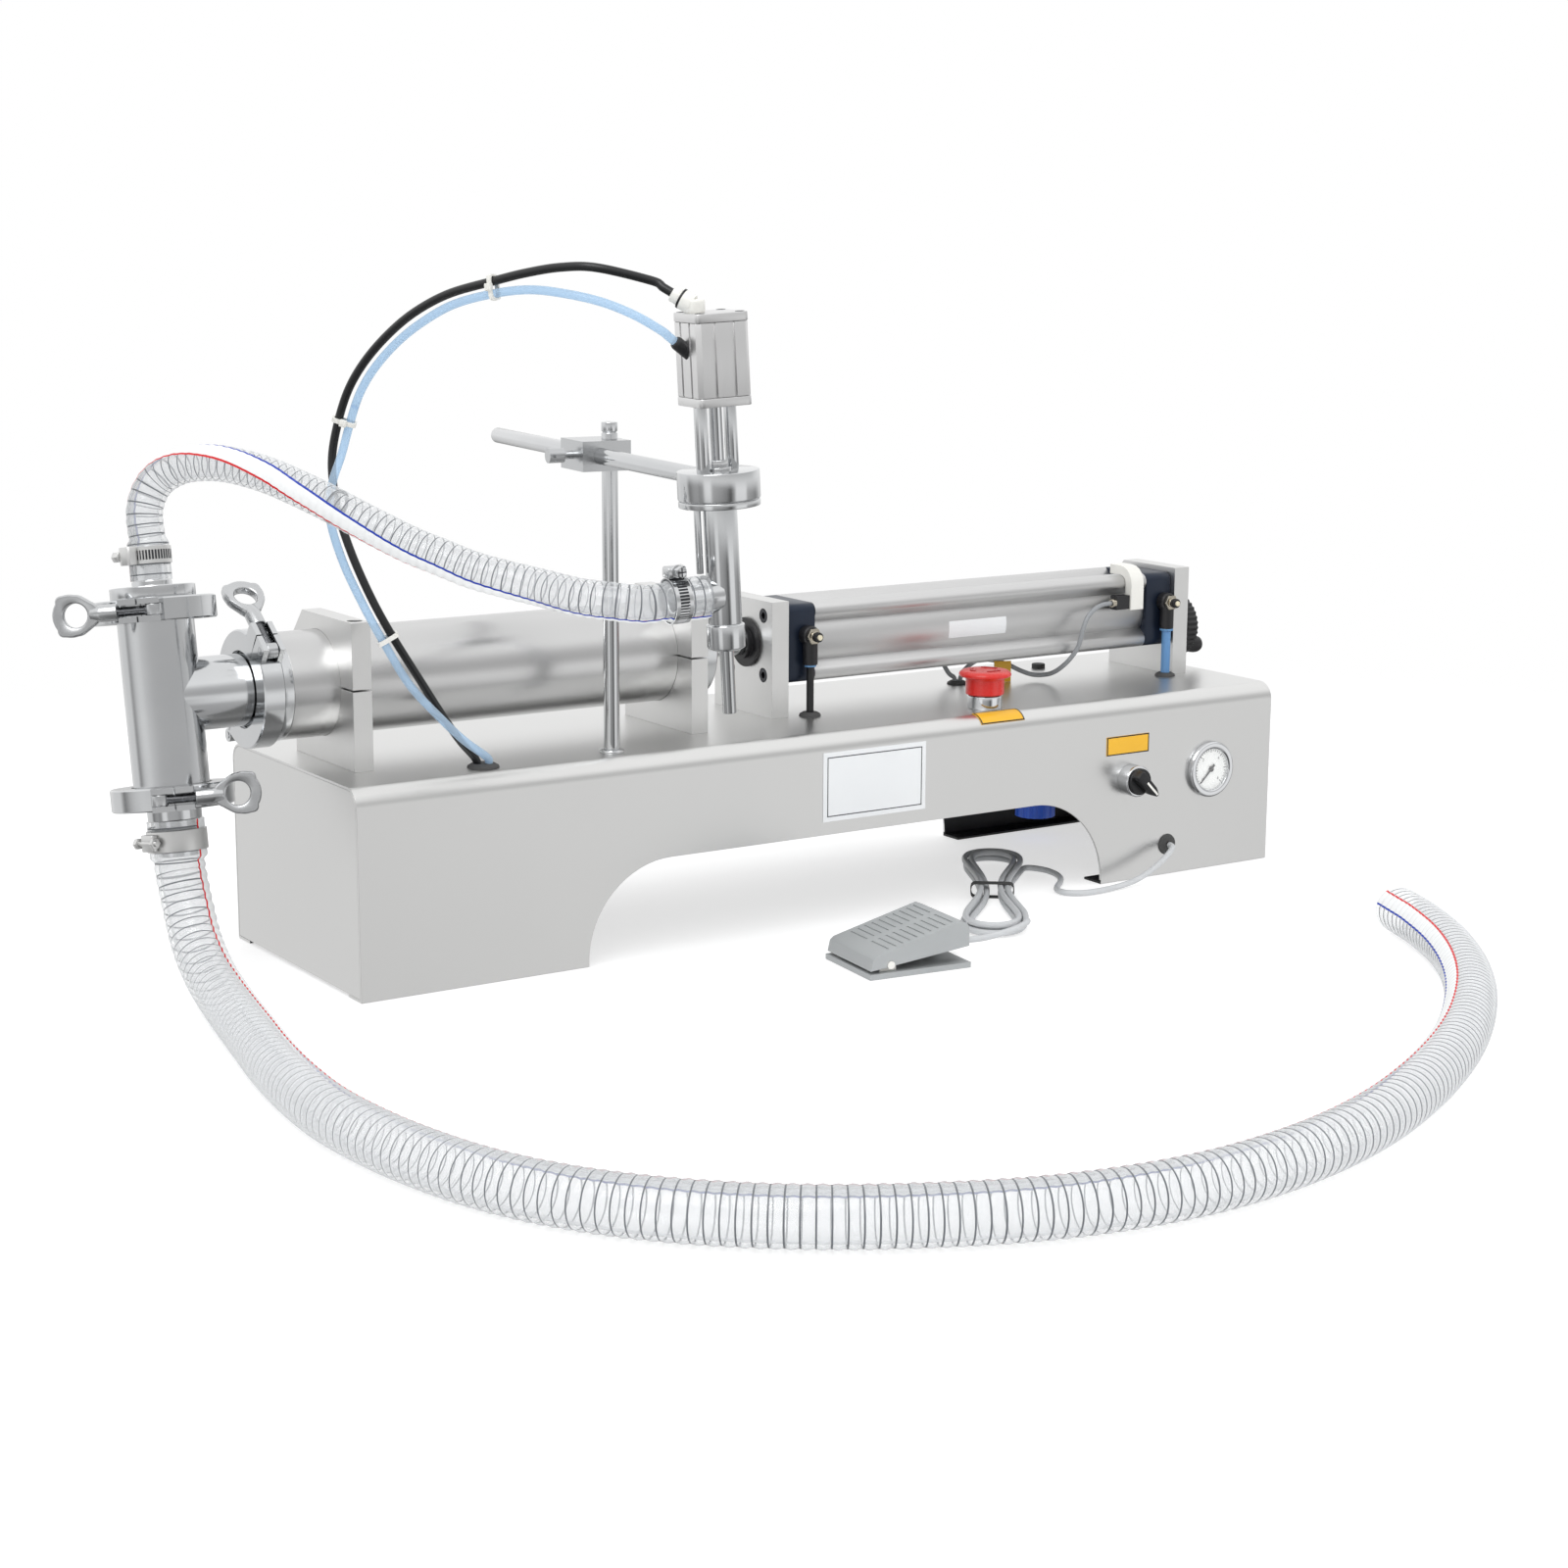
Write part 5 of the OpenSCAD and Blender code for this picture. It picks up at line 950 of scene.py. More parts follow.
@dataclass
class AirControls:
    """The two flow controls with their tubes, and the two sensors with their bracket, cables and tag.

    MAIN and SECOND are the cables' routes, from each sensor and from the grommet.
    """

    stations: tuple[float, float] = (4.4, 380.0)
    face_y: float = -25.0
    height: float = 220.0
    low: float = 196.5
    out: float = 6.3
    MAIN: ClassVar[list] = [
        (321.6, -28, 222.9), (313, -30, 223), (306, -32, 222.9), (296.5, -33.5, 220.1), (288.2, -34, 213.2),
        (283.7, -34, 203.4), (280.9, -32, 189.4), (277.2, -27, 178.8), (275.1, -18, 170.1), (273.6, -8, 163.7),
        (270.4, 0, 160.8), (263, 7, 160.5), (253.1, 11, 164.1), (244.8, 15, 168.6), (239.1, 18, 171.3),
        (231.4, 20.5, 173.7), (222.1, 23, 175.1), (215.7, 25, 174.4), (209.3, 27, 170.8), (204.2, 28.5, 165.9),
        (201.2, 29.5, 159.6), (200.7, 29.5, 157)]
    SECOND: ClassVar[list] = [
        (195.3, 29.5, 157), (195.3, 29.5, 159), (195, 29.7, 161), (191.5, 32.5, 163.9), (188.6, 37, 172),
        (188, 41.5, 180), (191, 43, 190), (200, 43.5, 200), (225, 43, 207), (260, 42.5, 210.5), (300, 42, 211.8),
        (320.8, 42, 212)]

    def build(self) -> None:
        """Builds the controls' pieces."""
        bodies, tubes = Shape("flow_control_bodies"), Shape("flow_tubes")
        a = even_angles(120)
        knurl = polar(4.05 - 0.15 * (1 - np.cos(20 * a)), a)[:, :2]
        knobs: dict[str, Shape] = {}
        for x, tube_r, mark, side in zip(self.stations, (3.0, 4.0), (0, 1), ("front", "rear")):
            front = MACHINE.then((x, self.face_y, self.height), turn("x", 90))
            bodies.turned(front, [(0, -6), (4.5, -6), (4.5, 0.2), (7.6, 0.2), (8, 2), (8, 7.8), (7, 9.5),
                                  (0, 9.5)], 0.9)
            down = MACHINE.then((x, self.face_y - self.out, 0))
            bodies.turned(down, [(tube_r + 0.1, self.low), (6, self.low), (6, self.height - 4),
                                 (4, self.height), (tube_r + 0.1, self.height)], 0.7, closed=True)
            bodies.prism(front, eased(hexagon(7.0), 0.5, True), 9.6, 13.0, 0.4, 1)
            bodies.threaded(front, 4.0, 0.9, 12.5, 14.5, 1)
            bodies.pipe(down, tube_r + 1.9, tube_r + 0.1, self.low - 1.6, self.low + 1, 0.4, 2)
            tubes.pipe(down, tube_r, tube_r - 1, 151, self.low + 6, 0.1, mark)
            knob = Shape(f"flow_knob_{side}_piece").rod(front, 2.0, 6.5, 15.5, 0.1)
            knobs[side] = knob.prism(front, knurl, 14.9, 19.4, 0.4).rod(front, 2.2, 19.2, 21.0, 0.4, 1)
        bodies.finish(BLACK, NICKEL, AIR_BLUE_DEEP, stands_for=["flow_elbows"])
        tubes.finish(AIR_BLACK, AIR_BLUE_DEEP, stands_for=["air_tubes"], slot="blue_tube")
        for side, knob in knobs.items():
            knob.finish(BLACK, CREAM, body=f"flow_knob_{side}", stands_for=[f"flow_knob_{side}"])
        machined("sensor_strap", WHITE, BLACK, edge=0.5, pick=lambda c: c[:, 0] < 336.9)
        self.cable()

    def cable(self) -> None:
        """Builds the two sensors' grey cables and the yellow tag."""
        for name, route in (("sensor_cable_piece", self.MAIN), ("second_cable_piece", self.SECOND)):
            path = smooth(route, 2.5)
            made = Shape(name).swept(path, 2.0, angles=14).finish(CABLE, stands_for=["sensor_cable"])
            MACHINE.metres(route[0])
            length_of(path) * MM
        nut = MACHINE.then((318.0, -29.2, 223.0), turn("y", 90))
        Shape("sensor_nut").pipe(nut, 3.6, 2.05, 0, 4.4, 0.4).finish(NICKEL)
        tag = MACHINE.then((238, 18.4, 155.1), turn("z", -22.3)).then((-0.5, -2.7, 0))
        Shape("cable_tag").prism(tag, box(15, 1), 0, 18.3, 0.2).finish(YELLOW)


@dataclass
class InletTee:
    """The tee with its ferrules, check valves, springs and hose adaptors."""

    run_r: float = 27.0
    branch_r: float = 26.5
    top: float = 62.0
    bottom: float = -71.0
    branch: float = 67.5

    def build(self) -> None:
        """Builds the tee's pieces."""
        t, b, r = self.top, self.bottom, self.run_r
        tee = Shape("tee_piece")
        tee.turned(TEE, [*ferrule(b + 0.5, 1, 25, r + 0.3), (r, b + 7), (r, t - 7),
                         *ferrule(t - 0.5, -1, 25, r + 0.3)[::-1]], 0.6, closed=True)
        out = Place(TEE.origin, LINE.axes)
        n, q = self.branch_r, self.branch
        tee.turned(out, [(24.5, 1), (n, 1), (n, q - 7), *ferrule(q - 0.5, -1, 24.5, n + 0.3)[::-1]], 1.5,
                   closed=True)
        tee.finish(POLISHED, stands_for=["tee_body"])
        machined("suction_poppet", POLISHED, body="suction_poppet", edge=0.3)
        machined("discharge_poppet", POLISHED, body="discharge_poppet", edge=0.3)
        ends = Shape("hose_adaptors_piece")
        ends.turned(TEE, [*ferrule(t + 0.5, 1, 23, r + 0.2), (r, t + 8.3), (30, t + 8.3), (30, t + 17),
                          (14, t + 17), (14, t + 21), (9.4, t + 21), (9.4, t + 46), (7.5, t + 46),
                          (7.5, t + 15), (23, t + 10)], 0.7, closed=True)
        ends.turned(TEE, [(12, b - 43), (14.4, b - 43), (14.4, b - 17), (19.2, b - 17), (19.2, b - 8.3),
                          (r, b - 8.3), *ferrule(b - 0.5, -1, 12, r + 0.2)[::-1]], 0.7, closed=True)
        ends.finish(POLISHED, stands_for=["hose_adaptors"])
        self.springs()

    def springs(self) -> None:
        """Builds the three coil springs: centre + r (cos a, sin a) with the height growing with a."""
        wanted = (
            ("suction_spring", TEE, (0, 0), 4.9, -58.4, -45.3, 5, "suction_valve_lift", 0.4),
            ("discharge_spring", TEE, (0, 0), 4.9, 60.5, 71.7, 5, "discharge_valve_lift", 0.25),
            ("pedal_spring", PEDAL, (60, 35), 4.4, 4.9, 19.2, 6, "treadle_press", 0.62),
        )
        for name, place, (x, y), r, low, high, turns, joint, keep in wanted:
            a = np.linspace(0, 2 * math.pi * turns, 24 * turns)
            path = place.then((x, y, 0)).world(polar(r, a, np.linspace(low, high, len(a))))
            made = Shape(name).swept(path, 0.55, angles=8).finish(
                CHROME, stands_for=["return_springs"], slot="stainless_plate")
            anchor = place.metres((x, y, high if place is TEE else low))
            tuple(place.axes[:, 2])
            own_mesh(made)


@dataclass
class TriClamps:
    """Three ferrule clamps, each with cast jaws, a T-bolt and an eye nut."""

    bolt_x: float = 48.0
    pivot_y: float = -10.3
    nut_y: float = 14.3
    eye_y: float = 43.8
    eye_r: float = 15.0
    eye_bore: float = 8.5
    eye_t: float = 7.0
    bolt_r: float = 3.5

    def eye(self, shape: Shape, place: Place) -> None:
        """Adds a flat eye: rings between its flared outline and its round hole, joined face to face.

        The outline's distance from the middle is read at 96 even angles, so both rims match.

        Args:
            shape: the mesh that it is added to.
            place: the eye's middle, with z through its hole and x away from the stem.
        """
        h, t, bore = self.eye_r, self.eye_t / 2, self.eye_bore
        upper = [(h - 1.5, h - 3), (h - 4, h - 0.5), (-3, h - 0.5), (6 - h, h - 4.5), (-h - 2, 5)]
        line = eased([(x, -y) for x, y in upper[::-1]] + upper, 3.0, True)
        at = np.arctan2(line[:, 1], line[:, 0])
        order = np.argsort(at)
        a = even_angles(96) - math.pi
        far = np.interp(a, at[order], np.hypot(*line[order].T), period=2 * math.pi)
        half = [(far, t - 2), (far - 0.3, t - 0.8), (far - 1.2, t), (bore + 1.2, t), (bore + 0.3, t - 0.5),
                (bore, t - 1.2)]
        rings = half + [(r, -z) for r, z in half[::-1]]
        grid = np.stack([polar(r, a, z) for r, z in rings])
        shape.grid(place.world(grid), round_u=True, round_v=True)

    def build(self) -> None:
        """Builds the clamps' pieces."""
        machined("clamp_jaws", POLISHED, edge=1.1)
        for name, ring in RINGS.items():
            across = ring.then((self.bolt_x, self.pivot_y, 0))
            bolt = Shape(f"{name}_tbolt_piece").rod(across, 5.8, -4, 4, 0.6, 1)
            bolt.rod(across, 3.0, -8.25, 8.25, 0.4, 1)
            bolt.threaded(across.then((0, 0, 0), turn("x", -90)), self.bolt_r, 1.2, 3, 40.4)
            bolt.finish(STEEL, SATIN, body=f"{name}_tbolt", stands_for=[f"{name}_tbolt"])
            nut = Shape(f"{name}_eye_nut_piece")
            hole = self.bolt_r + 0.06
            stem = ring.then((self.bolt_x, 0, 0), turn("x", -90))
            nut.turned(stem, [(hole, self.nut_y), (6, self.nut_y), (6, 27), (4.6, 33.8), (hole, 33.8)], 0.8,
                       closed=True)
            self.eye(nut, ring.then((self.bolt_x, self.eye_y, 0), turn("y", 90), turn("z", 90)))
            nut.finish(SATIN, body=f"{name}_eye_nut", stands_for=[f"{name}_eye_nut"])


@dataclass
class HoseClamps:
    """Worm-drive bands on the product hose and a plain bolted band on the suction hose."""

    width: float = 12.0
    strip_t: float = 0.8
    product_r: float = 14.9
    suction_r: float = 20.65

    def band(self, shape: Shape, place: Place, turned: float) -> None:
        """Adds a worm-drive band: a strip with 44 slots, its housing and its slotted hexagon screw.

        The strip's radius is r + t, and 0.45 mm less inside a slot.

        Args:
            shape: the mesh that it is added to.
            place: the band's axis, with its lower rim at z = 0.
            turned: the housing's angle about the axis in degrees.
        """
        place = place.then((0, 0, 0), turn("z", turned))
        w, r, t = self.width, self.product_r, self.strip_t
        z = np.array([0, 0, 0.2, 2.6, 2.7, w - 2.7, w - 2.6, w - 0.2, w, w])[:, None]
        inside = np.array([1, 0, 0, 0, 0, 0, 0, 0, 0, 1])[:, None]
        slotted = np.array([0, 0, 0, 0, 1, 1, 0, 0, 0, 0])[:, None] * (np.arange(44 * 6) % 6 < 3)[None]
        grid = polar(r + t * (1 - inside) - 0.45 * slotted, even_angles(44 * 6), z)
        shape.grid(place.world(grid), round_u=True, round_v=True, mark=slotted)
        house = place.then((r + 4.4, 0, w / 2))
        outline = eased([(-3.6, -6), (3.2, -5.4), (4.2, -3), (4.2, 3), (3.2, 5.4), (-3.6, 6)], 1.4, True)
        shape.prism(house, outline, -w / 2 - 0.4, w / 2 + 0.4, 0.5)
        screw = place.then((r + 5.3, -5, w / 2), turn("x", 90))
        shape.prism(screw, eased(hexagon(4.0), 0.4, True), 0.5, 7.6, 0.4)
        shape.rod(screw, 4.4, 0, 1.2, 0.2).prism(screw, box(6.4, 0.9), 7.2, 7.75, 0.05, 1)
        shape.prism(screw, box(0.9, 6.4), 7.2, 7.75, 0.05, 1)

    def build(self) -> None:
        """Builds the bands."""
        bands = Shape("hose_clamps_piece")
        self.band(bands, TEE.then((0, 0, 95)), 200)
        low = TEE.then((0, 0, -110))
        bands.pipe(low, self.suction_r + 0.9, self.suction_r, 0, 15, 0.3)
        block = low.then((0, 0, 0), turn("z", 195))
        ears = block.then((self.suction_r + 3.4, 0, 0))
        bands.prism(ears, eased(box(5.4, 14), 2.2, True), 1.5, 13.5, 0.6)
        bolt = block.then((self.suction_r + 5, -12, 7.5), turn("x", -90))
        bands.rod(bolt, 2.2, 2, 24, 0.3)
        bands.prism(bolt, hexagon(4.2), -0.5, 3.2, 0.4).prism(bolt, hexagon(4.2), 19, 22, 0.4)
        bands.finish(PLATE, BLACK_STEEL, stands_for=["hose_clamps"])


@dataclass
class Stand:
    """The post, the cross clamp with its locking screws, and the arm."""

    rod_r: float = 6.0
    arm_from: float = -205.2
    arm_to: float = 188.8

    def build(self) -> None:
        """Builds the stand's pieces."""
        post = MACHINE.then((-209.7, -83.2, 0))
        shape = Shape("post_piece")
        r = self.rod_r
        shape.turned(post, [(0, 155), (r, 155), (r, 394), (r - 0.8, 394.4), (r - 0.8, 395), (r, 395.4),
                            (r, 402), (0, 402)], 0.5)
        shape.turned(post, [(r + 0.05, 155.05), (9.5, 155.05), (9.5, 157.2), (r + 0.05, 158.2)], 0.5,
                     closed=True)
        shape.finish(POLISHED, stands_for=["stand_post"])
        machined("cross_clamp", SATIN, body="cross_clamp", edge=1.2)
        arm = ARM.then((-15.3, 0, 0), turn("x", -90))
        shape = Shape("arm_piece").rod(arm, r, self.arm_from, self.arm_to, 0.8)
        shape.finish(POLISHED, body="filling_head", stands_for=["stand_arm"])


@dataclass
class FillingHead:
    """The flange on the arm, the filling tube with its inlet, the nozzle, and the lift actuator."""

    flange_r: float = 27.75
    tube_r: float = 11.5
    inlet_z: float = -77.0
    block: float = 38.0
    block_z: tuple[float, float] = (50.0, 111.0)
    body: str = "filling_head"

    def flange(self) -> None:
        """Builds the flange: a thick disc over a thin one, a gland nut and two columns."""
        r = self.flange_r
        shape = Shape("flange_piece")
        shape.turned(HEAD, [(0, -17), (r - 0.3, -17), (r - 0.3, -12.7), (r - 1.6, -12.6), (r - 1.6, -12.1),
                            (r, -12), (r, 7), (0, 7)], 0.7)
        shape.rod(HEAD, 9, 6.5, 9, 0.5).prism(HEAD, eased(hexagon(7.0, 30), 0.5, True), 8.5, 13.5, 0.4)
        for side in (-1, 1):
            shape.rod(HEAD.then((side * 14, side * 7, 0)), 4.5, 6.6, 50, 0.3)
        shape.finish(POLISHED, body=self.body, stands_for=["head_flange"])

    def tube(self) -> None:
        """Builds the filling tube with its side inlet and barb, its clamp, and the nozzle under it."""
        shape = Shape("filling_tube_piece")
        shape.pipe(HEAD, self.tube_r, self.tube_r - 2.5, -96, -17, 0.3)
        inlet = HEAD.then((0, 0, self.inlet_z), turn("y", -90))
        shape.turned(inlet, [(0, 4), (12, 4), (12, 13.5), (9.4, 13.5), (9.4, 38.5), (7.5, 38.5), (7.5, 12),
                             (0, 12)], 0.6)
        shape.rod(HEAD.then((-14.9, 4, 0)), 2.4, -61.7, -17, 0.3)
        HoseClamps().band(shape, HEAD.then((-29.5, 0, self.inlet_z), turn("y", -90)), 0)
        shape.finish(POLISHED, BLACK_STEEL, body=self.body, stands_for=["filling_tube"])
        nozzle = Shape("nozzle_piece")
        nozzle.turned(HEAD, [(3.4, -158), (4.75, -158), (4.75, -114.5), (10.5, -114), (13, -112.5), (13, -97),
                             (11.8, -96.6), (11.8, -96), (9, -96), (9, -106), (3.4, -110)], 0.5, closed=True)
        nozzle.finish(POLISHED, body=self.body, stands_for=["nozzle"])

    def actuator(self) -> None:
        """Builds the grooved block, its two end plates, the slanted gland and the port, and the plunger."""
        low, high = self.block_z
        half = self.block / 2
        floor = 1.3 - half
        side = [(3 - half, -half), (-8.2, -half), (-8.2, floor), (-5.8, floor), (-5.8, -half), (5.8, -half),
                (5.8, floor), (8.2, floor), (8.2, -half), (half - 3, -half)]
        outline = np.concatenate([np.array(side) @ turn("z", -90 * k)[:2, :2] for k in range(4)])
        shape = Shape("actuator_piece")
        shape.prism(HEAD, outline, low + 6.2, high - 6.2, 0.2)
        for a, b in ((low, low + 6), (high - 6, high)):
            shape.prism(HEAD, eased(box(self.block, self.block), 3.4, True), a, b, 0.6)
        for x, y in box(29, 29):
            shape.pipe(HEAD.then((x, y, high)), 3.2, 2.0, -1, 0.25, 0.2, 1)
        shape.turned(GLAND, [(0, 2), (6.8, 2), (6.8, 9.6), (6.1, 10), (6.1, 11), (5.6, 11.4), (5.6, 17),
                             (0, 17)], 0.5, mark=2)
        shape.pipe(GLAND, 7.0, 6.0, 9.4, 11.0, 0.3, 3)
        shape.rod(HEAD.then((-11, 0, 0)), 6.8, high - 0.5, high + 9, 2.2, 2)
        shape.turned(PORT, [(0, -4), (4.6, -4), (4.6, 8), (4.0, 10), (3.1, 10), (3.1, 7), (0, 7)], 0.4,
                     mark=3)
        shape.finish(ALUMINIUM_UP, BLACK_STEEL, WHITE, BLACK, body=self.body, stands_for=["head_actuator"])
        plunger = Shape("plunger_piece")
        plunger.turned(HEAD, [(0, -105.8), (6, -105.8), (7, -104), (7, -100), (4.5, -96), (4.5, 57), (13, 57),
                              (13, 66), (0, 66)], 0.5)
        plunger.finish(CHROME, body="lift_plunger", stands_for=["lift_plunger"])

    def build(self) -> None:
        """Builds the head's pieces."""
        self.flange()
        self.tube()
        self.actuator()


@dataclass
class Panel:
    """The emergency stop, the selector and the pressure gauge."""

    stop: tuple[float, float] = (146.5, -76.7)
    selector: tuple[float, float] = (275.0, 87.0)
    gauge: tuple[float, float] = (363.4, 86.7)
    head_r: float = 21.7

    def build(self) -> None:
        """Builds the panel's pieces."""
        stop = MACHINE.then((*self.stop, 155))
        selector = FRONT.then((*self.selector, 0))
        gauge = FRONT.then((*self.gauge, 0))
        collars = Shape("panel_collars")
        for place, fillet, line in (
            (stop, 0.6, [(7.1, 0.05), (14.2, 0.05), (14.2, 10.4), (13.0, 11.5), (7.1, 11.5)]),
            (selector, 0.4, [(5.1, 0.05), (13.3, 0.05), (13.3, 11.5), (12.5, 12.3), (5.1, 12.3)]),
            (gauge, 0.6, [(17.9, 0.05), (24, 0.05), (24, 3.7), (22.8, 5), (19.4, 5), (17.9, 4.1)]),
        ):
            collars.turned(place, line, fillet, closed=True)
        collars.rod(gauge, 18.2, 0.1, 2.0, 0.1, 2)
        for place, r, low in ((stop, 10.9, -42), (selector, 10.9, -42), (gauge, 19.7, -28)):
            collars.rod(place, r, low, 0.1, 0.6, 1)
        collars.rod(stop, 14.5, -12, -2.1, 0.6, 1).rod(selector, 15, -12, -2.1, 0.6, 1)
        collars.finish(CHROME, BLACK, DIAL, stands_for=["panel_bezels"], slot="stainless_polished")
        self.button(stop)
        self.knob(selector)
        self.dial(gauge)

    def button(self, place: Place) -> None:
        """Builds the mushroom head, with three raised turning marks on its crown.

        Args:
            place: the button's axis, with the deck at z = 0.
        """
        r = self.head_r
        dressed(RED, "estop_stem")
        shape = Shape("estop_head_piece")
        shape.turned(place, [(0, 26.2), (3.1, 26.2), (3.1, 16.8), (14.8, 16.8), (14.8, 11.7), (15.9, 11.7),
                             (15.9, 24.6), (17, 25.5), (r - 1, 26.3), (r, 27.4), (r - 0.5, 29.4),
                             (r - 2.6, 31.0), (r - 6, 31.5), (0, 31.5)], 1.0)
        t = np.linspace(0, 1, 14)
        half = np.where(t > 0.72, 3.6 * (1 - t) / 0.28, 1.1)
        for k in range(3):
            a = np.radians(120 * k + 70 * t)
            arrow = np.concatenate([polar(11.5 + half, a), polar(11.5 - half, a)[-2::-1]])[:, :2]
            shape.prism(place, arrow, 31.3, 32.1, 0.15, 1)
        shape.finish(RED, RED_DEEP, body="estop_head", stands_for=["estop_head"])

    def knob(self, place: Place) -> None:
        """Builds the selector's disc and lever with a white line.

        Args:
            place: the selector's axis, with the apron at z = 0.
        """
        shape = Shape("selector_knob_piece").rod(place, 5, -15, 13, 0.3)
        shape.turned(place, [(0, 12.6), (11.3, 12.6), (11.3, 14.2), (10.6, 15), (0, 15)], 0.5)
        lever = place.then((0, 0, 0), turn("z", -45))
        half = [(16, 1.3), (10, 3.9), (-10, 4.5), (-12, 3.5)]
        outline = [(x, -y) for x, y in half[::-1]] + half
        shape.prism(lever, eased(outline, 1.5, True), 14.5, 24.5, 1.1)
        shape.prism(lever.then((6.5, 0, 0)), box(16, 1.9), 24.2, 24.6, 0.06, 1)
        shape.finish(BLACK, WHITE, body="selector_knob", stands_for=["selector_knob"])

    def dial(self, place: Place) -> None:
        """Builds the scale's ticks and plain numbers, the needle, and the glass.

        Args:
            place: the gauge's axis, with the apron at z = 0.
        """
        scale = Shape("gauge_scale")
        for k in range(31):
            long = k % 5 == 0
            tick = place.then((0, 0, 0), turn("z", 225 - 9 * k)).then((16.3 - 0.4 * long, 0, 0))
            scale.prism(tick, box(1.8 + long, 0.3 + 0.25 * long), 1.95, 2.12, 0.02)
        scale.finish(INK)
        for k in range(4):
            curve = bpy.data.curves.new(f"digit_{k}", "FONT")
            curve.body = str(2 * k)
            curve.size, curve.extrude = 3.6 * MM, 0.06 * MM
            curve.align_x = curve.align_y = "CENTER"
            text = bpy.data.objects.new(f"digit_{k}", curve)
            bpy.context.scene.collection.objects.link(text)
            at = place.world(polar(12.2, math.radians(225 - 90 * k), 2.05))
            text.matrix_world = Matrix.Translation(at * MM) @ Matrix(place.axes.tolist()).to_4x4()
            bpy.context.view_layer.update()
            mesh = bpy.data.meshes.new_from_object(text)
            mesh.transform(text.matrix_world)
            mesh.materials.clear()
            bpy.data.objects.remove(text)
            finished(f"gauge_digit_{2 * k}", mesh, [INK])
        needle = Shape("gauge_needle_piece").rod(place, 1, -3, 3.7, 0.1).rod(place, 2.4, 2.3, 3.6, 0.3)
        hand = place.then((0, 0, 0), turn("z", 225))
        needle.prism(hand, np.array([(-5, -1.0), (16, -0.35), (16, 0.35), (-5, 1.0)]), 2.6, 3.2, 0.05)
        needle.finish(INK, body="gauge_needle", stands_for=["gauge_needle"])
        Shape("gauge_glass").rod(place, 17.7, 4.0, 4.6, 0.2).finish(GLASS)


@dataclass
class FootPedal:
    """The foot switch: a flat base with its pin, and a treadle with ribbed panels."""

    def build(self) -> None:
        """Builds the pedal's pieces."""
        machined("pedal_base", PEDAL_GREY, WHITE, BLACK, edge=0.6, pick=self.kinds)
        machined("treadle", PEDAL_GREY, body="treadle", edge=0.45)

    @staticmethod
    def kinds(centres: Array) -> Array:
        """Numbers the finish of each face of the base: 1 for the pin, 2 for the boot and the switch.

        Args:
            centres: the faces' centres in millimetres.

        Returns:
            0, 1 or 2 for each face.
        """
        local = (centres - PEDAL.origin) @ PEDAL.axes
        pin = np.hypot(local[:, 0] - 18, local[:, 2] - 9.6) < 3.05
        boot = (local[:, 0] > 80) & (local[:, 2] > 4.5)
        switch = (np.abs(local[:, 0] - 46) < 7) & (local[:, 2] > 4.25)
        return pin * 1 + (boot | switch) * 2


@dataclass
class Run:
    """A hose or tube on its way over the stand.

    Fields are its pieces' name, the CAD node, the centreline, the outside and inside radii, the
    diameter, the finishes, each face's finish number, the angles of its sides, where angle 0 points,
    and the share of its length at which its two pieces meet.
    """

    name: str
    node: str
    path: Array
    radii: tuple[Array | float, Array | float]
    diameter: float
    finishes: tuple[Finish, ...]
    mark: Array
    angles: Array
    first: Sequence[float]
    split: float


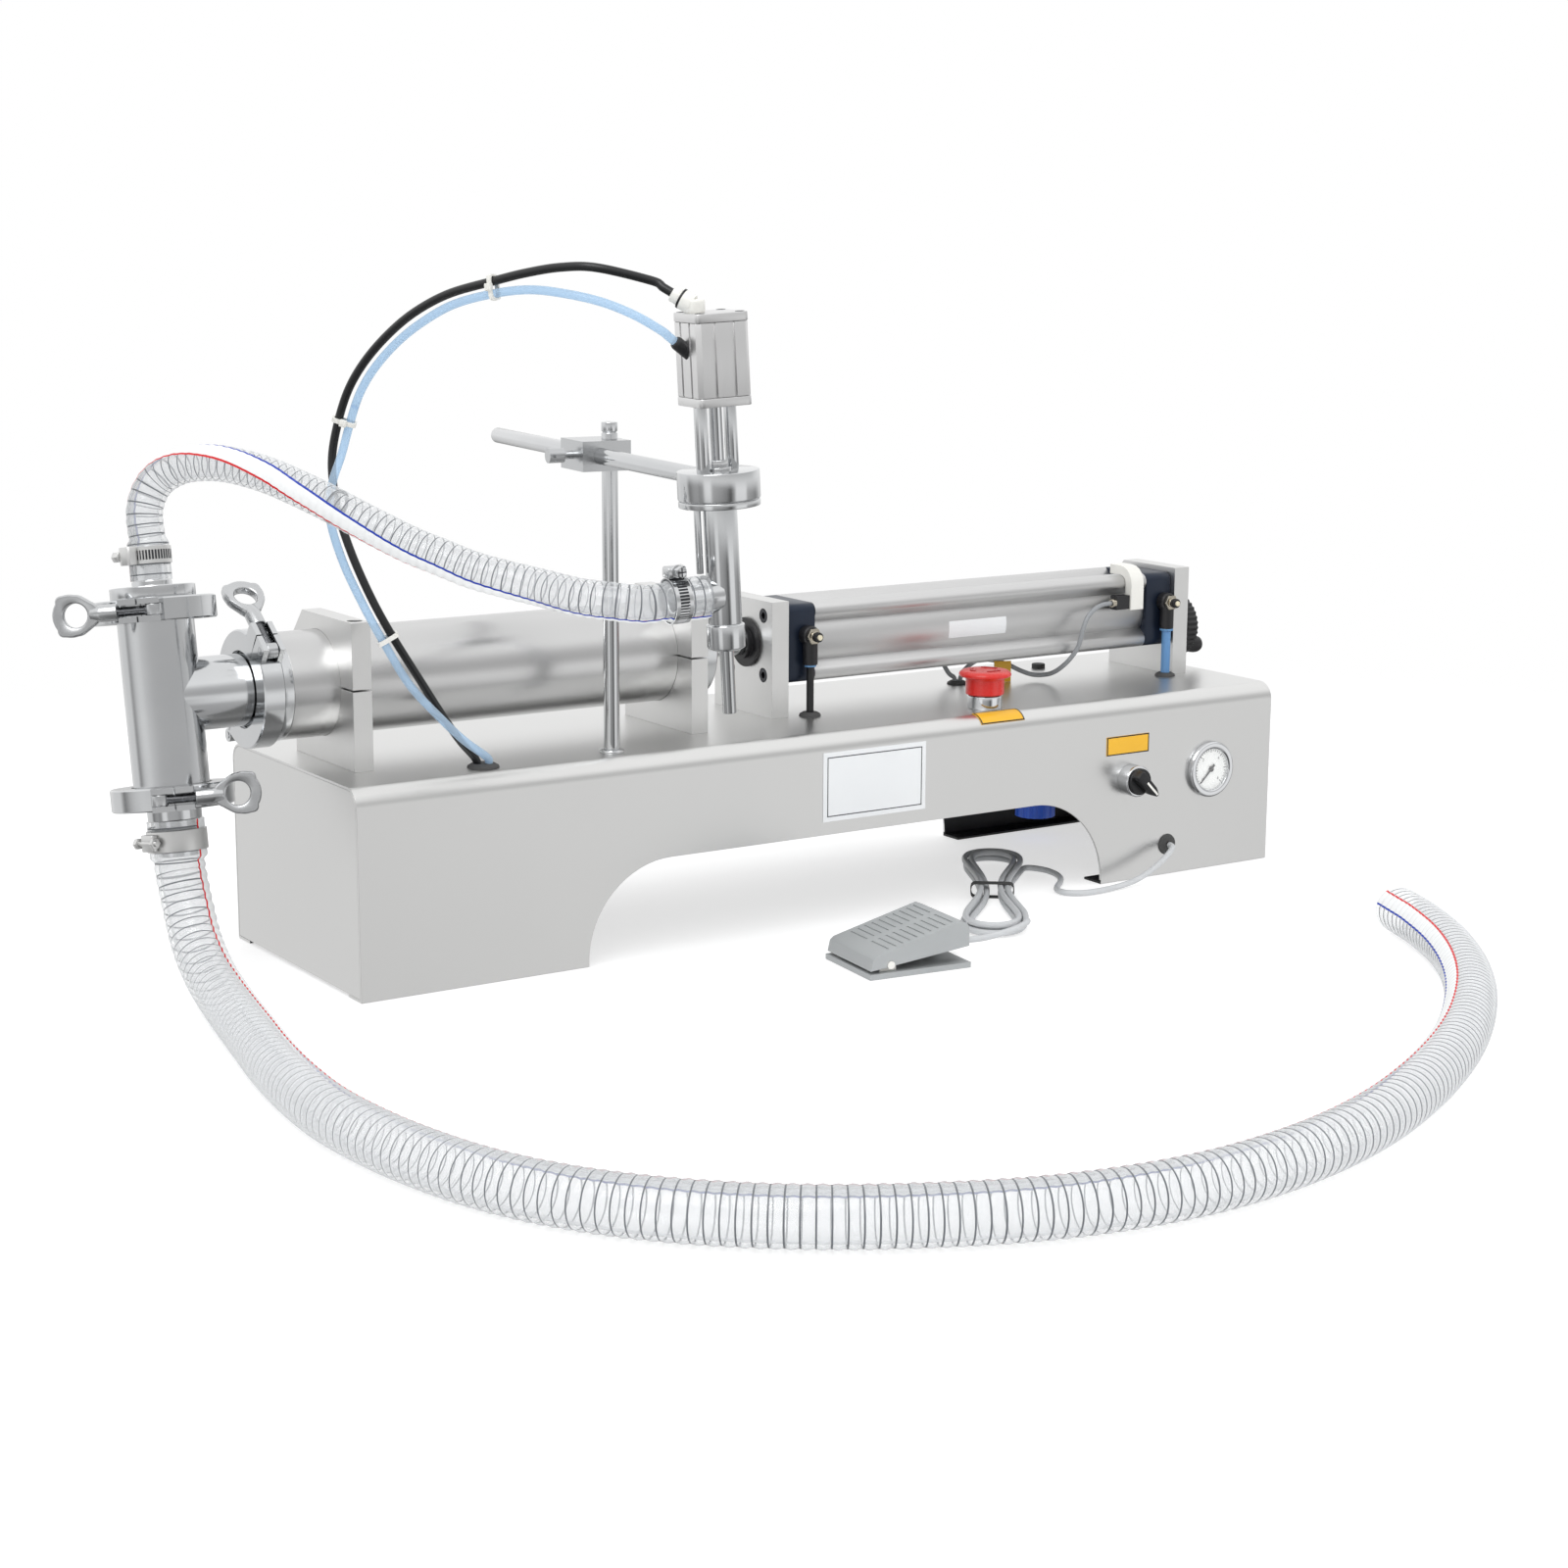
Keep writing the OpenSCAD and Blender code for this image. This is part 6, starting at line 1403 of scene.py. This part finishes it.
class Hoses:
    """Every hose and cord, on the routes that the CAD model gives them.

    The lists that end in MID and CORD are the routes' middles, HANK is the hank's frame, VINYLS the
    finishes that a hose's marks count, and BAND_TURN the product hose's twist: shares of its length
    and the band's angle there.
    """

    BLACK_MID = [(-336, -83, 176), (-349, -84, 194), (-370, -86, 226), (-390, -86, 258), (-402, -80, 284),
                 (-411, -70, 313), (-416, -60, 340), (-417, -53, 362), (-416, -50, 384), (-413, -55, 408),
                 (-409, -65, 431), (-403, -80, 451), (-395, -101, 470), (-387, -127, 486), (-376, -157, 499),
                 (-361, -192, 508), (-349, -217, 514), (-336, -241, 518), (-321, -262, 518)]
    BLUE_MID = [(-337, -90.5, 178), (-355, -89, 196), (-376, -84, 221), (-396, -84, 254), (-408, -77, 281),
                (-417.5, -66, 311), (-423.5, -60, 341), (-421, -59, 364), (-412, -57, 385), (-406, -60, 408),
                (-403, -70, 428), (-398, -84, 446), (-391, -105, 464), (-384, -131, 479), (-374, -160, 492),
                (-361, -194, 500), (-348, -220, 503), (-335, -244, 501), (-320, -266, 496), (-307, -286, 488)]
    PRODUCT_MID = [(-526, 29, 342), (-521, 30, 357), (-513, 26, 368), (-503, 12, 376), (-491, -7, 379),
                   (-480, -27, 378), (-467, -53, 373), (-456, -76, 366), (-445, -98, 358), (-434, -120, 349),
                   (-422, -140, 340), (-409, -160, 331), (-396, -178, 324), (-383, -195, 317), (-369, -213, 312),
                   (-352, -233, 307), (-339, -264, 303), (-323, -284, 301)]
    SUCTION_MID = [(-526, -16, 84), (-526, -26, 64), (-528, -45, 43), (-531, -76, 27), (-537, -118, 20),
                   (-546, -165, 18.5), (-556, -215, 18.5), (-567, -270, 18.5), (-575, -325, 18.5),
                   (-579, -380, 18.5), (-576, -435, 18.5), (-568, -485, 18.5), (-555, -533, 18.5),
                   (-535, -577, 18.5), (-507, -618, 18.5), (-472, -655, 18.5), (-430, -688, 18.5),
                   (-382, -716, 18.5), (-328, -740, 18.5), (-272, -755, 18.5), (-214, -761, 18.5),
                   (-156, -757, 18.5), (-98, -745, 18.5), (-42, -726, 18.5), (12, -701, 18.5), (66, -671, 18.5),
                   (118, -637, 18.5), (168, -598, 18.5), (214, -556, 18.5), (256, -509, 18.5), (292, -459, 18.5),
                   (320, -409, 18.5), (332, -382, 18.5), (342, -358, 18.5)]
    GROMMET_CORD = [(318, -115, 26), (316, -121, 25.5), (308, -126, 22), (296, -129, 16), (282, -131, 10),
                    (264, -133, 5), (244, -135, 3), (222, -137, 2.6), (206, -135, 2.6), (196, -127, 2.6),
                    (196, -116, 2.6), (204, -106, 2.6), (215, -96, 2.6), (225, -84, 2.6), (231, -70, 2.6),
                    (232, -56, 2.8), (227, -45, 3.2), (220, -42, 3.6)]
    PEDAL_CORD = [(76, -217, 9.2), (57, -223, 9), (36, -226, 8.5), (20, -226, 9)]
    HANK = MACHINE.then((141, -99, 0), turn("z", 52.8))
    VINYLS = (VINYL, BAND_WHITE, BAND_RED, BAND_BLUE, WIRE)
    BAND_TURN = ((0, 0.1, 0.15, 0.2, 0.25, 0.3, 0.35, 0.4, 0.45, 0.55, 0.65, 0.75, 0.85, 1),
                 (-130, -118, -100, -68, -45, -25, -5, 15, 30, 50, 62, 75, 88, 92))

    def build(self) -> None:
        """Builds the hoses and cords."""
        self.suction()
        self.product()
        self.air()
        self.pedal_cord()

    @staticmethod
    def ribbed(
        path: Array,
        radius: float,
        bore: float,
        pitch: float,
        depth: float,
        swell: float,
        cuffs: tuple[float, float],
    ) -> tuple[Array, Array]:
        """A ribbed hose's radii along its path.

        Outside, r(s) = radius - depth sin^2(pi s / pitch) between the cuffs, where the ribs fade and
        the wall swells over the barb. Inside, the bore follows at its own width.

        Args:
            path: the centreline.
            radius: outside radius over the ribs.
            bore: inside radius.
            pitch: distance from rib to rib.
            depth: depth of the grooves.
            swell: growth over a barb.
            cuffs: length of the plain cuff at each end, 0 for a cut end.

        Returns:
            The outside and the inside radii.
        """
        s = np.linspace(0, length_of(path), len(path))
        ends = [np.where(cuff > 0, run - cuff, 1e3) for run, cuff in zip((s, s[-1] - s), cuffs)]
        over = np.clip(1 - (np.minimum(*ends) + 4) / 4, 0, 1)
        over = over * over * (3 - 2 * over)
        outer = radius + swell * over - (1 - 0.75 * over) * depth * np.sin(np.pi * s / pitch) ** 2
        return outer[:, None], (bore + swell * over)[:, None]

    @staticmethod
    def banded(width: float, line: float, sides: int) -> tuple[Array, Array]:
        """Angles round a hose with a printed band between two thin lines, and each side's finish number.

        Args:
            width: the band's width in degrees.
            line: a line's width in degrees.
            sides: how many sides the hose has.

        Returns:
            The angles in radians from the band's middle, and 1 on the band, 2 and 3 on the lines and
            0 elsewhere.
        """
        half = width / 2
        rest = np.linspace(half + line, 360 - half - line, sides - 7, endpoint=False)
        degrees = np.concatenate([[-half - line], np.linspace(-half, half, 6), rest])
        mark = np.zeros(sides, int)
        mark[0], mark[1:6], mark[6] = 3, 1, 2
        return np.radians(degrees), mark

    @staticmethod
    def wired(path: Array, pitch: float, mark: Array) -> Array:
        """Puts a wire's ring, number 4, in each rib's groove outside the band.

        Args:
            path: the centreline.
            pitch: distance from rib to rib.
            mark: each side's finish number.

        Returns:
            Finish numbers, stations by sides.
        """
        s = np.linspace(0, length_of(path), len(path))
        ring = (s + pitch / 2) % pitch < s[1]
        return np.where(ring[:, None] & (mark == 0)[None], 4, mark[None])

    def suction(self) -> None:
        """Builds the wide hose that lies on the bench, 1.75 m long, with a stripe on its inner side."""
        route = [TEE.world((0, 0, z)) for z in (-88.2, -106, -122)] + self.SUCTION_MID
        path = smooth(route, 1.05)
        outer, inner = self.ribbed(path, 18.25, 15.0, 8.4, 0.8, 2.2, (30.0, 0.0))
        angles, mark = self.banded(34, 5.0, 36)
        first = carried(path[::-1], (-0.75, 0.25, 0.6))[0][-1]
        shape = Shape("suction_hose_piece")
        shape.swept(path, outer, inner, angles, first, self.wired(path, 8.4, mark))
        made = shape.finish(*self.VINYLS, stands_for=["suction_hose"])
        made.visible_glossy = False
        TEE.metres((0, 0, -88))
        length_of(path) * MM

    @staticmethod
    def thinned(path: Array, step: int) -> list[list[float]]:
        """Every so many points of a path and its last, in metres."""
        return (path[::step] * MM).tolist() + [(path[-1] * MM).tolist()]

    def pair(self, run: Run) -> None:
        """Builds a hose that crosses the two joints of the stand, as two pieces that meet on its way.

        Args:
            run: the hose.
        """
        count, split = len(run.path), int(len(run.path) * run.split)
        side, _ = carried(run.path, run.first)
        outer, inner = (np.broadcast_to(r, (count, 1)) for r in run.radii)
        angles = np.broadcast_to(run.angles, (count, run.mark.shape[1]))
        for part, cut, low, high in (("lower", slice(0, split + 1), "machine", "cross_clamp"),
                                     ("upper", slice(split, None), "cross_clamp", "filling_head")):
            piece = run.path[cut]
            shape = Shape(f"{run.name}_{part}")
            shape.swept(piece, outer[cut], inner[cut], angles[cut], side[cut][0], run.mark[cut])
            made = shape.finish(*run.finishes, body="", stands_for=[run.node])
            made.visible_glossy = False
            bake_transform(made)
            length_of(piece) * MM
            self.thinned(piece, 4)

    def product(self) -> None:
        """Builds the wired hose from the tee to the filling head, with its printed band.

        The hose has a twist, so its band winds from behind at the tee, over the bend, to underneath at
        the head. Its middle stands at BAND_TURN degrees below the direction to the camera's place.
        """
        route = [TEE.world((0, 0, 83 + z)) for z in (0.2, 14, 28)] + self.PRODUCT_MID
        route += [HEAD.world((-13.5 - x, 0, -77)) for x in (46, 33, 16, 0.2)]
        path = smooth(route, 0.9)
        radii = self.ribbed(path, 13.0, 10.0, 7.0, 0.4, 1.7, (30.0, 30.0))
        angles, mark = self.banded(50, 7.0, 40)
        towards = unit(np.array(Studio.camera_mm) - path)
        side, up = carried(path, towards[0])
        facing = np.unwrap(np.arctan2(np.sum(up * towards, 1), np.sum(side * towards, 1)))
        twist = facing + np.radians(np.interp(np.linspace(0, 1, len(path)), *self.BAND_TURN))
        self.pair(Run("product_hose", "product_hose", path, radii, 26.0, self.VINYLS,
                      self.wired(path, 7.0, mark), angles + twist[:, None], towards[0], 0.45))

    def air(self) -> None:
        """Builds the black hose and the pale tube, and the white ties that hold them together."""
        grommet = np.array([-318.0, -83.0, 155.0])
        black = [grommet + (-3.7, 1.8, 3.6), grommet + (-7, 1.6, 9), *self.BLACK_MID]
        black += [GLAND.world((0, 0, 17 + s)) for s in (16, 8, 0.2)]
        blue = [grommet + (3.7, -1.8, 3.6), grommet + (1.5, -3, 8), *self.BLUE_MID]
        blue += [PORT.world((0, 0, 10 + s)) for s in (12, 6, 0.2)]
        r, sides = 3.0, 18
        for name, node, route, finish in (("air_hose", "air_hose_black", black, AIR_BLACK),
                                          ("air_tube", "air_tube_blue", blue, AIR_BLUE)):
            path = smooth(route, 2.0)
            plain = np.zeros((len(path), sides), int)
            self.pair(Run(name, node, path, (r, 0.0), 2 * r, (finish,), plain, even_angles(sides),
                          (0, 1, 0), 0.5))
        self.ties()

    @staticmethod
    def strap(
        name: str,
        place: Place,
        inner: tuple[float, float],
        outer: tuple[float, float],
        corner: float,
        half: float,
    ) -> Shape:
        """A flat loop of strap round its place's z axis, with rounded corners.

        Args:
            name: the piece's name.
            place: the loop's middle.
            inner: width and height inside it.
            outer: width and height outside it.
            corner: rounding of its corners.
            half: half of the strap's width.

        Returns:
            The new shape.
        """
        near, far = (np.pad(eased(box(*size), corner, True), ((0, 0), (0, 1))) for size in (inner, outer))
        down, up = np.array([0, 0, -half]), np.array([0, 0, half])
        rows = np.stack([near + down, far + down, far + up, near + up])
        return Shape(name).grid(place.world(rows), round_u=True, round_v=True)

    def ties(self) -> None:
        """Builds the cable ties: a thin loop round both tubes with its head, and the hank's strap."""
        deck, bend, head = ((-322, -82, 155), (-412, -55, 410), (-287, -296, 500))
        lower, upper = ("machine", "cross_clamp", deck, bend), ("cross_clamp", "filling_head", bend, head)
        for number, (k, (low, high, start, end)) in enumerate(((3, lower), (9, upper), (15, upper))):
            before, a, after = np.array(self.BLACK_MID[k - 1 : k + 2], float)
            b = np.array(self.BLUE_MID[k], float)
            along = unit(after - before)
            apart = (b - a) - ((b - a) @ along) * along
            across, gap = unit(apart), np.linalg.norm(apart)
            place = Place((a + b) / 2, np.stack([across, np.cross(along, across), along], -1))
            tie = self.strap(f"tie_{number}", place, (gap + 6.7, 6.7), (gap + 9.1, 9.1), 3.4, 1.6)
            tie.prism(place.then((0, -5.2, 0)), eased(box(5.0, 3.8), 0.8, True), -2.4, 2.4, 0.5)
            made = tie.finish(WHITE, body="", stands_for=["cord_ties"])
            tuple(np.array(start) * MM)
            tuple(np.array(end) * MM)
            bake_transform(made)
        waist = self.HANK.then((0, 0, 6.4), turn("x", 90), turn("y", 90))
        self.strap("hank_tie", waist, (34.4, 10.9), (36.0, 12.5), 4.4, 4.0).finish(RUBBER)

    def hank(self) -> Array:
        """The hank's centreline: a long loop drawn in at its waist, wound in, up a layer and out again.

        At angle a the loop is (125 cos a, (38 cos^2 a + 4.5) sin a), and it steps out along its own
        normal by 5.7 mm for each turn away from the middle of the winding.

        Returns:
            The points, in the machine's frame.
        """
        first, last = 50.0, 1230.0
        reach, spread, waist = 125.0, 38.0, 4.5
        step, layer = 5.7, 5.6
        a = np.arange(first, last + 0.1, 3.0)
        away = a - (first + last) / 2
        c, s = np.cos(np.radians(a)), np.sin(np.radians(a))
        wide = spread * c * c + waist
        out = unit(np.stack([c * (wide - 2 * spread * s * s), reach * s], -1))
        level = np.maximum(0, np.abs(away) - 30) / 360
        flat = np.stack([reach * c, s * wide], -1) + step * level[:, None] * out
        t = np.clip((away + 30) / 60, 0, 1)
        z = 3.6 + layer * t * t * (3 - 2 * t)
        return self.HANK.world(np.stack([flat[:, 0], -flat[:, 1], z], -1))

    def pedal_cord(self) -> None:
        """Builds the pedal's whole cord, from the grommet through the hank to the pedal's boot."""
        hank = self.hank()
        way_in, way_out = unit(hank[5] - hank[0]), unit(hank[-1] - hank[-6])
        bend = np.array([-way_out[1], way_out[0], 0])
        route = [*self.GROMMET_CORD, *(hank[0] - s * way_in for s in (6, 3)), *hank[::4],
                 *(hank[-1] + s * way_out + s * s / 30 * bend for s in (3, 6)), *self.PEDAL_CORD,
                 PEDAL.world((96, 42, 9))]
        path = smooth(route, 2.4)
        made = Shape("pedal_cord_piece").swept(path, 2.5, angles=14, first=(0, 0, 1)).finish(
            GREY, stands_for=["pedal_cord", "pedal_hank"])
        MACHINE.metres(self.GROMMET_CORD[0])
        length_of(path) * MM


@dataclass
class Studio:
    """The camera, the floor, the lamps and what metal mirrors.

    middle and fade place the floor's soft edge, glow and lift are its light, even and bright the
    surroundings' light on matt and on mirroring surfaces, and the tones are what a mirror ray sees by
    its azimuth or its height. Each lamp has its name, place, size and power.
    """

    camera_mm: tuple[float, float, float] = (-1258.8, -1905.3, 560.2)
    yaw: float = 33.459
    pitch: float = 11.549
    roll: float = 0.26
    lens: float = 65.32
    middle: tuple[float, float, float] = (-0.1, -0.3, 0.0)
    fade: tuple[float, float] = (0.95, 1.6)
    glow: tuple[float, float] = (0.62, 0.52)
    even: float = 0.7
    lift: float = 0.25
    bright: float = 1.16
    low_tones: tuple[tuple[float, float], ...] = (
        (-180, 0.35), (-168, 0.4), (-160, 0.95), (-146, 1.0), (-138, 0.5), (-117, 0.42), (-100, 0.3),
        (-88, 0.1), (-77, 0.5), (-72, 1.0), (-42, 1.0), (-35, 0.5), (0, 0.3), (30, 0.8), (60, 0.35),
        (95, 0.9), (110, 0.85), (137, 0.85), (149, 0.25), (165, 0.45), (180, 0.45))
    front_tones: tuple[tuple[float, float], ...] = (
        (-1.0, 0.35), (-0.45, 0.5), (-0.3, 0.85), (-0.1, 0.92), (0.0, 0.75), (0.1, 0.5), (0.25, 0.5),
        (0.4, 0.6), (0.6, 1.0), (1.0, 0.92))
    back_tones: tuple[tuple[float, float], ...] = (
        (-1.0, 0.5), (-0.4, 0.85), (0.06, 0.9), (0.4, 0.9), (0.7, 1.0), (1.0, 0.92))
    lamps: tuple[tuple[str, tuple[float, float, float], float, float], ...] = (
        ("key", (-1.6, -1.2, 2.4), 1.8, 34.0),
        ("fill", (1.8, -1.8, 1.6), 2.2, 20.0),
        ("front", (-0.9, -2.6, 0.7), 2.0, 7.0),
        ("back", (0.4, 2.2, 2.2), 2.0, 20.0),
        ("top", (0.0, 0.0, 3.0), 2.6, 22.0),
    )

    def camera(self) -> None:
        """Places the camera: yaw from +Y towards +X, pitch down, then a small roll."""
        data = bpy.data.cameras.new("camera")
        data.lens, data.sensor_width, data.clip_end = self.lens, 36.0, 50.0
        made = bpy.data.objects.new("camera", data)
        bpy.context.scene.collection.objects.link(made)
        axes = turn("z", -self.yaw) @ turn("x", 90 - self.pitch) @ turn("z", self.roll)
        made.matrix_world = Matrix.Translation(np.array(self.camera_mm) * MM) @ Matrix(axes.tolist()).to_4x4()
        bpy.context.scene.camera = made

    def floor(self) -> None:
        """Builds the pale floor: it fades out into the white and keeps the machine's soft shadow.

        Its fade runs from fade[0] to fade[1] metres from the machine. The camera sees a part of it as
        even light, so that the shadow stays pale, and mirror rays pass through it.
        """
        mesh = bpy.data.meshes.new("floor")
        mesh.from_pydata([(x, y, -0.0004) for x, y in box(6, 6)], [], [(0, 1, 2, 3)])
        made = bpy.data.objects.new("floor", mesh)
        bpy.context.scene.collection.objects.link(made)
        material = bpy.data.materials.new("pale_floor")
        material.use_nodes = True
        tree = material.node_tree
        tree.nodes.clear()
        spot = add(tree, "ShaderNodeTexCoord").outputs["Object"]
        away = add(tree, "ShaderNodeVectorMath", {"operation": "DISTANCE"}, {1: self.middle}, _0=spot)
        reach = {1: self.fade[0], 2: self.fade[1]}
        fade = add(tree, "ShaderNodeMapRange", {"interpolation_type": "SMOOTHSTEP"}, reach,
                   Value=away.outputs["Value"])
        matt = add(tree, "ShaderNodeBsdfDiffuse", values={"Color": linear("#f2f2f2")})
        lift = add(tree, "ShaderNodeEmission", values={"Strength": self.lift})
        plain = add(tree, "ShaderNodeAddShader", _0=matt.outputs[0], _1=lift.outputs[0])
        glow = add(tree, "ShaderNodeEmission", values={"Strength": self.glow[0]})
        part = add(tree, "ShaderNodeBsdfDiffuse", values={"Color": (self.glow[1],) * 3 + (1.0,)})
        soft = add(tree, "ShaderNodeAddShader", _0=glow.outputs[0], _1=part.outputs[0])
        rays = add(tree, "ShaderNodeLightPath").outputs
        seen = add(tree, "ShaderNodeMixShader", _0=rays["Is Camera Ray"], _1=plain.outputs[0],
                   _2=soft.outputs[0])
        gone = add(tree, "ShaderNodeBsdfTransparent")
        hidden = add(tree, "ShaderNodeMath", {"operation": "MAXIMUM"}, _0=fade.outputs[0],
                     _1=rays["Is Glossy Ray"])
        both = add(tree, "ShaderNodeMixShader", _0=hidden.outputs[0], _1=seen.outputs[0], _2=gone.outputs[0])
        add(tree, "ShaderNodeOutputMaterial", Surface=both.outputs[0])
        mesh.materials.append(material)

    def light(self) -> None:
        """Sets the lamps, aimed at the machine, of which metal mirrors the key alone."""
        for name, at, size, power in self.lamps:
            data = bpy.data.lights.new(name, "AREA")
            data.size, data.energy = size, power
            made = bpy.data.objects.new(name, data)
            bpy.context.scene.collection.objects.link(made)
            x, y, z = unit(np.array((0.0, -0.1, 0.15)) - np.array(at))
            made.location = at
            made.rotation_euler = (math.acos(-z), 0.0, math.atan2(-x, y))
            made.visible_glossy = name == "key"
        self.world()

    def world(self) -> None:
        """Sets the surroundings: even pale light, white to the camera, and a soft studio in the metal.

        A mirror ray's direction (x, y, z) picks a tone by its height z from the back's or the front's
        list, mixed by y. Below the horizon it is multiplied by a tone picked by its azimuth, so that
        upright tubes get light and dark lines.
        """
        world = bpy.data.worlds.new("studio")
        world.use_nodes = True
        tree = world.node_tree
        tree.nodes.clear()
        spot = add(tree, "ShaderNodeTexCoord").outputs["Generated"]
        axis = add(tree, "ShaderNodeSeparateXYZ", Vector=spot).outputs
        scaled = "ShaderNodeMapRange"
        colours = {"data_type": "RGBA"}
        pure = (1.0, 1.0, 1.0, 1.0)
        height = add(tree, scaled, values={1: -1.0, 2: 1.0}, Value=axis["Z"]).outputs[0]
        azimuth = add(tree, "ShaderNodeMath", {"operation": "ARCTAN2"}, _0=axis["Y"], _1=axis["X"]).outputs[0]
        round_it = add(tree, scaled, values={1: -math.pi, 2: math.pi}, Value=azimuth).outputs[0]
        front, back = (self.ramp(tree, height, stops, 1.0) for stops in (self.front_tones, self.back_tones))
        low = self.ramp(tree, round_it, self.low_tones, 180.0)
        below = add(tree, scaled, values={1: -0.12, 2: -0.02, 3: 1.0, 4: 0.0}, Value=axis["Z"]).outputs[0]
        strips = add(tree, "ShaderNodeMix", colours, {6: pure}, _0=below, _7=low).outputs[2]
        side = add(tree, scaled, values={1: -0.3, 2: 0.3}, Value=axis["Y"]).outputs[0]
        mixed = add(tree, "ShaderNodeMix", colours, _0=side, _6=front, _7=back).outputs[2]
        times = {**colours, "blend_type": "MULTIPLY"}
        lined = add(tree, "ShaderNodeMix", times, {0: 1.0}, _6=mixed, _7=strips).outputs[2]
        plain = add(tree, "ShaderNodeBackground", values={"Color": linear("#eeeff0"), "Strength": self.even})
        mirror = add(tree, "ShaderNodeBackground", values={"Strength": self.bright}, Color=lined)
        white = add(tree, "ShaderNodeBackground", values={"Color": pure})
        rays = add(tree, "ShaderNodeLightPath").outputs
        glossy = add(tree, "ShaderNodeMixShader", _0=rays["Is Glossy Ray"], _1=plain.outputs[0],
                     _2=mirror.outputs[0])
        through = add(tree, "ShaderNodeMath", {"operation": "MAXIMUM"}, _0=rays["Is Camera Ray"],
                      _1=rays["Is Transmission Ray"])
        seen = add(tree, "ShaderNodeMixShader", _0=through.outputs[0], _1=glossy.outputs[0],
                   _2=white.outputs[0])
        add(tree, "ShaderNodeOutputWorld", Surface=seen.outputs[0])
        bpy.context.scene.world = world

    @staticmethod
    def ramp(
        tree: bpy.types.NodeTree,
        place: bpy.types.NodeSocket,
        stops: Sequence[tuple[float, float]],
        reach: float,
    ) -> bpy.types.NodeSocket:
        """A row of grey tones.

        Args:
            tree: the node tree.
            place: where the tone is read, from 0 to 1.
            stops: pairs of a place and the grey there, from -reach to reach.
            reach: half of the scale that the stops are given on.

        Returns:
            The colour output.
        """
        made = add(tree, "ShaderNodeValToRGB", _0=place)
        line = made.color_ramp.elements
        line[0].color, line[1].color = ((grey, grey, grey, 1.0) for _, grey in (stops[0], stops[-1]))
        for at, grey in stops[1:-1]:
            line.new((at / reach + 1) / 2).color = (grey, grey, grey, 1.0)
        return made.outputs[0]

    def build(self) -> None:
        """Sets up the studio."""
        self.camera()
        self.floor()
        self.light()
        bpy.context.scene.view_settings.view_transform = "Standard"


def main() -> None:
    """Builds the studio, the cords and every sub-assembly in order."""
    logging.basicConfig(level=logging.INFO, format="%(name)s %(message)s")
    Studio().build()
    Hoses().build()
    for part in (Cabinet(), Cylinders(), StrokeAdjuster(), AirControls(), InletTee(), TriClamps(),
                 HoseClamps(), Stand(), FillingHead(), Panel(), FootPedal()):
        LOG.info("building %s", type(part).__name__)
        part.build()


if __name__ == "__main__":
    main()
